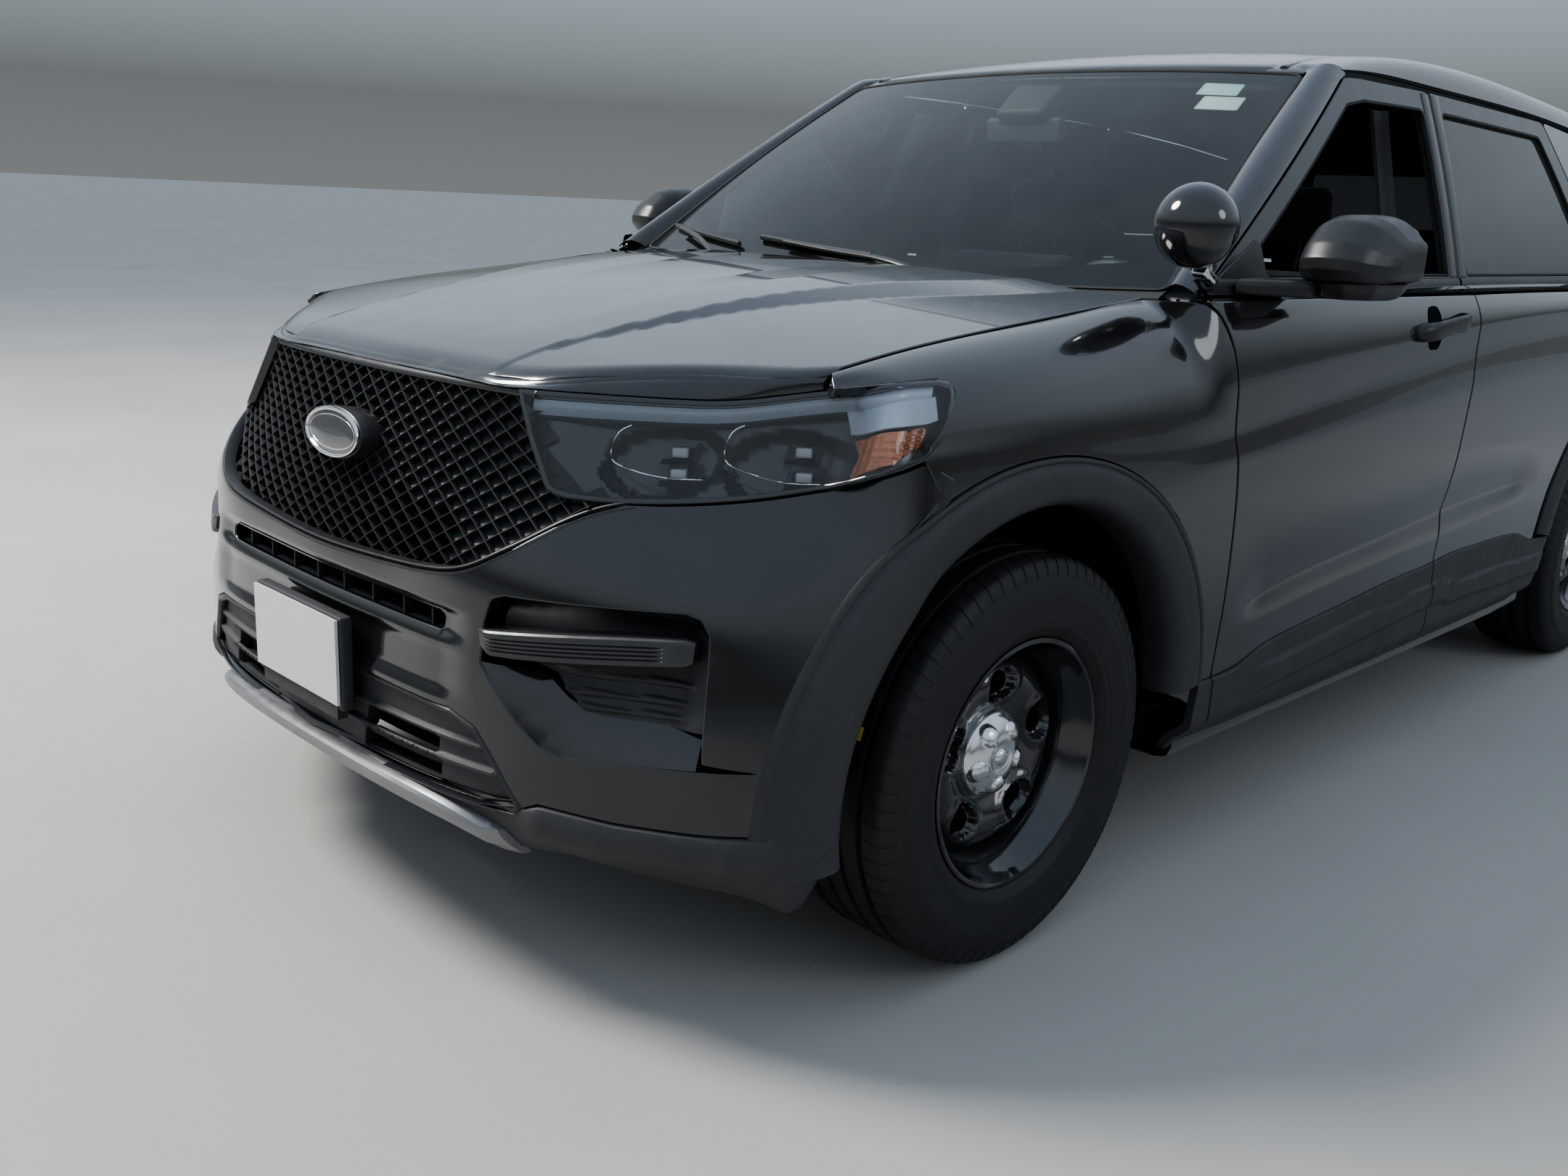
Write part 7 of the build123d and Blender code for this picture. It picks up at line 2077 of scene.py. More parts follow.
def ws(u, t):
    """Windshield: u is the distance across at the foot, t runs 0 at the foot to 1000 at the head."""
    u, t = np.broadcast_arrays(np.asarray(u, float), np.asarray(t, float))
    s_ = t / 1000.0
    a = np.stack([_wy[1](u), _wy[0](u), _wy[2](u)], -1)
    b = np.stack([_wy[4](u), _wy[3](u), _wy[5](u)], -1)
    p = a * (1 - s_[..., None]) + b * s_[..., None]
    bow = np.sin(np.pi * np.clip(s_, 0, 1)) * 14.0
    p[..., 0] += bow * 0.55
    p[..., 2] += bow * 0.83
    return p


def ws_in(d):
    def f(u, t):
        p = ws(u, t)
        p = p - np.array([0.55, 0, 0.83]) * d
        return p
    return f


wo_ = fillet([(-802, 4), (802, 4), (802, 994), (-802, 994)], [26, 26, 40, 40], 6)
gp = panel("windshield_glass", ws_in(1.0), wo_, M["glass"], slot="clear_glass", hint=(1, 0, 1), du=70, dv=70, side="C", depth=4.5, hem=0, step=35, edge=0.8)
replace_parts(gp[0], "windshield")
# black printed border under the glass
inn = fillet([(-758, 118), (-500, 74), (0, 60), (500, 74), (758, 118), (762, 958), (-762, 958)], [20, 60, 120, 60, 20, 40, 40], 8)
panel("windshield_frit", ws_in(2.6), wo_, M["frit"], slot="clear_glass", hint=(1, 0, 1), us=np.arange(-800, 801, 40), vs=list(np.arange(10, 1000, 40)), side="C", depth=1.0, hem=0, step=22, edge=0.4, holes=[inn], hole_depth=1.0, hole_hem=0, hole_edge=0.4)
# thin rubber edge round the glass
rows = []
for i_, d in ((-4.0, 9.0), (-3.4, -1.2), (0.5, -2.2), (4.0, -1.4), (5.5, 0.5)):
    P = inset2(resample(wo_, 30), i_)
    rows.append(ws_in(d)(P[:, 0], P[:, 1]))
Soup().grid(np.array(rows), close_u=True).make("windshield_edge", M["rubber"], slot="dark_plastic", sharp=40)
# blank stickers in the upper corner on the driver's side, and the label strip low down
for nm, q, m_ in (("upper", [(560, 868), (672, 866), (672, 930), (562, 932)], "sticker"), ("lower", [(588, 790), (700, 788), (700, 858), (590, 860)], "sticker_white")):
    panel("windshield_label_" + nm, ws_in(3.4), fillet(q, 5, 3), M[m_], slot="plate_metal", hint=(1, 0, 1), du=30, dv=30, side="C", depth=0.6, hem=0, step=20, edge=0.3)
# camera housing behind the glass and the inner mirror
s = Soup()
s.add(*(lambda q: (q.verts(), q.f))(rbox(ws(0.0, 900.0) - np.array([26, 0, 40]), (120, 150, 46), 14, 4, rot_y(40))))
s.add(*(lambda q: (q.verts(), q.f))(rbox(ws(0.0, 820.0) - np.array([70, 0, 66]), (26, 236, 66), 12, 4, rot_y(8))))
s.make("mirror_inside", M["dash"], slot="dark_plastic", sharp=35)

# pillar beside the glass: body-colour face between the glass and the door frame
zs = np.linspace(0.0, 1.0, 26)
foot_g, head_g = np.array([1092.0, 806.0, 1172.0]), np.array([398.0, 683.0, 1640.0])
pts = ws(np.full(26, 802.0), zs * 1000.0)
# door side line
dl = np.array([(1122, 1170), (1104, 1184), (338, 1641), (318, 1646)], float)
dl2 = along(dl, zs)
rows = []
for q, dv_ in ((0.0, -7.0), (0.02, -1.0), (0.07, 2.2), (0.2, 5.0), (0.42, 6.5), (0.65, 5.5), (0.85, 2.6), (0.96, 0.0), (1.0, -3.5)):
    A3 = pts
    B3 = green(dl2[:, 0], dl2[:, 1])
    P = A3 * (1 - q) + B3 * q
    n_ = np.cross(np.gradient(P, axis=0), B3 - A3)
    n_ /= np.linalg.norm(n_, axis=1, keepdims=True)
    n_ *= np.sign(n_[:, 2:3] + n_[:, 1:2])
    bowf = math.sin(math.pi * q) * 16.0
    rows.append(P + n_ * (dv_ + bowf))
s = Soup().grid(np.array(rows))
s.mirror()
s.make("pillar_covers", M["paint"], slot="gloss_black", sharp=40)
# corner where the pillar runs into the roof side
kc = np.linspace(0.0, 1.0, 15)
end_ = along(np.array([r[-1] for r in rows])[::-1], kc)
pre_ = along(np.array([r[-2] for r in rows])[::-1], kc)
gx_ = np.array([768.0, 735.0, 700.0])
end_ = np.vstack([end_, ws(gx_, np.full(3, 1000.0)) + np.array([0, 0, 0.5])])
pre_ = np.vstack([pre_, ws(gx_, np.full(3, 960.0)) + np.array([0, 0, 0.5])])


def rail_row(x):
    q = rail_section(x)
    m = along(np.array([(x, y, z) for y, z in q][3:18]), kc)
    return np.vstack([m, [(x, 626.0, m[-1, 2] - 2.5), (x, 616.0, m[-1, 2] - 4.5), (x, 606.0, m[-1, 2] - 5.0)]])


rail_, back_ = rail_row(330.0), rail_row(308.0)
L_ = np.linalg.norm(end_ - rail_, axis=1, keepdims=True)
ta, tb = rail_ - back_, pre_ - end_
ta, tb = ta / np.linalg.norm(ta, axis=1, keepdims=True) * L_, tb / np.linalg.norm(tb, axis=1, keepdims=True) * L_
s = Soup()
rows_c = [rail_ - ta * 0.12 - np.array([0, 0.6, 1.2])]
for q in np.linspace(0, 1, 10):
    rows_c.append((2 * q ** 3 - 3 * q ** 2 + 1) * rail_ + (q ** 3 - 2 * q ** 2 + q) * ta + (3 * q ** 2 - 2 * q ** 3) * end_ + (q ** 3 - q ** 2) * tb)
rows_c.append(end_ + tb * 0.12 - np.array([0.6, 0.6, 0.8]))
s.grid(np.array(rows_c))
s.mirror()
s.make("roof_corners", M["paint"], slot="gloss_black", sharp=50)
# inner lining of the pillar and windshield header
s = Soup()
rows = []
for q, d in ((0.0, 18), (0.3, 38), (0.7, 48), (1.0, 52)):
    P = pts * (1 - q) + green(dl2[:, 0], dl2[:, 1]) * q
    rows.append(P - np.array([0.35, 0.62, 0.4]) * d)
s.grid(np.array(rows)); s.mirror()
s.make("pillar_linings", M["headliner"], slot="seat_cloth", sharp=45)
s = Soup()
u_ = np.linspace(-800, 800, 33)
s.grid(np.array([ws_in(14.0)(u_, np.full(33, 990.0)), ws_in(18.0)(u_, np.full(33, 962.0)), ws_in(40.0)(u_, np.full(33, 985.0)), ws_in(44.0)(u_, np.full(33, 1060.0))]))
s.make("header_lining", M["headliner"], slot="seat_cloth", sharp=45)
# roof's front edge cap over the glass
s = Soup()
h_ = ws(u_, np.full(33, 1000.0))
y_r = h_[:, 1]
xr = 428 - 30 * (np.abs(y_r) / 600.0) ** 2
rf_ = roof_skin(xr - 12, y_r)
g0 = np.column_stack([h_[:, 0] + 2, h_[:, 1], h_[:, 2] - 2]); g1 = np.column_stack([h_[:, 0] - 4, y_r, h_[:, 2] + 2]);
g2 = np.column_stack([rf_[:, 0] + 6, y_r, np.minimum(rf_[:, 2] - 1.5, h_[:, 2] + 16)]); g3 = np.column_stack([rf_[:, 0] - 14, y_r, rf_[:, 2] - 9])
s.grid(np.array([g0, g1, g2, g3]))
s.make("roof_front_edge", M["plastic_fine"], slot="gloss_black", sharp=40)

# cowl grille at the foot of the glass, and wipers
s = Soup()
yy = np.linspace(-800, 800, 65)
gx = ws(yy, np.full(65, 0.0))
hxr = np.interp(np.abs(yy), [0, 150, 300, 450, 600, 710, 790, 806], [1262, 1258, 1248, 1230, 1205, 1190, 1176, 1170])
hz = hood(hxr, yy)[:, 2]
rows = [np.column_stack([gx[:, 0] - 8, gx[:, 1], gx[:, 2] + 1]), np.column_stack([gx[:, 0] + 8, gx[:, 1], gx[:, 2] - 6]), np.column_stack([gx[:, 0] + 22, gx[:, 1], gx[:, 2] - 14])]
for q in np.linspace(0.3, 1.0, 9):
    rows.append(np.column_stack([gx[:, 0] * (1 - q) + (hxr - 6) * q, yy, (gx[:, 2] - 16) * (1 - q) + (hz - 24) * q + 2.2 * np.cos(yy / 6.5)]))
s.grid(np.array(rows))
s.make("cowl_panel", M["plastic"], slot="dark_plastic", sharp=60)
s = Soup()
for y_p, tip_u, tip_t, pv in ((330, -250, 90, 1.0), (-330, -720, 96, 1.0)):
    p0 = ws(np.array([float(y_p)]), np.array([0.0]))[0] + np.array([34, 0, -6])
    tip = ws(np.array([float(tip_u)]), np.array([float(tip_t)]))[0] + np.array([0.55, 0, 0.83]) * 15
    mid_ = p0 * 0.45 + tip * 0.55 + np.array([8, 0, 14])
    path = smooth_line([p0 + np.array([0, 14, -4]), p0 + np.array([2, -20, 10]), mid_, tip * 0.9 + mid_ * 0.1], 16)
    s.add(*(lambda q: (q.verts(), q.f))(sweep(path, [(-7, -2), (-6, 3), (-2, 5), (2, 5), (6, 3), (7, -2)], up=(0.55, 0, 0.83))))
    b1 = ws(np.array([tip_u - 300.0 * 0.3 if tip_u > -600 else -770.0]), np.array([tip_t + 14.0]))[0] + np.array([0.55, 0, 0.83]) * 6
    uu = np.linspace(tip_u + 330.0, b1[1], 22)
    bl = ws(uu, np.linspace(66.0, tip_t + 14.0, 22)) + np.array([0.55, 0, 0.83]) * 7.0
    s.add(*(lambda q: (q.verts(), q.f))(sweep(bl, [(-5, -5), (-7, 2), (-4, 7), (1, 8), (5, 5), (4, -2), (1, -6)], up=(0.55, 0, 0.83))))
    G, _ = lathe([(-20, 15), (6, 15), (9, 13), (11, 7), (11.5, 0.1)], p0 + np.array([0, 0, 2]), 24, "z")
    s.grid(G, close_u=True)
s.make("wipers", M["plastic_fine"], slot="dark_plastic", sharp=40)


# ---------------------------------------------------------------- door mirrors
def add(s, q):
    s.add(q.verts(), q.f)


_my = [966, 974, 986, 1010, 1035, 1060, 1090, 1112, 1126, 1132, 1135.6]
_xf = cs(_my, [880, 906, 925, 936, 938, 934, 918, 890, 858, 838, 812])
_xr = cs(_my, [776, 766, 756, 742, 730, 718, 703, 692, 690, 693, 703])
_zl = cs(_my, [1216, 1208, 1204.5, 1203, 1203, 1203, 1203, 1205, 1210, 1215, 1226])
_zh = cs(_my, [1284, 1302, 1318, 1331, 1334, 1333.5, 1325, 1306, 1290, 1281, 1266])
M_SEC = resample(fillet([(0.0, 0.08), (0.0, 0.93), (0.10, 1.0), (0.46, 0.985), (0.66, 0.90), (0.90, 0.60), (1.0, 0.36), (0.985, 0.20), (0.90, 0.04), (0.78, 0.0), (0.08, 0.0)], [0.05, 0.05, 0.10, 0.16, 0.22, 0.26, 0.08, 0.10, 0.08, 0.10, 0.05], 5) * 100.0, 4.0) / 100.0


def mirror_ring(y, d=0.0):
    xf, xr, zl, zh = float(_xf(y)) - d, float(_xr(y)) + d, float(_zl(y)) + d, float(_zh(y)) - d
    return np.column_stack([xr + (xf - xr) * M_SEC[:, 0], np.full(len(M_SEC), float(y)), zl + (zh - zl) * M_SEC[:, 1]])


ys_ = np.concatenate([np.linspace(966, 1110, 22), [1115, 1120, 1124, 1128, 1131, 1133.5, 1135, 1135.6]])
s = Soup()
G = [mirror_ring(y) for y in ys_]
cap = G[-1].mean(0); cap[1] = 1135.8
G = [G[0] * 0.3 + np.array([826, 963, 1246]) * 0.7, G[0] * 0.85 + np.array([826, 963, 1246]) * 0.15 - np.array([0, 2.0, 0])] + G + [G[-1] * 0.85 + cap * 0.15, G[-1] * 0.3 + cap * 0.7]
s.grid(np.array(G), close_u=True, cap=True)
mu = s.make("mirror_shell_left", M["plastic_fine"], body="front_left_door", slot="dark_plastic", sharp=50)
mur = s.flipped().make("mirror_shell_right", M["plastic_fine"], body="front_right_door", slot="dark_plastic", sharp=50)
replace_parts(mu, "mirror_left"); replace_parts(mur, "mirror_right")
# foot under the shell, in line with the arm
s = Soup()
rows = []
for z, k, dy in ((1203.5, 0.94, 0), (1201.5, 0.955, 0), (1199, 0.95, 0), (1186, 0.90, -2), (1176, 0.82, -5), (1171.5, 0.70, -8), (1170.5, 0.4, -8)):
    o_ = fillet([(905, 1014), (700, 1010), (690, 1112), (740, 1122), (850, 1112), (905, 1070)], [10, 18, 26, 20, 30, 24], 6)
    c_ = np.array([800.0, 1062.0])
    q = c_ + (o_ - c_) * k
    q[:, 0] = np.where(q[:, 1] < 1030, c_[0] + (o_[:, 0] - c_[0]) * max(k, 0.93), q[:, 0])
    rows.append(np.column_stack([q[:, 0], q[:, 1] + dy, np.full(len(q), z)]))
s.grid(np.array(rows), close_u=True, cap=True)
s.make("mirror_foot_left", M["plastic_fine"], body="front_left_door", slot="dark_plastic", sharp=46)
s.flipped().make("mirror_foot_right", M["plastic_fine"], body="front_right_door", slot="dark_plastic", sharp=46)
# mirror glass on the rear face
s = Soup()
gl = fillet([(984, 1222), (1098, 1218), (1116, 1240), (1112, 1306), (1090, 1318), (990, 1304)], [16, 22, 26, 26, 22, 16], 5)
cg = gl.mean(0)
mx = lambda P: np.column_stack([_xr(np.clip(P[:, 0], 968, 1120)) - 0.9, P[:, 0], P[:, 1]])
rows = [mx(cg + (gl - cg) * k) for k in (1.0, 0.98, 0.8, 0.5, 0.2, 0.01)]
rows[0][:, 0] += 2.0
s.grid(np.array(rows), close_u=True)
s.make("mirror_glass_left", M["mirror_glass"], body="front_left_door", slot="plate_metal", sharp=40)
s.flipped().make("mirror_glass_right", M["mirror_glass"], body="front_right_door", slot="plate_metal", sharp=40)
# arm and its base plate at the foot of the window
s = Soup()
P = smooth_line([(922, 905, 1186), (915, 935, 1187), (900, 968, 1187.5), (880, 996, 1187), (868, 1012, 1187)], 9)
rows = []
for i, p in enumerate(P):
    t = i / (len(P) - 1.0)
    w_, h_ = 92 - 40 * t, 17.5 - 1.5 * t
    th_ = np.linspace(0, 2 * math.pi, 29)[:-1]
    c_, s_ = np.cos(th_), np.sin(th_)
    rows.append(np.column_stack([p[0] + w_ * np.sign(c_) * np.abs(c_) ** 0.4, np.full(28, p[1]), p[2] + h_ * np.sign(s_) * np.abs(s_) ** 0.34]))
s.grid(np.array(rows), close_u=True, cap=True)
s.make("mirror_arm_left", M["plastic_fine"], body="front_left_door", slot="dark_plastic", sharp=50)
s.flipped().make("mirror_arm_right", M["plastic_fine"], body="front_right_door", slot="dark_plastic", sharp=50)
panel("mirror_base_left", green_off(-4.0), fillet([(1096, 1171), (1088, 1186), (884, 1278), (868, 1268), (862, 1206), (820, 1200), (812, 1171)], [3, 8, 10, 14, 16, 10, 4], 5), M["plastic_fine"], body="front_left_door", slot="dark_plastic", hint=(0, 1, 0), du=16, dv=14, side="both", depth=14, hem=6, step=9, edge=3.5)

# ---------------------------------------------------------------- spotlight on the left pillar
sc = np.array([1188.0, 905.0, 1298.0])


def turned(G, R, c):
    return (np.array(G) - c) @ R.T + c


SR = rot_z(24) @ rot_y(-6)
s = Soup()
prof = [(-46, 62.4), (-42, 66.0), (-36, 69.4), (-34.5, 70.6), (-33, 71.8), (-31, 73.0)]
for a_ in np.linspace(math.asin(-29 / 77.5), math.pi / 2 - 0.02, 30):
    prof.append((77.5 * math.sin(a_), 77.5 * math.cos(a_)))
G, _ = lathe(prof, sc, 96, "x")
s.grid(turned(G, SR, sc), close_u=True, cap=True)
sp = s.make("spotlight_shell", M["trim_gloss"], slot="gloss_plastic", sharp=22)
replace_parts(sp, "spotlight")
s = Soup()
G, _ = lathe([(-46, 62.2), (-50, 64.6), (-53, 64.8), (-55, 63.0), (-54, 59.8), (-50, 58.6)], sc, 96, "x")
s.grid(turned(G, SR, sc), close_u=True)
s.make("spotlight_ring", M["trim_gloss"], slot="gloss_plastic", sharp=30)
s = Soup()
G, _ = lathe([(-50.5, 59.5), (-55, 50), (-58.5, 36), (-60.5, 18), (-61, 0.1)], sc, 72, "x")
s.grid(turned(G, SR, sc), close_u=True)
s.make("spotlight_lens", M["lens"], slot="clear_glass", sharp=40)
s = Soup()
G, _ = lathe([(-49, 58), (-38, 52), (-22, 38), (-12, 20), (-9, 9), (-20, 8), (-21, 0.1)], sc, 72, "x")
s.grid(turned(G, SR, sc), close_u=True)
s.make("spotlight_reflector", M["chrome"], slot="lamp_front", sharp=40)
s = Soup()
add(s, tube(smooth_line([(1104, 902, 1196), (1124, 904, 1206), (1146, 905, 1216), (1160, 905, 1230), (1166, 905, 1244)], 5), 11.0, 20))
G, _ = lathe([(-3, 14), (4, 17), (9, 17), (12, 14), (12, 9)], (1104, 902, 1196), 28, "x")
s.grid(G, close_u=True)
s.make("spotlight_stem", M["plastic_fine"], slot="dark_plastic", sharp=40)
s = Soup()
add(s, rbox((1146, 906, 1222), (24, 32, 40), 5, 3, rot_y(-32)))
add(s, rbox((1130, 906, 1206), (36, 26, 16), 4, 3, rot_y(-26)))
for yy in (888, 924):
    G, _ = lathe([(-5, 0.1), (-5, 8.5), (-3.5, 9.5), (3.5, 9.5), (5, 8.5), (5, 0.1)], (1148, yy, 1226), 24, "y")
    s.grid(G, close_u=True)
s.make("spotlight_bracket", M["chrome"], slot="plate_metal", sharp=30)


# ---------------------------------------------------------------- door handles
def handle(dx, name, body):
    S_ = lambda x, z: side(np.atleast_1d(np.asarray(x, float)), side_v(np.atleast_1d(np.asarray(x, float)), np.atleast_1d(np.asarray(z, float))))
    s = Soup()
    # round cup behind the pull, in the near-black material: painted shade in the recess
    n_ = 48
    th = np.linspace(0, 2 * math.pi, n_, endpoint=False)
    rows = []
    for r, d in ((1.00, 0.6), (0.96, 1.2), (0.90, 0.4), (0.80, -0.6), (0.5, -0.9), (0.02, -1.0)):
        cc, ss = np.cos(th), np.sin(th)
        X, Z = 168 + dx + 36 * r * np.sign(cc) * np.abs(cc) ** 0.6, 1091 + 50 * r * np.sign(ss) * np.abs(ss) ** 0.75
        P = S_(X, Z); P[:, 1] += d + 1.2
        rows.append(P)
    s.grid(np.array(rows), close_u=True)
    s.make("handle_cup_" + name + "_left", M["void"], body=body, slot="gloss_plastic", sharp=40)
    s.flipped().make("handle_cup_" + name + "_right", M["void"], body=body.replace("_left_", "_right_"), slot="gloss_plastic", sharp=40)
    s = Soup()
    xs_ = np.concatenate([[272, 271, 268, 262], np.linspace(252, 14, 22), [6, -1, -5, -7]])
    zc_ = cs([-7, 60, 140, 220, 272], [1104, 1101, 1096, 1086, 1079])(xs_)
    hh_ = np.interp(xs_, [-7, -5, 0, 14, 60, 150, 220, 256, 268, 272], [6, 11, 16, 21, 20, 19.5, 22, 20, 12, 5])
    out_ = np.interp(xs_, [-7, -4, 4, 22, 60, 150, 225, 250, 264, 272], [6, 12, 19, 27, 33, 35, 32, 25, 15, 7])
    th = np.linspace(0, 2 * math.pi, 33)[:-1]
    rows = []
    for x, zc, h_, o_ in zip(xs_, zc_, hh_, out_):
        base = S_(x + dx, zc)[0]
        c_, q_ = np.cos(th), np.sin(th)
        th_k = 8.0 if 24 < x < 226 else 8.0 + o_ * 0.42
        y = base[1] + o_ - th_k + th_k * np.sign(c_) * np.abs(c_) ** 0.7
        z = zc + h_ * np.sign(q_) * np.abs(q_) ** 0.7
        rows.append(np.column_stack([np.full(32, x + dx), y, z]))
    s.grid(np.array(rows), close_u=True, cap=True)
    s.make("handle_pull_" + name + "_left", M["plastic_fine"], body=body, slot="dark_plastic", sharp=50)
    s.flipped().make("handle_pull_" + name + "_right", M["plastic_fine"], body=body.replace("_left_", "_right_"), slot="dark_plastic", sharp=50)


handle(0.0, "front", "front_left_door")
handle(-1176.0, "rear", "rear_left_door")


# ---------------------------------------------------------------- inside of the doors
def card_y(x, z, x0, x1):
    t = (x - x0) / (x1 - x0)
    y = 846.0 + 0 * x
    arm = sstep(0.10, 0.2, t) * sstep(0.92, 0.8, t) * (sstep(690, 712, z) - sstep(748, 764, z))
    y = y - 34 * arm
    pock = sstep(0.12, 0.2, t) * sstep(0.9, 0.8, t) * (sstep(420, 440, z) - sstep(560, 578, z))
    y = y + 12 * pock
    y = y + 16 * sstep(560, 340, z) * 0.6
    pad = sstep(0.05, 0.12, t) * sstep(0.97, 0.9, t) * (sstep(790, 806, z) - sstep(1060, 1080, z))
    y = y - 6 * pad
    return y


for nm, loopv, x0, x1, bd in (("front", fd_v, -100.0, 1130.0, "front_left_door"), ("rear", rd_v, -1260.0, -110.0, "rear_left_door")):
    L = resample(loopv, 16)
    top3 = side(L[:, 0], L[:, 1])
    xz = inset2(top3[:, [0, 2]], 9.0)
    s = Soup()
    a0 = top3.copy(); a0[:, 1] -= 13.0
    a0[:, [0, 2]] = inset2(top3[:, [0, 2]], 1.2)
    a1 = np.column_stack([xz[:, 0], np.minimum(top3[:, 1] - 30, 905.0), xz[:, 1]])
    a2 = np.column_stack([xz[:, 0], np.full(len(L), 866.0), xz[:, 1]])
    s.grid(np.array([a0, a1, a2]), close_u=True)
    s.make("door_edge_" + nm + "_left", M["paint_low"], body=bd, slot="gloss_black", sharp=50)
    s.flipped().make("door_edge_" + nm + "_right", M["paint_low"], body=bd.replace("_left_", "_right_"), slot="gloss_black", sharp=50)
    cs_ = lambda x, z, x0=x0, x1=x1: np.stack([np.asarray(x, float), card_y(np.asarray(x, float), np.asarray(z, float), x0, x1), np.asarray(z, float)], -1)
    panel("door_card_" + nm + "_left", cs_, inset2(top3[:, [0, 2]], 8.0), M["dash"], body=bd, slot="dark_plastic", hint=(0, -1, 0), du=18, dv=14, side="both", depth=24, hem=0, step=16, edge=5.0)
for nm, cad in (("front_left", "front_door_left"), ("front_right", "front_door_right"), ("rear_left", "rear_door_left"), ("rear_right", "rear_door_right")):
    a_, b_ = nm.split("_")
    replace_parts(ALL["door_skin_" + a_ + "_" + b_], cad)
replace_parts(ALL["fender_skin_left"], "front_fenders")
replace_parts(ALL["quarter_skin_left"], "quarter_panels")


# ---------------------------------------------------------------- tailgate
_gx = tab([(600, -2398), (722, -2412), (800, -2421), (860, -2424), (1000, -2420), (1090, -2412), (1170, -2398), (1200, -2384), (1285, -2350), (1400, -2304), (1566, -2232), (1620, -2208)])
_gf = tab([(0, 0), (300, 8), (600, 28), (760, 52), (800, 60)])


def gate(y, z, d=0.0):
    y, z = np.broadcast_arrays(np.asarray(y, float), np.asarray(z, float))
    rec = sstep(1006, 992, z) * sstep(792, 806, z) * sstep(330, 314, np.abs(y)) * 15.0
    cr = 6.0 * sstep(1030, 1062, z) * sstep(1120, 1092, z)
    x = _gx(z) + _gf(np.abs(y)) + rec - 0 * z - cr * 0.5 + d
    return np.stack([x, y, z], -1)


g_half = [(736, 722), (738, 900), (738, 1185), (728, 1285), (690, 1420), (640, 1560), (632, 1590)]
g_out = fillet(np.array([(0, 722)] + g_half + [(0, 1590)] + [(-y, z) for y, z in g_half[::-1]]), [0, 20, 0, 0, 0, 0, 0, 12, 0, 12, 0, 0, 0, 0, 0, 20], 5)
g_win = fillet([(-600, 1205), (600, 1205), (540, 1520), (-540, 1520)], [34, 34, 30, 30], 7)
tg = panel("tailgate_skin", gate, g_out, M["paint"], body="tailgate", slot="gloss_black", hint=(-1, 0, 0), du=20, vs=list(np.arange(730, 1600, 11.0)), side="C", depth=22, hem=18, step=13, edge=4.0, holes=[g_win], hole_depth=10, hole_hem=10, hole_edge=2.5)
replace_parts(tg[0], "tailgate")
gg = panel("tailgate_glass", lambda y, z: gate(y, z, -1.5), fillet([(-668, 1196), (668, 1196), (664, 1260), (600, 1480), (566, 1534), (-566, 1534), (-600, 1480), (-664, 1260)], [26, 26, 20, 20, 26, 26, 20, 20], 6), M["privacy"], body="tailgate", slot="privacy_glass", hint=(-1, 0, 0), du=40, dv=36, side="C", depth=5, hem=0, step=24, edge=1.5)
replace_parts(gg[0], "tailgate_window")
panel("tailgate_lining", lambda y, z: gate(y, z, 34.0), fillet([(-700, 760), (700, 760), (700, 1190), (600, 1540), (-600, 1540), (-700, 1190)], 30, 5), M["dash"], body="tailgate", slot="dark_plastic", hint=(1, 0, 0), du=40, dv=30, side="C", depth=12, hem=0, step=24, edge=5.0, holes=[fillet([(-604, 1200), (604, 1200), (544, 1524), (-544, 1524)], 34, 5)], hole_depth=12, hole_hem=0, hole_edge=3.0)
# bar above the plate with the handle recess, and the plate frame
s = Soup()
y_ = np.linspace(-560, 560, 57)
rows = []
for z, d in ((1000, 3), (1002, -9), (1008, -15), (1022, -18), (1038, -17), (1046, -12), (1049, 2)):
    fade = 1 - 0.55 * (np.abs(y_) / 560.0) ** 3
    P = gate(y_, np.full(57, float(z)))
    P[:, 0] += np.where(d < 0, d * fade, d)
    rows.append(P)
s.grid(np.array(rows)); s.add(*(lambda q: (q.verts(), q.f))(Soup().grid(np.array([[r[0] for r in rows], [r[0] + np.array([8.0, 0, 0]) for r in rows]]))))
s.make("tailgate_bar", M["satin_bar"], body="tailgate", slot="gloss_plastic", sharp=40)
rbx = rbox((float(_gx(896)) + 4, 0, 896), (14, 330, 176), 6, 3)
s = Soup(); add(s, rbx)
s.make("rear_plate_frame", M["plastic"], body="tailgate", slot="dark_plastic", sharp=35)
# spoiler over the window
s = Soup()
ys2 = np.linspace(-640, 640, 65)
a_ = np.abs(ys2) / 640.0
sec = []
zr = lambda x: ROOF_Z(x) - CROWN(x) * (ys2 / 600.0) ** 2
x_tip = -2322 + 34 * a_ ** 2.6
zt = np.minimum(zr(-2100.0) - 22, 1764)
for k in np.linspace(0, 1, 14):
    x = -2066 * (1 - k) + x_tip * k
    z = zr(-2066.0) * (1 - k) + zt * k - 1.5 + 6.0 * math.sin(math.pi * k) - 4 * a_ ** 4 * k
    sec.append(np.column_stack([x + 0 * ys2, ys2, np.minimum(z, 1764.0)]))
e = sec[-1]
for dx, dz in ((-3.0, -3.0), (-4.0, -9.0), (-2.0, -16.0), (4.0, -22.0), (16.0, -26.0)):
    sec.append(e + np.array([dx, 0, dz]))
for k in (0.3, 0.6, 1.0):
    q = sec[-1]
    sec.append(np.column_stack([q[:, 0] * (1 - k) + (-2226 + 20 * a_) * k, ys2, q[:, 2] * (1 - k) + (1572 + 0 * ys2) * k]))
sec.insert(0, sec[0] + np.array([0, 0, -20]))
G = np.array(sec)
s.grid(G)
for e_ in (0, -1):
    s.grid(np.array([G[:, e_], G[:, e_] * 0 + G[:, e_].mean(0)]))
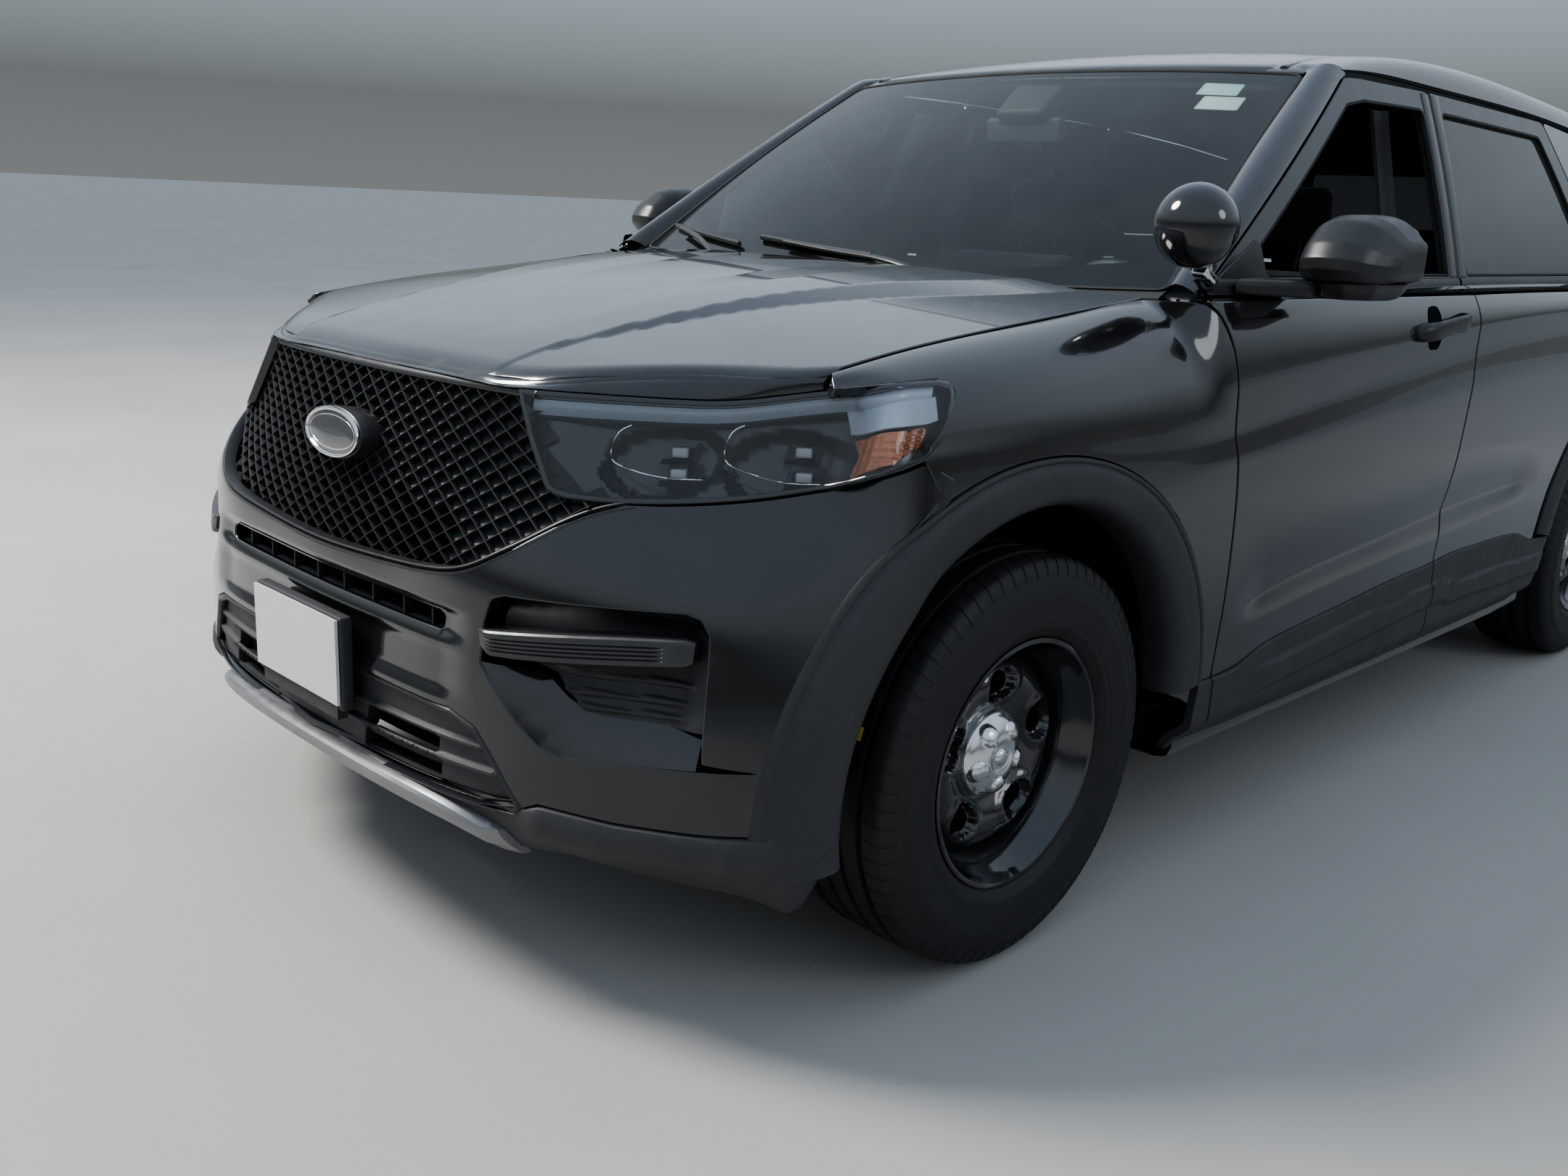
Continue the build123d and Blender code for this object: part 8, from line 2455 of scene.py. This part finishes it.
s.make("tailgate_spoiler", M["paint"], body="tailgate", slot="gloss_black", sharp=36)
s = Soup()
add(s, rbox((-2331, 0, float(zt[32]) - 14), (7, 300, 11), 3, 3))
s.make("high_stop_lamp", M["lens_red"], body="tailgate", slot="lamp_rear", sharp=30)
# side pillar covers between the quarter glass and the tailgate
s = Soup()
zz_ = np.linspace(1166, 1600, 24)
gy = np.interp(zz_, [1185, 1285, 1560, 1600], [744, 734, 646, 634])
qx = np.interp(zz_, [1166, 1300, 1440, 1520, 1545, 1600], [-2330, -2290, -2230, -2150, -2050, -2050])
qp = green(qx, zz_)
gp_ = gate(gy, zz_)
rows = []
for k, bow in ((0, -6), (0.03, 0.0), (0.2, 12), (0.4, 20), (0.6, 22), (0.8, 14), (0.95, 3.0), (1.0, -5)):
    P = qp * (1 - k) + gp_ * k
    P[:, 1] += bow * 0.55
    P[:, 0] -= bow * 0.75
    rows.append(P)
s.grid(np.array(rows)); s.mirror()
s.make("rear_pillar_covers", M["paint"], slot="gloss_black", sharp=40)

# ---------------------------------------------------------------- tail lamps
plan = smooth_line([(-2378, 764), (-2380, 800), (-2356, 842), (-2304, 880), (-2240, 904)], 6)
tt = np.concatenate([[0], np.cumsum(np.linalg.norm(np.diff(plan, axis=0), axis=1))])


def tail(t, z, d=0.0):
    t, z = np.broadcast_arrays(np.asarray(t, float), np.asarray(z, float))
    x = np.interp(t, tt, plan[:, 0]); y = np.interp(t, tt, plan[:, 1])
    tx = np.interp(t + 3, tt, plan[:, 0]) - np.interp(t - 3, tt, plan[:, 0]); ty = np.interp(t + 3, tt, plan[:, 1]) - np.interp(t - 3, tt, plan[:, 1])
    n = np.stack([-ty, tx], -1); n /= np.maximum(np.linalg.norm(n, axis=-1, keepdims=True), 1e-6)
    bulge = 8.0 * (1 - ((z - 1063) / 76.0) ** 2)
    return np.stack([x + n[..., 0] * (d + bulge), y + n[..., 1] * (d + bulge), z], -1)


T1 = float(tt[-1])
tl_o = fillet([(2, 996), (T1 * 0.55, 990), (T1 - 2, 1002), (T1 - 2, 1120), (T1 * 0.5, 1134), (2, 1130)], [8, 0, 20, 26, 0, 8], 5)
q_ = panel("tail_lens_left", lambda t, z: tail(t, z, 3.0), tl_o, M["lens_red"], slot="lamp_rear", hint=(-1, 0.6, 0), du=8, dv=8, side="both", depth=14, hem=0, step=8, edge=3.0)
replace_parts(q_[0], "tail_lamps")
panel("tail_inner_left", lambda t, z: tail(t, z, -9.0), inset2(tl_o, 4.0), M["red_lamp"], slot="lamp_rear", hint=(-1, 0.6, 0), du=8, dv=5, side="both", depth=6, hem=0, step=8, edge=2.0)
s = Soup()
for z0 in (1030, 1094):
    P = tail(np.linspace(14, T1 - 22, 30), np.full(30, float(z0)), -2.5)
    add(s, tube(P, 4.2, 10))
s.mirror()
s.make("tail_guides", M["red_lamp"], slot="lamp_rear", sharp=40)
panel("tail_reverse_left", lambda t, z: tail(t, z, -5.0), fillet([(12, 1044), (T1 * 0.42, 1044), (T1 * 0.42, 1080), (12, 1080)], 5, 4), M["lamp_light"], slot="lamp_rear", hint=(-1, 0.6, 0), du=8, dv=8, side="both", depth=3, hem=0, step=6, edge=1.2)

# ---------------------------------------------------------------- rear bumper
zb = [380, 470, 640, 706]
_b = {0: [-2440, -2505, -2524, -2502], 450: [-2420, -2487, -2506, -2486], 760: [-2360, -2420, -2442, -2430], 880: [-2262, -2318, -2334, -2326], 926: [-2170, -2210, -2222, -2218], 946: [-2040, -2060, -2066, -2064]}
yk = sorted(_b)
fns = [lin([(z, _b[y][i]) for i, z in enumerate(zb)]) for y in yk]
cz_ = [cs([350, 380, 470, 560, 640, 690, 706, 720], [v[0] + 26, v[0], v[1], (v[1] + v[2]) / 2 - 4, v[2], v[3] - 6, v[3] + 4, v[3] + 16]) for v in (_b[y] for y in yk)]


def rbump(u, z, d=0.0):
    """u runs along the plan: -1..1 across the back, then along the sides up to the arch."""
    u, z = np.broadcast_arrays(np.asarray(u, float), np.asarray(z, float))
    a = np.abs(u)
    cols = np.stack([f(z.ravel()).reshape(z.shape) for f in cz_], -1)
    ypts = np.array([0, 450, 760, 880, 926, 946, 948.0])
    upts = np.array([0, 450, 765, 915, 1015, 1155, 1300.0])
    cols = np.concatenate([cols, np.full(cols.shape[:-1] + (1,), -1925.0)], -1)
    flat = cols.reshape(-1, 7); af = a.ravel()
    k = np.clip(np.searchsorted(upts, af) - 1, 0, 5)
    w = (af - upts[k]) / (upts[k + 1] - upts[k])
    w_s = w
    x = flat[np.arange(len(af)), k] * (1 - w_s) + flat[np.arange(len(af)), k + 1] * w_s
    y = cs(list(upts), [0, 450, 757, 876, 930, 947, 948])(af)
    tuck = 60 * sstep(470, 352, z.ravel()) * sstep(760, 1000, af)
    return np.stack([x.reshape(a.shape) - d, np.sign(u) * (y - tuck).reshape(a.shape), z], -1)


def rb_up(u, z):
    p = rbump(u, z)
    # matte step pad along the top is set in; crease above the lower band
    zc = np.asarray(z, float)
    p[..., 0] += 7.0 * sstep(566, 552, zc) * sstep(1000, 800, np.abs(np.asarray(u, float)))
    return p


ro_ = fillet([(-1296, 520), (-1180, 545), (0, 545), (1180, 545), (1296, 520), (1296, 650), (1180, 700), (1015, 708), (765, 708), (0, 708), (-765, 708), (-1015, 708), (-1180, 700), (-1296, 650)], [3] + [0] * 12 + [3], 3)
q_ = panel("rear_bumper_cover", rb_up, ro_, M["paint"], slot="gloss_black", hint=(-1, 0, 0), du=18, dv=10, side="C", depth=16, hem=10, step=14, edge=4.0)
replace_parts(q_[0], "rear_bumper")
lo_p = [(-1290, 392), (-1290, 514), (-1180, 539), (0, 539), (1180, 539), (1290, 514), (1290, 392), (900, 372), (620, 360), (0, 360), (-620, 360), (-900, 372)]
panel("rear_bumper_lower", lambda u, z: rbump(u, z, -10.0), fillet(lo_p, 0, 3), M["plastic"], slot="dark_plastic", hint=(-1, 0, 0), du=20, dv=11, side="C", depth=16, hem=10, step=14, edge=3.5)
s = Soup()
y_ = np.linspace(-520, 520, 53)
rows = []
for z, d in ((420, -6), (424, 5), (434, 8), (452, 9), (462, 7), (466, -4)):
    P = rbump(y_, np.full(53, float(z)), d - 8)
    rows.append(P)
s.grid(np.array(rows))
s.make("rear_skid_strip", M["skid"], slot="plate_metal", sharp=36)
# step pad on top, and reflectors
s = Soup()
y_ = np.linspace(-690, 690, 71)
P0 = rbump(y_, np.full(71, 704.0))
rows = [P0 + np.array([12, 0, 2.0]), P0 + np.array([15, 0, 6.5])]
for k in np.linspace(0.1, 1, 14):
    q = P0.copy(); q[:, 0] = (P0[:, 0] + 16) * (1 - k) + (gate(y_, 724.0)[:, 0] - 4) * k; q[:, 2] = 712 + (1.6 if int(k * 30) % 2 else 0.0)
    rows.append(q)
s.grid(np.array(rows))
s.make("rear_step_pad", M["plastic"], slot="dark_plastic", sharp=40)
s = Soup()
for sg in (1,):
    P = np.array([rbump(np.linspace(690, 800, 14), np.full(14, float(z)), -3.0 + d) for z, d in ((500, -2), (502, 2.2), (508, 3.4), (528, 3.4), (534, 2.2), (536, -2))])
    s.grid(P)
s.mirror()
s.make("rear_reflectors", M["lens_red"], slot="lamp_rear", sharp=30)
# body sheet behind the bumper and under the tailgate opening
s = Soup()
add(s, rbox((-2330, 0, 640), (60, 1500, 150), 14, 3))
s.make("rear_sill", M["under"], slot="dark_plastic", sharp=35)
s = Soup()
for y in (500, -500):
    G, _ = lathe([(-40, 33), (26, 33), (30, 31), (30, 28), (26, 26.5), (-38, 26.5)], (-2440, y, 392), 40, "x")
    G = np.array(G); G[..., 0] = -2440 - (G[..., 0] + 2440)
    s.grid(G, close_u=True)
s.make("exhaust_tips", M["chrome"], slot="plate_metal", sharp=35)


# ---------------------------------------------------------------- cabin
def pad(c, half, r, crown=(0, 0, 0, 0), pull=0.0, seams=(), n=26, rot=None, welt=0.0):
    """Cushion: rounded block, crowned faces, sides pulled in between the corners, stitched channels across the crowned face.
    crown = (dx, dy, dz_top, dz_bottom); seams = ((axis, place, width, depth), ...) on the top face."""
    half = np.array(half, float)
    g = np.linspace(-1, 1, n)
    g = np.sign(g) * np.abs(g) ** 0.8
    out = Soup()
    for ax in range(3):
        for sg in (-1, 1):
            a, b = [i for i in range(3) if i != ax]
            U, V = np.meshgrid(g, g, indexing="ij")
            Q = np.zeros((n, n, 3))
            Q[..., ax] = sg; Q[..., a] = U; Q[..., b] = V
            H = Q * half
            I = np.clip(H, -(half - r), half - r)
            D = H - I
            nn = np.linalg.norm(D, axis=-1, keepdims=True)
            P = I + D / np.maximum(nn, 1e-9) * r
            u = P / half
            bulge = lambda s_, t_: np.clip(1 - s_ ** 2, 0, 1) * np.clip(1 - t_ ** 2, 0, 1)
            P[..., 2] += np.where(u[..., 2] > 0, crown[2], -crown[3]) * bulge(u[..., 0], u[..., 1]) * np.abs(u[..., 2])
            P[..., 0] += np.sign(u[..., 0]) * crown[0] * bulge(u[..., 1], u[..., 2]) * np.abs(u[..., 0]) - u[..., 0] * pull * np.clip(1 - u[..., 1] ** 2, 0, 1)
            P[..., 1] += np.sign(u[..., 1]) * crown[1] * bulge(u[..., 0], u[..., 2]) * np.abs(u[..., 1]) - u[..., 1] * pull * np.clip(1 - u[..., 0] ** 2, 0, 1)
            for sa, sp_, sw, sd in seams:
                face = sstep(0.2, 0.75, u[..., 2])
                P[..., 2] -= sd * np.exp(-((P[..., sa] - sp_) / sw) ** 2) * face
            if rot is not None:
                P = P @ np.array(rot).T
            P = P + np.array(c, float)
            f_ = P if (sg > 0) == (ax != 1) else P[::-1]
            out.grid(f_)
    return out


def weld(s):
    V = np.round(s.verts(), 3)
    uq, inv = np.unique(V, axis=0, return_inverse=True)
    inv = inv.ravel()
    F = []
    for f in s.f:
        g_ = []
        for i in f:
            j = int(inv[i])
            if not g_ or (g_[-1] != j and g_[0] != j):
                g_.append(j)
        if len(g_) > 2:
            F.append(g_)
    o = Soup(); o.add(uq, F)
    return o


def seat_piece(name, s, mat):
    o = weld(s).make(name, mat, slot="seat_cloth", sharp=70)
    return o


fseat = None
for tag, y in (("left", 395.0), ("right", -395.0)):
    q = seat_piece("seat_cushion_" + tag, pad((226, y, 556), (284, 232, 58), 44, (6, 4, 12, 0), 7, ((1, -130, 7, 9), (1, 130, 7, 9), (0, -80, 7, 6), (0, 90, 7, 6)), 34), M["cloth"])
    fseat = fseat or q
    seat_piece("seat_back_" + tag, pad((-66, y, 905), (292, 226, 58), 46, (6, 4, 12, 6), 8, ((1, -124, 7, 9), (1, 124, 7, 9), (0, -120, 7, 6), (0, 60, 7, 6)), 34, rot=np.array(rot_y(-77.0))), M["cloth"])
    seat_piece("seat_head_" + tag, pad((-166, y, 1332), (78, 124, 40), 34, (3, 3, 6, 4), 4, (), 20, rot=np.array(rot_y(-80.0))), M["cloth"])
    s = Soup()
    for dy in (-62, 62):
        add(s, tube(smooth_line([(-130, y + dy, 1190), (-142, y + dy, 1230), (-158, y + dy, 1280)], 12), 6, 14))
    s.make("seat_posts_" + tag, M["vinyl"], slot="dark_plastic", sharp=40)
    s = Soup()
    add(s, rbox((225, y, 470), (520, 420, 44), 14, 4))
    for dy in (-190, 190):
        add(s, rbox((225, y + dy, 430), (560, 40, 40), 6, 3))
    s.make("seat_base_" + tag, M["dash"], slot="dark_plastic", sharp=40)
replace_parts(fseat, "front_seats")
rseat = seat_piece("rear_bench_cushion", pad((-722, 0, 540), (258, 630, 62), 44, (6, 4, 9, 0), 8, ((1, -215, 8, 10), (1, 215, 8, 10), (0, -60, 7, 6)), 40), M["vinyl"])
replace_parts(rseat, "rear_seat")
for i, y in enumerate((-430.0, 0.0, 430.0)):
    seat_piece("rear_back_%d" % (i + 1), pad((-1008, y, 905), (290, 206, 46), 38, (6, 3, 8, 4), 6, ((0, -110, 7, 7), (0, 70, 7, 7)), 28, rot=np.array(rot_y(-75.0))), M["vinyl"])
    seat_piece("rear_head_%d" % (i + 1), pad((-1088, y, 1255), (58, 112, 34), 28, (3, 3, 4, 3), 3, (), 18, rot=np.array(rot_y(-78.0))), M["vinyl"])

# dashboard: one swept section with a hood over the instruments, vents and a screen
s = Soup()
yv = np.linspace(-730, 730, 75)
sec = [(1085, 1068), (1010, 1082), (930, 1086), (850, 1080), (792, 1060), (760, 1030), (750, 996), (756, 950), (776, 900), (800, 850), (812, 790), (820, 730), (850, 700), (1000, 702)]
rows = []
for x, z in sec:
    hump = 22.0 * np.exp(-((yv - 380) / 165.0) ** 4) * (1 if z > 990 else 0)
    fwd = 30.0 * (np.abs(yv) / 730.0) ** 4
    rows.append(np.column_stack([x + fwd - 0.6 * hump, yv, z + hump * (1 if x < 1000 else 0.3) - 10.0 * (np.abs(yv) / 730.0) ** 4]))
s.grid(np.array(rows))
da = s.make("dashboard_top", M["dash"], slot="dark_plastic", sharp=44)
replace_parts(da, "dashboard")
s = Soup()
add(s, rbox((760, 0, 968), (20, 236, 150), 8, 4, rot_y(10)))
add(s, rbox((770, 380, 1010), (16, 300, 96), 8, 4, rot_y(14)))
s.make("dashboard_screens", M["dash_gloss"], slot="gloss_plastic", sharp=35)
s = Soup()
for y in (-640, -200, 200, 640):
    add(s, rbox((764, y, 1000), (16, 120, 44), 5, 3, rot_y(8)))
    for k in (-1, 0, 1):
        add(s, rbox((755, y, 1000 + 12 * k), (8, 108, 3), 1.2, 2, rot_y(8)))
s.make("dashboard_vents", M["plastic_fine"], slot="dark_plastic", sharp=35)
s = Soup()
add(s, rbox((520, 0, 560), (640, 232, 190), 34, 5))
add(s, rbox((330, 0, 668), (240, 190, 40), 16, 4))
G, _ = lathe([(0, 26), (46, 22), (60, 24), (72, 26), (80, 18), (82, 0.1)], (640, 0, 652), 32, "z")
s.grid(G, close_u=True)
s.make("centre_console", M["dash"], slot="dark_plastic", sharp=40)

# steering wheel with three spokes, on its own body
RT = np.array(rot_y(24.0))
wc = np.array((560.0, 380.0, 1035.0))


def on_wheel(P):
    """Wheel's own frame: x along the column towards the driver is -x."""
    return np.array(P, float) @ RT.T + wc


s = Soup()
th = np.linspace(0, 2 * math.pi, 97)[:-1]
rows = []
for a in np.linspace(0, 2 * math.pi, 19)[:-1]:
    rr = 178 + 14.0 * math.cos(a)
    xx = 14.0 * math.sin(a)
    rows.append(on_wheel(np.column_stack([np.full(96, xx), rr * np.cos(th), rr * np.sin(th)])))
s.grid(np.array(rows + [rows[0]]), close_u=True)
sw = s.make("steering_rim", M["vinyl"], body="steering_wheel", slot="dark_plastic", sharp=60)
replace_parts(sw, "steering_wheel")
s = Soup()
for ang, w0, w1 in ((0, 52, 40), (180, 52, 40), (-90, 40, 34)):
    ca, sa = math.cos(math.radians(ang)), math.sin(math.radians(ang))
    rows = []
    for r in np.linspace(40, 174, 10):
        w_ = w0 + (w1 - w0) * (r - 40) / 134.0
        t_ = np.linspace(0, 2 * math.pi, 25)[:-1]
        u_w, v_w = w_ / 2 * np.sign(np.cos(t_)) * np.abs(np.cos(t_)) ** 0.5, 7.5 * np.sign(np.sin(t_)) * np.abs(np.sin(t_)) ** 0.5
        dish = 16.0 * (1 - (r - 40) / 134.0)
        rows.append(on_wheel(np.column_stack([v_w - dish * 0.4, r * ca - u_w * sa, r * sa + u_w * ca])))
    s.grid(np.array(rows), close_u=True, cap=True)
G = []
for h, k in ((12, 0.92), (-4, 1.0), (-14, 0.99), (-22, 0.93), (-27, 0.8), (-29, 0.5), (-29.5, 0.02)):
    o_ = fillet([(-82, 46), (82, 46), (62, -62), (-62, -62)], 34, 7)
    G.append(on_wheel(np.column_stack([np.full(len(o_), float(h)), o_[:, 0] * k, o_[:, 1] * k])))
s.grid(np.array(G), close_u=True)
s.make("steering_hub", M["dash"], body="steering_wheel", slot="dark_plastic", sharp=45)
s = Soup()
add(s, tube([tuple(on_wheel([[20 + 22 * k, 0, 0]])[0]) for k in range(9)], 30, 24))
add(s, rbox(on_wheel([[120, 0, -4]])[0], (120, 96, 84), 20, 4, rot_y(24)))
s.make("steering_column", M["dash"], slot="dark_plastic", sharp=45)
# pillar and floor trims seen with a door open
s = Soup()
for x, w_ in ((-116, 90), (-876, 60)):
    zs_ = np.linspace(330, 1600, 12)
    yo_ = np.where(zs_ < 1160, 742.0, 742 - (zs_ - 1160) * 0.24)
    rows = [np.column_stack([np.full(12, x + dx), yo_ + dy, zs_]) for dx, dy in ((-w_ / 2, 0), (-w_ / 2 + 8, -14), (0, -18), (w_ / 2 - 8, -14), (w_ / 2, 0))]
    s.grid(np.array(rows))
s.mirror()
s.make("pillar_trims", M["headliner"], slot="seat_cloth", sharp=50)
s = Soup()
xs_ = np.linspace(-2240, 1080, 40); yf = np.linspace(-735, 735, 22)
s.grid(np.array([[(x, y, 336.0 + 3.0 * math.sin(x / 60.0) * math.cos(y / 50.0) + (60 if x < -1100 else 0) + (190 if x < -1060 and abs(y) > 560 else 0)) for y in yf] for x in xs_]))
s.make("floor_carpet", M["carpet"], slot="seat_cloth", sharp=60)

# linings that close the cabin's roof: along both sides and over the tailgate
s = Soup()
xs_ = np.linspace(-2030, 372, 46)
zc = lambda x: np.array([float(ROOF_Z(v) - CROWN(v)) - 34 for v in x])
dz_ = np.array([float(DRIP(min(v, 402))) for v in xs_])
yo_ = np.array([float(y_glass(v, d)) for v, d in zip(xs_, dz_)])
z0_ = zc(xs_)
s.grid(np.array([np.column_stack([xs_, np.full(46, 598.0), z0_]), np.column_stack([xs_, np.full(46, 630.0), z0_ - 6]), np.column_stack([xs_, yo_ - 62, (z0_ + dz_) / 2 - 16]), np.column_stack([xs_, yo_ - 48, dz_ - 30]), np.column_stack([xs_, yo_ - 34, dz_ - 24]), np.column_stack([xs_, yo_ - 29, dz_ - 2])]))
s.mirror()
ya = np.linspace(-640, 640, 33)
rows = []
for k in np.linspace(0, 1, 6):
    x = -2026 * (1 - k) - 2188 * k
    z = (float(ROOF_Z(-2030)) - float(CROWN(-2030)) * (ya / 600.0) ** 2 - 34) * (1 - k) + 1560 * k
    rows.append(np.column_stack([np.full(33, x), ya * (1 - 0.02 * k), z]))
s.grid(np.array(rows))
s.make("roof_side_linings", M["headliner"], slot="seat_cloth", sharp=50)


# ---------------------------------------------------------------- shown CAD nodes: materials
for n_, m_ in CAD_MATS.items():
    set_mat([n_], M[m_])

# ---------------------------------------------------------------- stage, light, camera
scn = bpy.context.scene
fm = bpy.data.meshes.new("floor")
R_ = 400.0
fm.from_pydata([(-R_, -R_, 0), (R_, -R_, 0), (R_, R_, 0), (-R_, R_, 0)], [], [(0, 1, 2, 3)])
floor = bpy.data.objects.new("floor", fm)
scn.collection.objects.link(floor)
fmat = surface_mat("stage_floor", (0.40, 0.39, 0.37), 0.8, var=0.05, var_scale=0.8, rough_var=0.05, grain=(90.0, 0.12, 0.002), spec=0.3)
fm.materials.append(fmat)

w = bpy.data.worlds.new("studio")
scn.world = w
w.use_nodes = True
wn = w.node_tree
wn.nodes.clear()
tc = wn.nodes.new("ShaderNodeTexCoord")
sx_ = wn.nodes.new("ShaderNodeSeparateXYZ")
wn.links.new(tc.outputs["Generated"], sx_.inputs[0])
mr = wn.nodes.new("ShaderNodeMapRange")
mr.inputs["From Min"].default_value = -0.2
mr.inputs["From Max"].default_value = 1.0
wn.links.new(sx_.outputs["Z"], mr.inputs["Value"])
cr = wn.nodes.new("ShaderNodeValToRGB")
wn.links.new(mr.outputs[0], cr.inputs[0])
els = cr.color_ramp.elements
stops = [(0.0, (0.205, 0.215, 0.22)), (0.168, (0.205, 0.215, 0.22)), (0.215, (0.17, 0.185, 0.19)), (0.26, (0.30, 0.34, 0.37)), (0.36, (0.60, 0.68, 0.76)), (0.55, (0.70, 0.80, 0.92)), (1.0, (0.58, 0.72, 0.92))]
els[0].position = stops[0][0]; els[0].color = (*stops[0][1], 1)
els[1].position = stops[-1][0]; els[1].color = (*stops[-1][1], 1)
for p_, c_ in stops[1:-1]:
    e_ = els.new(p_); e_.color = (*c_, 1)
bg = wn.nodes.new("ShaderNodeBackground")
bg.inputs["Strength"].default_value = 0.85
wn.links.new(cr.outputs[0], bg.inputs["Color"])
wo = wn.nodes.new("ShaderNodeOutputWorld")
wn.links.new(bg.outputs[0], wo.inputs["Surface"])


def area(name, loc, target, size, power, col=(1, 1, 1)):
    l = bpy.data.lights.new(name, "AREA")
    l.shape = "ELLIPSE"
    l.size, l.size_y = size
    l.energy = power
    l.color = col
    o = bpy.data.objects.new(name, l)
    o.location = loc
    d = Vector(target) - Vector(loc)
    o.rotation_euler = d.to_track_quat("-Z", "Y").to_euler()
    scn.collection.objects.link(o)
    return o


area("key_light", (5.5, -5.0, 7.5), (0, 0, 0.6), (3.2, 3.2), 1150, (1.0, 0.965, 0.91))
area("fill_light", (-3.0, 16.0, 9.0), (0, 0, 0.8), (6.0, 6.0), 260, (0.93, 0.96, 1.0))

cam_d = bpy.data.cameras.new("camera")
cam_d.lens = 32.5
cam_d.sensor_width = 36.0
cam_d.clip_start = 0.05
cam = bpy.data.objects.new("camera", cam_d)
yaw_, pit_, rol_ = math.radians(-135.06), math.radians(-15.18), math.radians(2.67)
f_ = Vector((math.cos(yaw_) * math.cos(pit_), math.sin(yaw_) * math.cos(pit_), math.sin(pit_)))
r_ = Vector((math.sin(yaw_), -math.cos(yaw_), 0.0))
u_ = r_.cross(f_)
r2_ = math.cos(rol_) * r_ + math.sin(rol_) * u_
u2_ = -math.sin(rol_) * r_ + math.cos(rol_) * u_
mt = Matrix((r2_, u2_, -f_)).transposed().to_4x4()
mt.translation = Vector((3.602, 2.291, 1.303))
cam.matrix_world = mt
scn.collection.objects.link(cam)
scn.camera = cam
scn.view_settings.exposure = 0.12
looks = [k for k in ("AgX - Medium High Contrast", "Medium High Contrast")]
for k in looks:
    try:
        scn.view_settings.look = k
        break
    except TypeError:
        pass
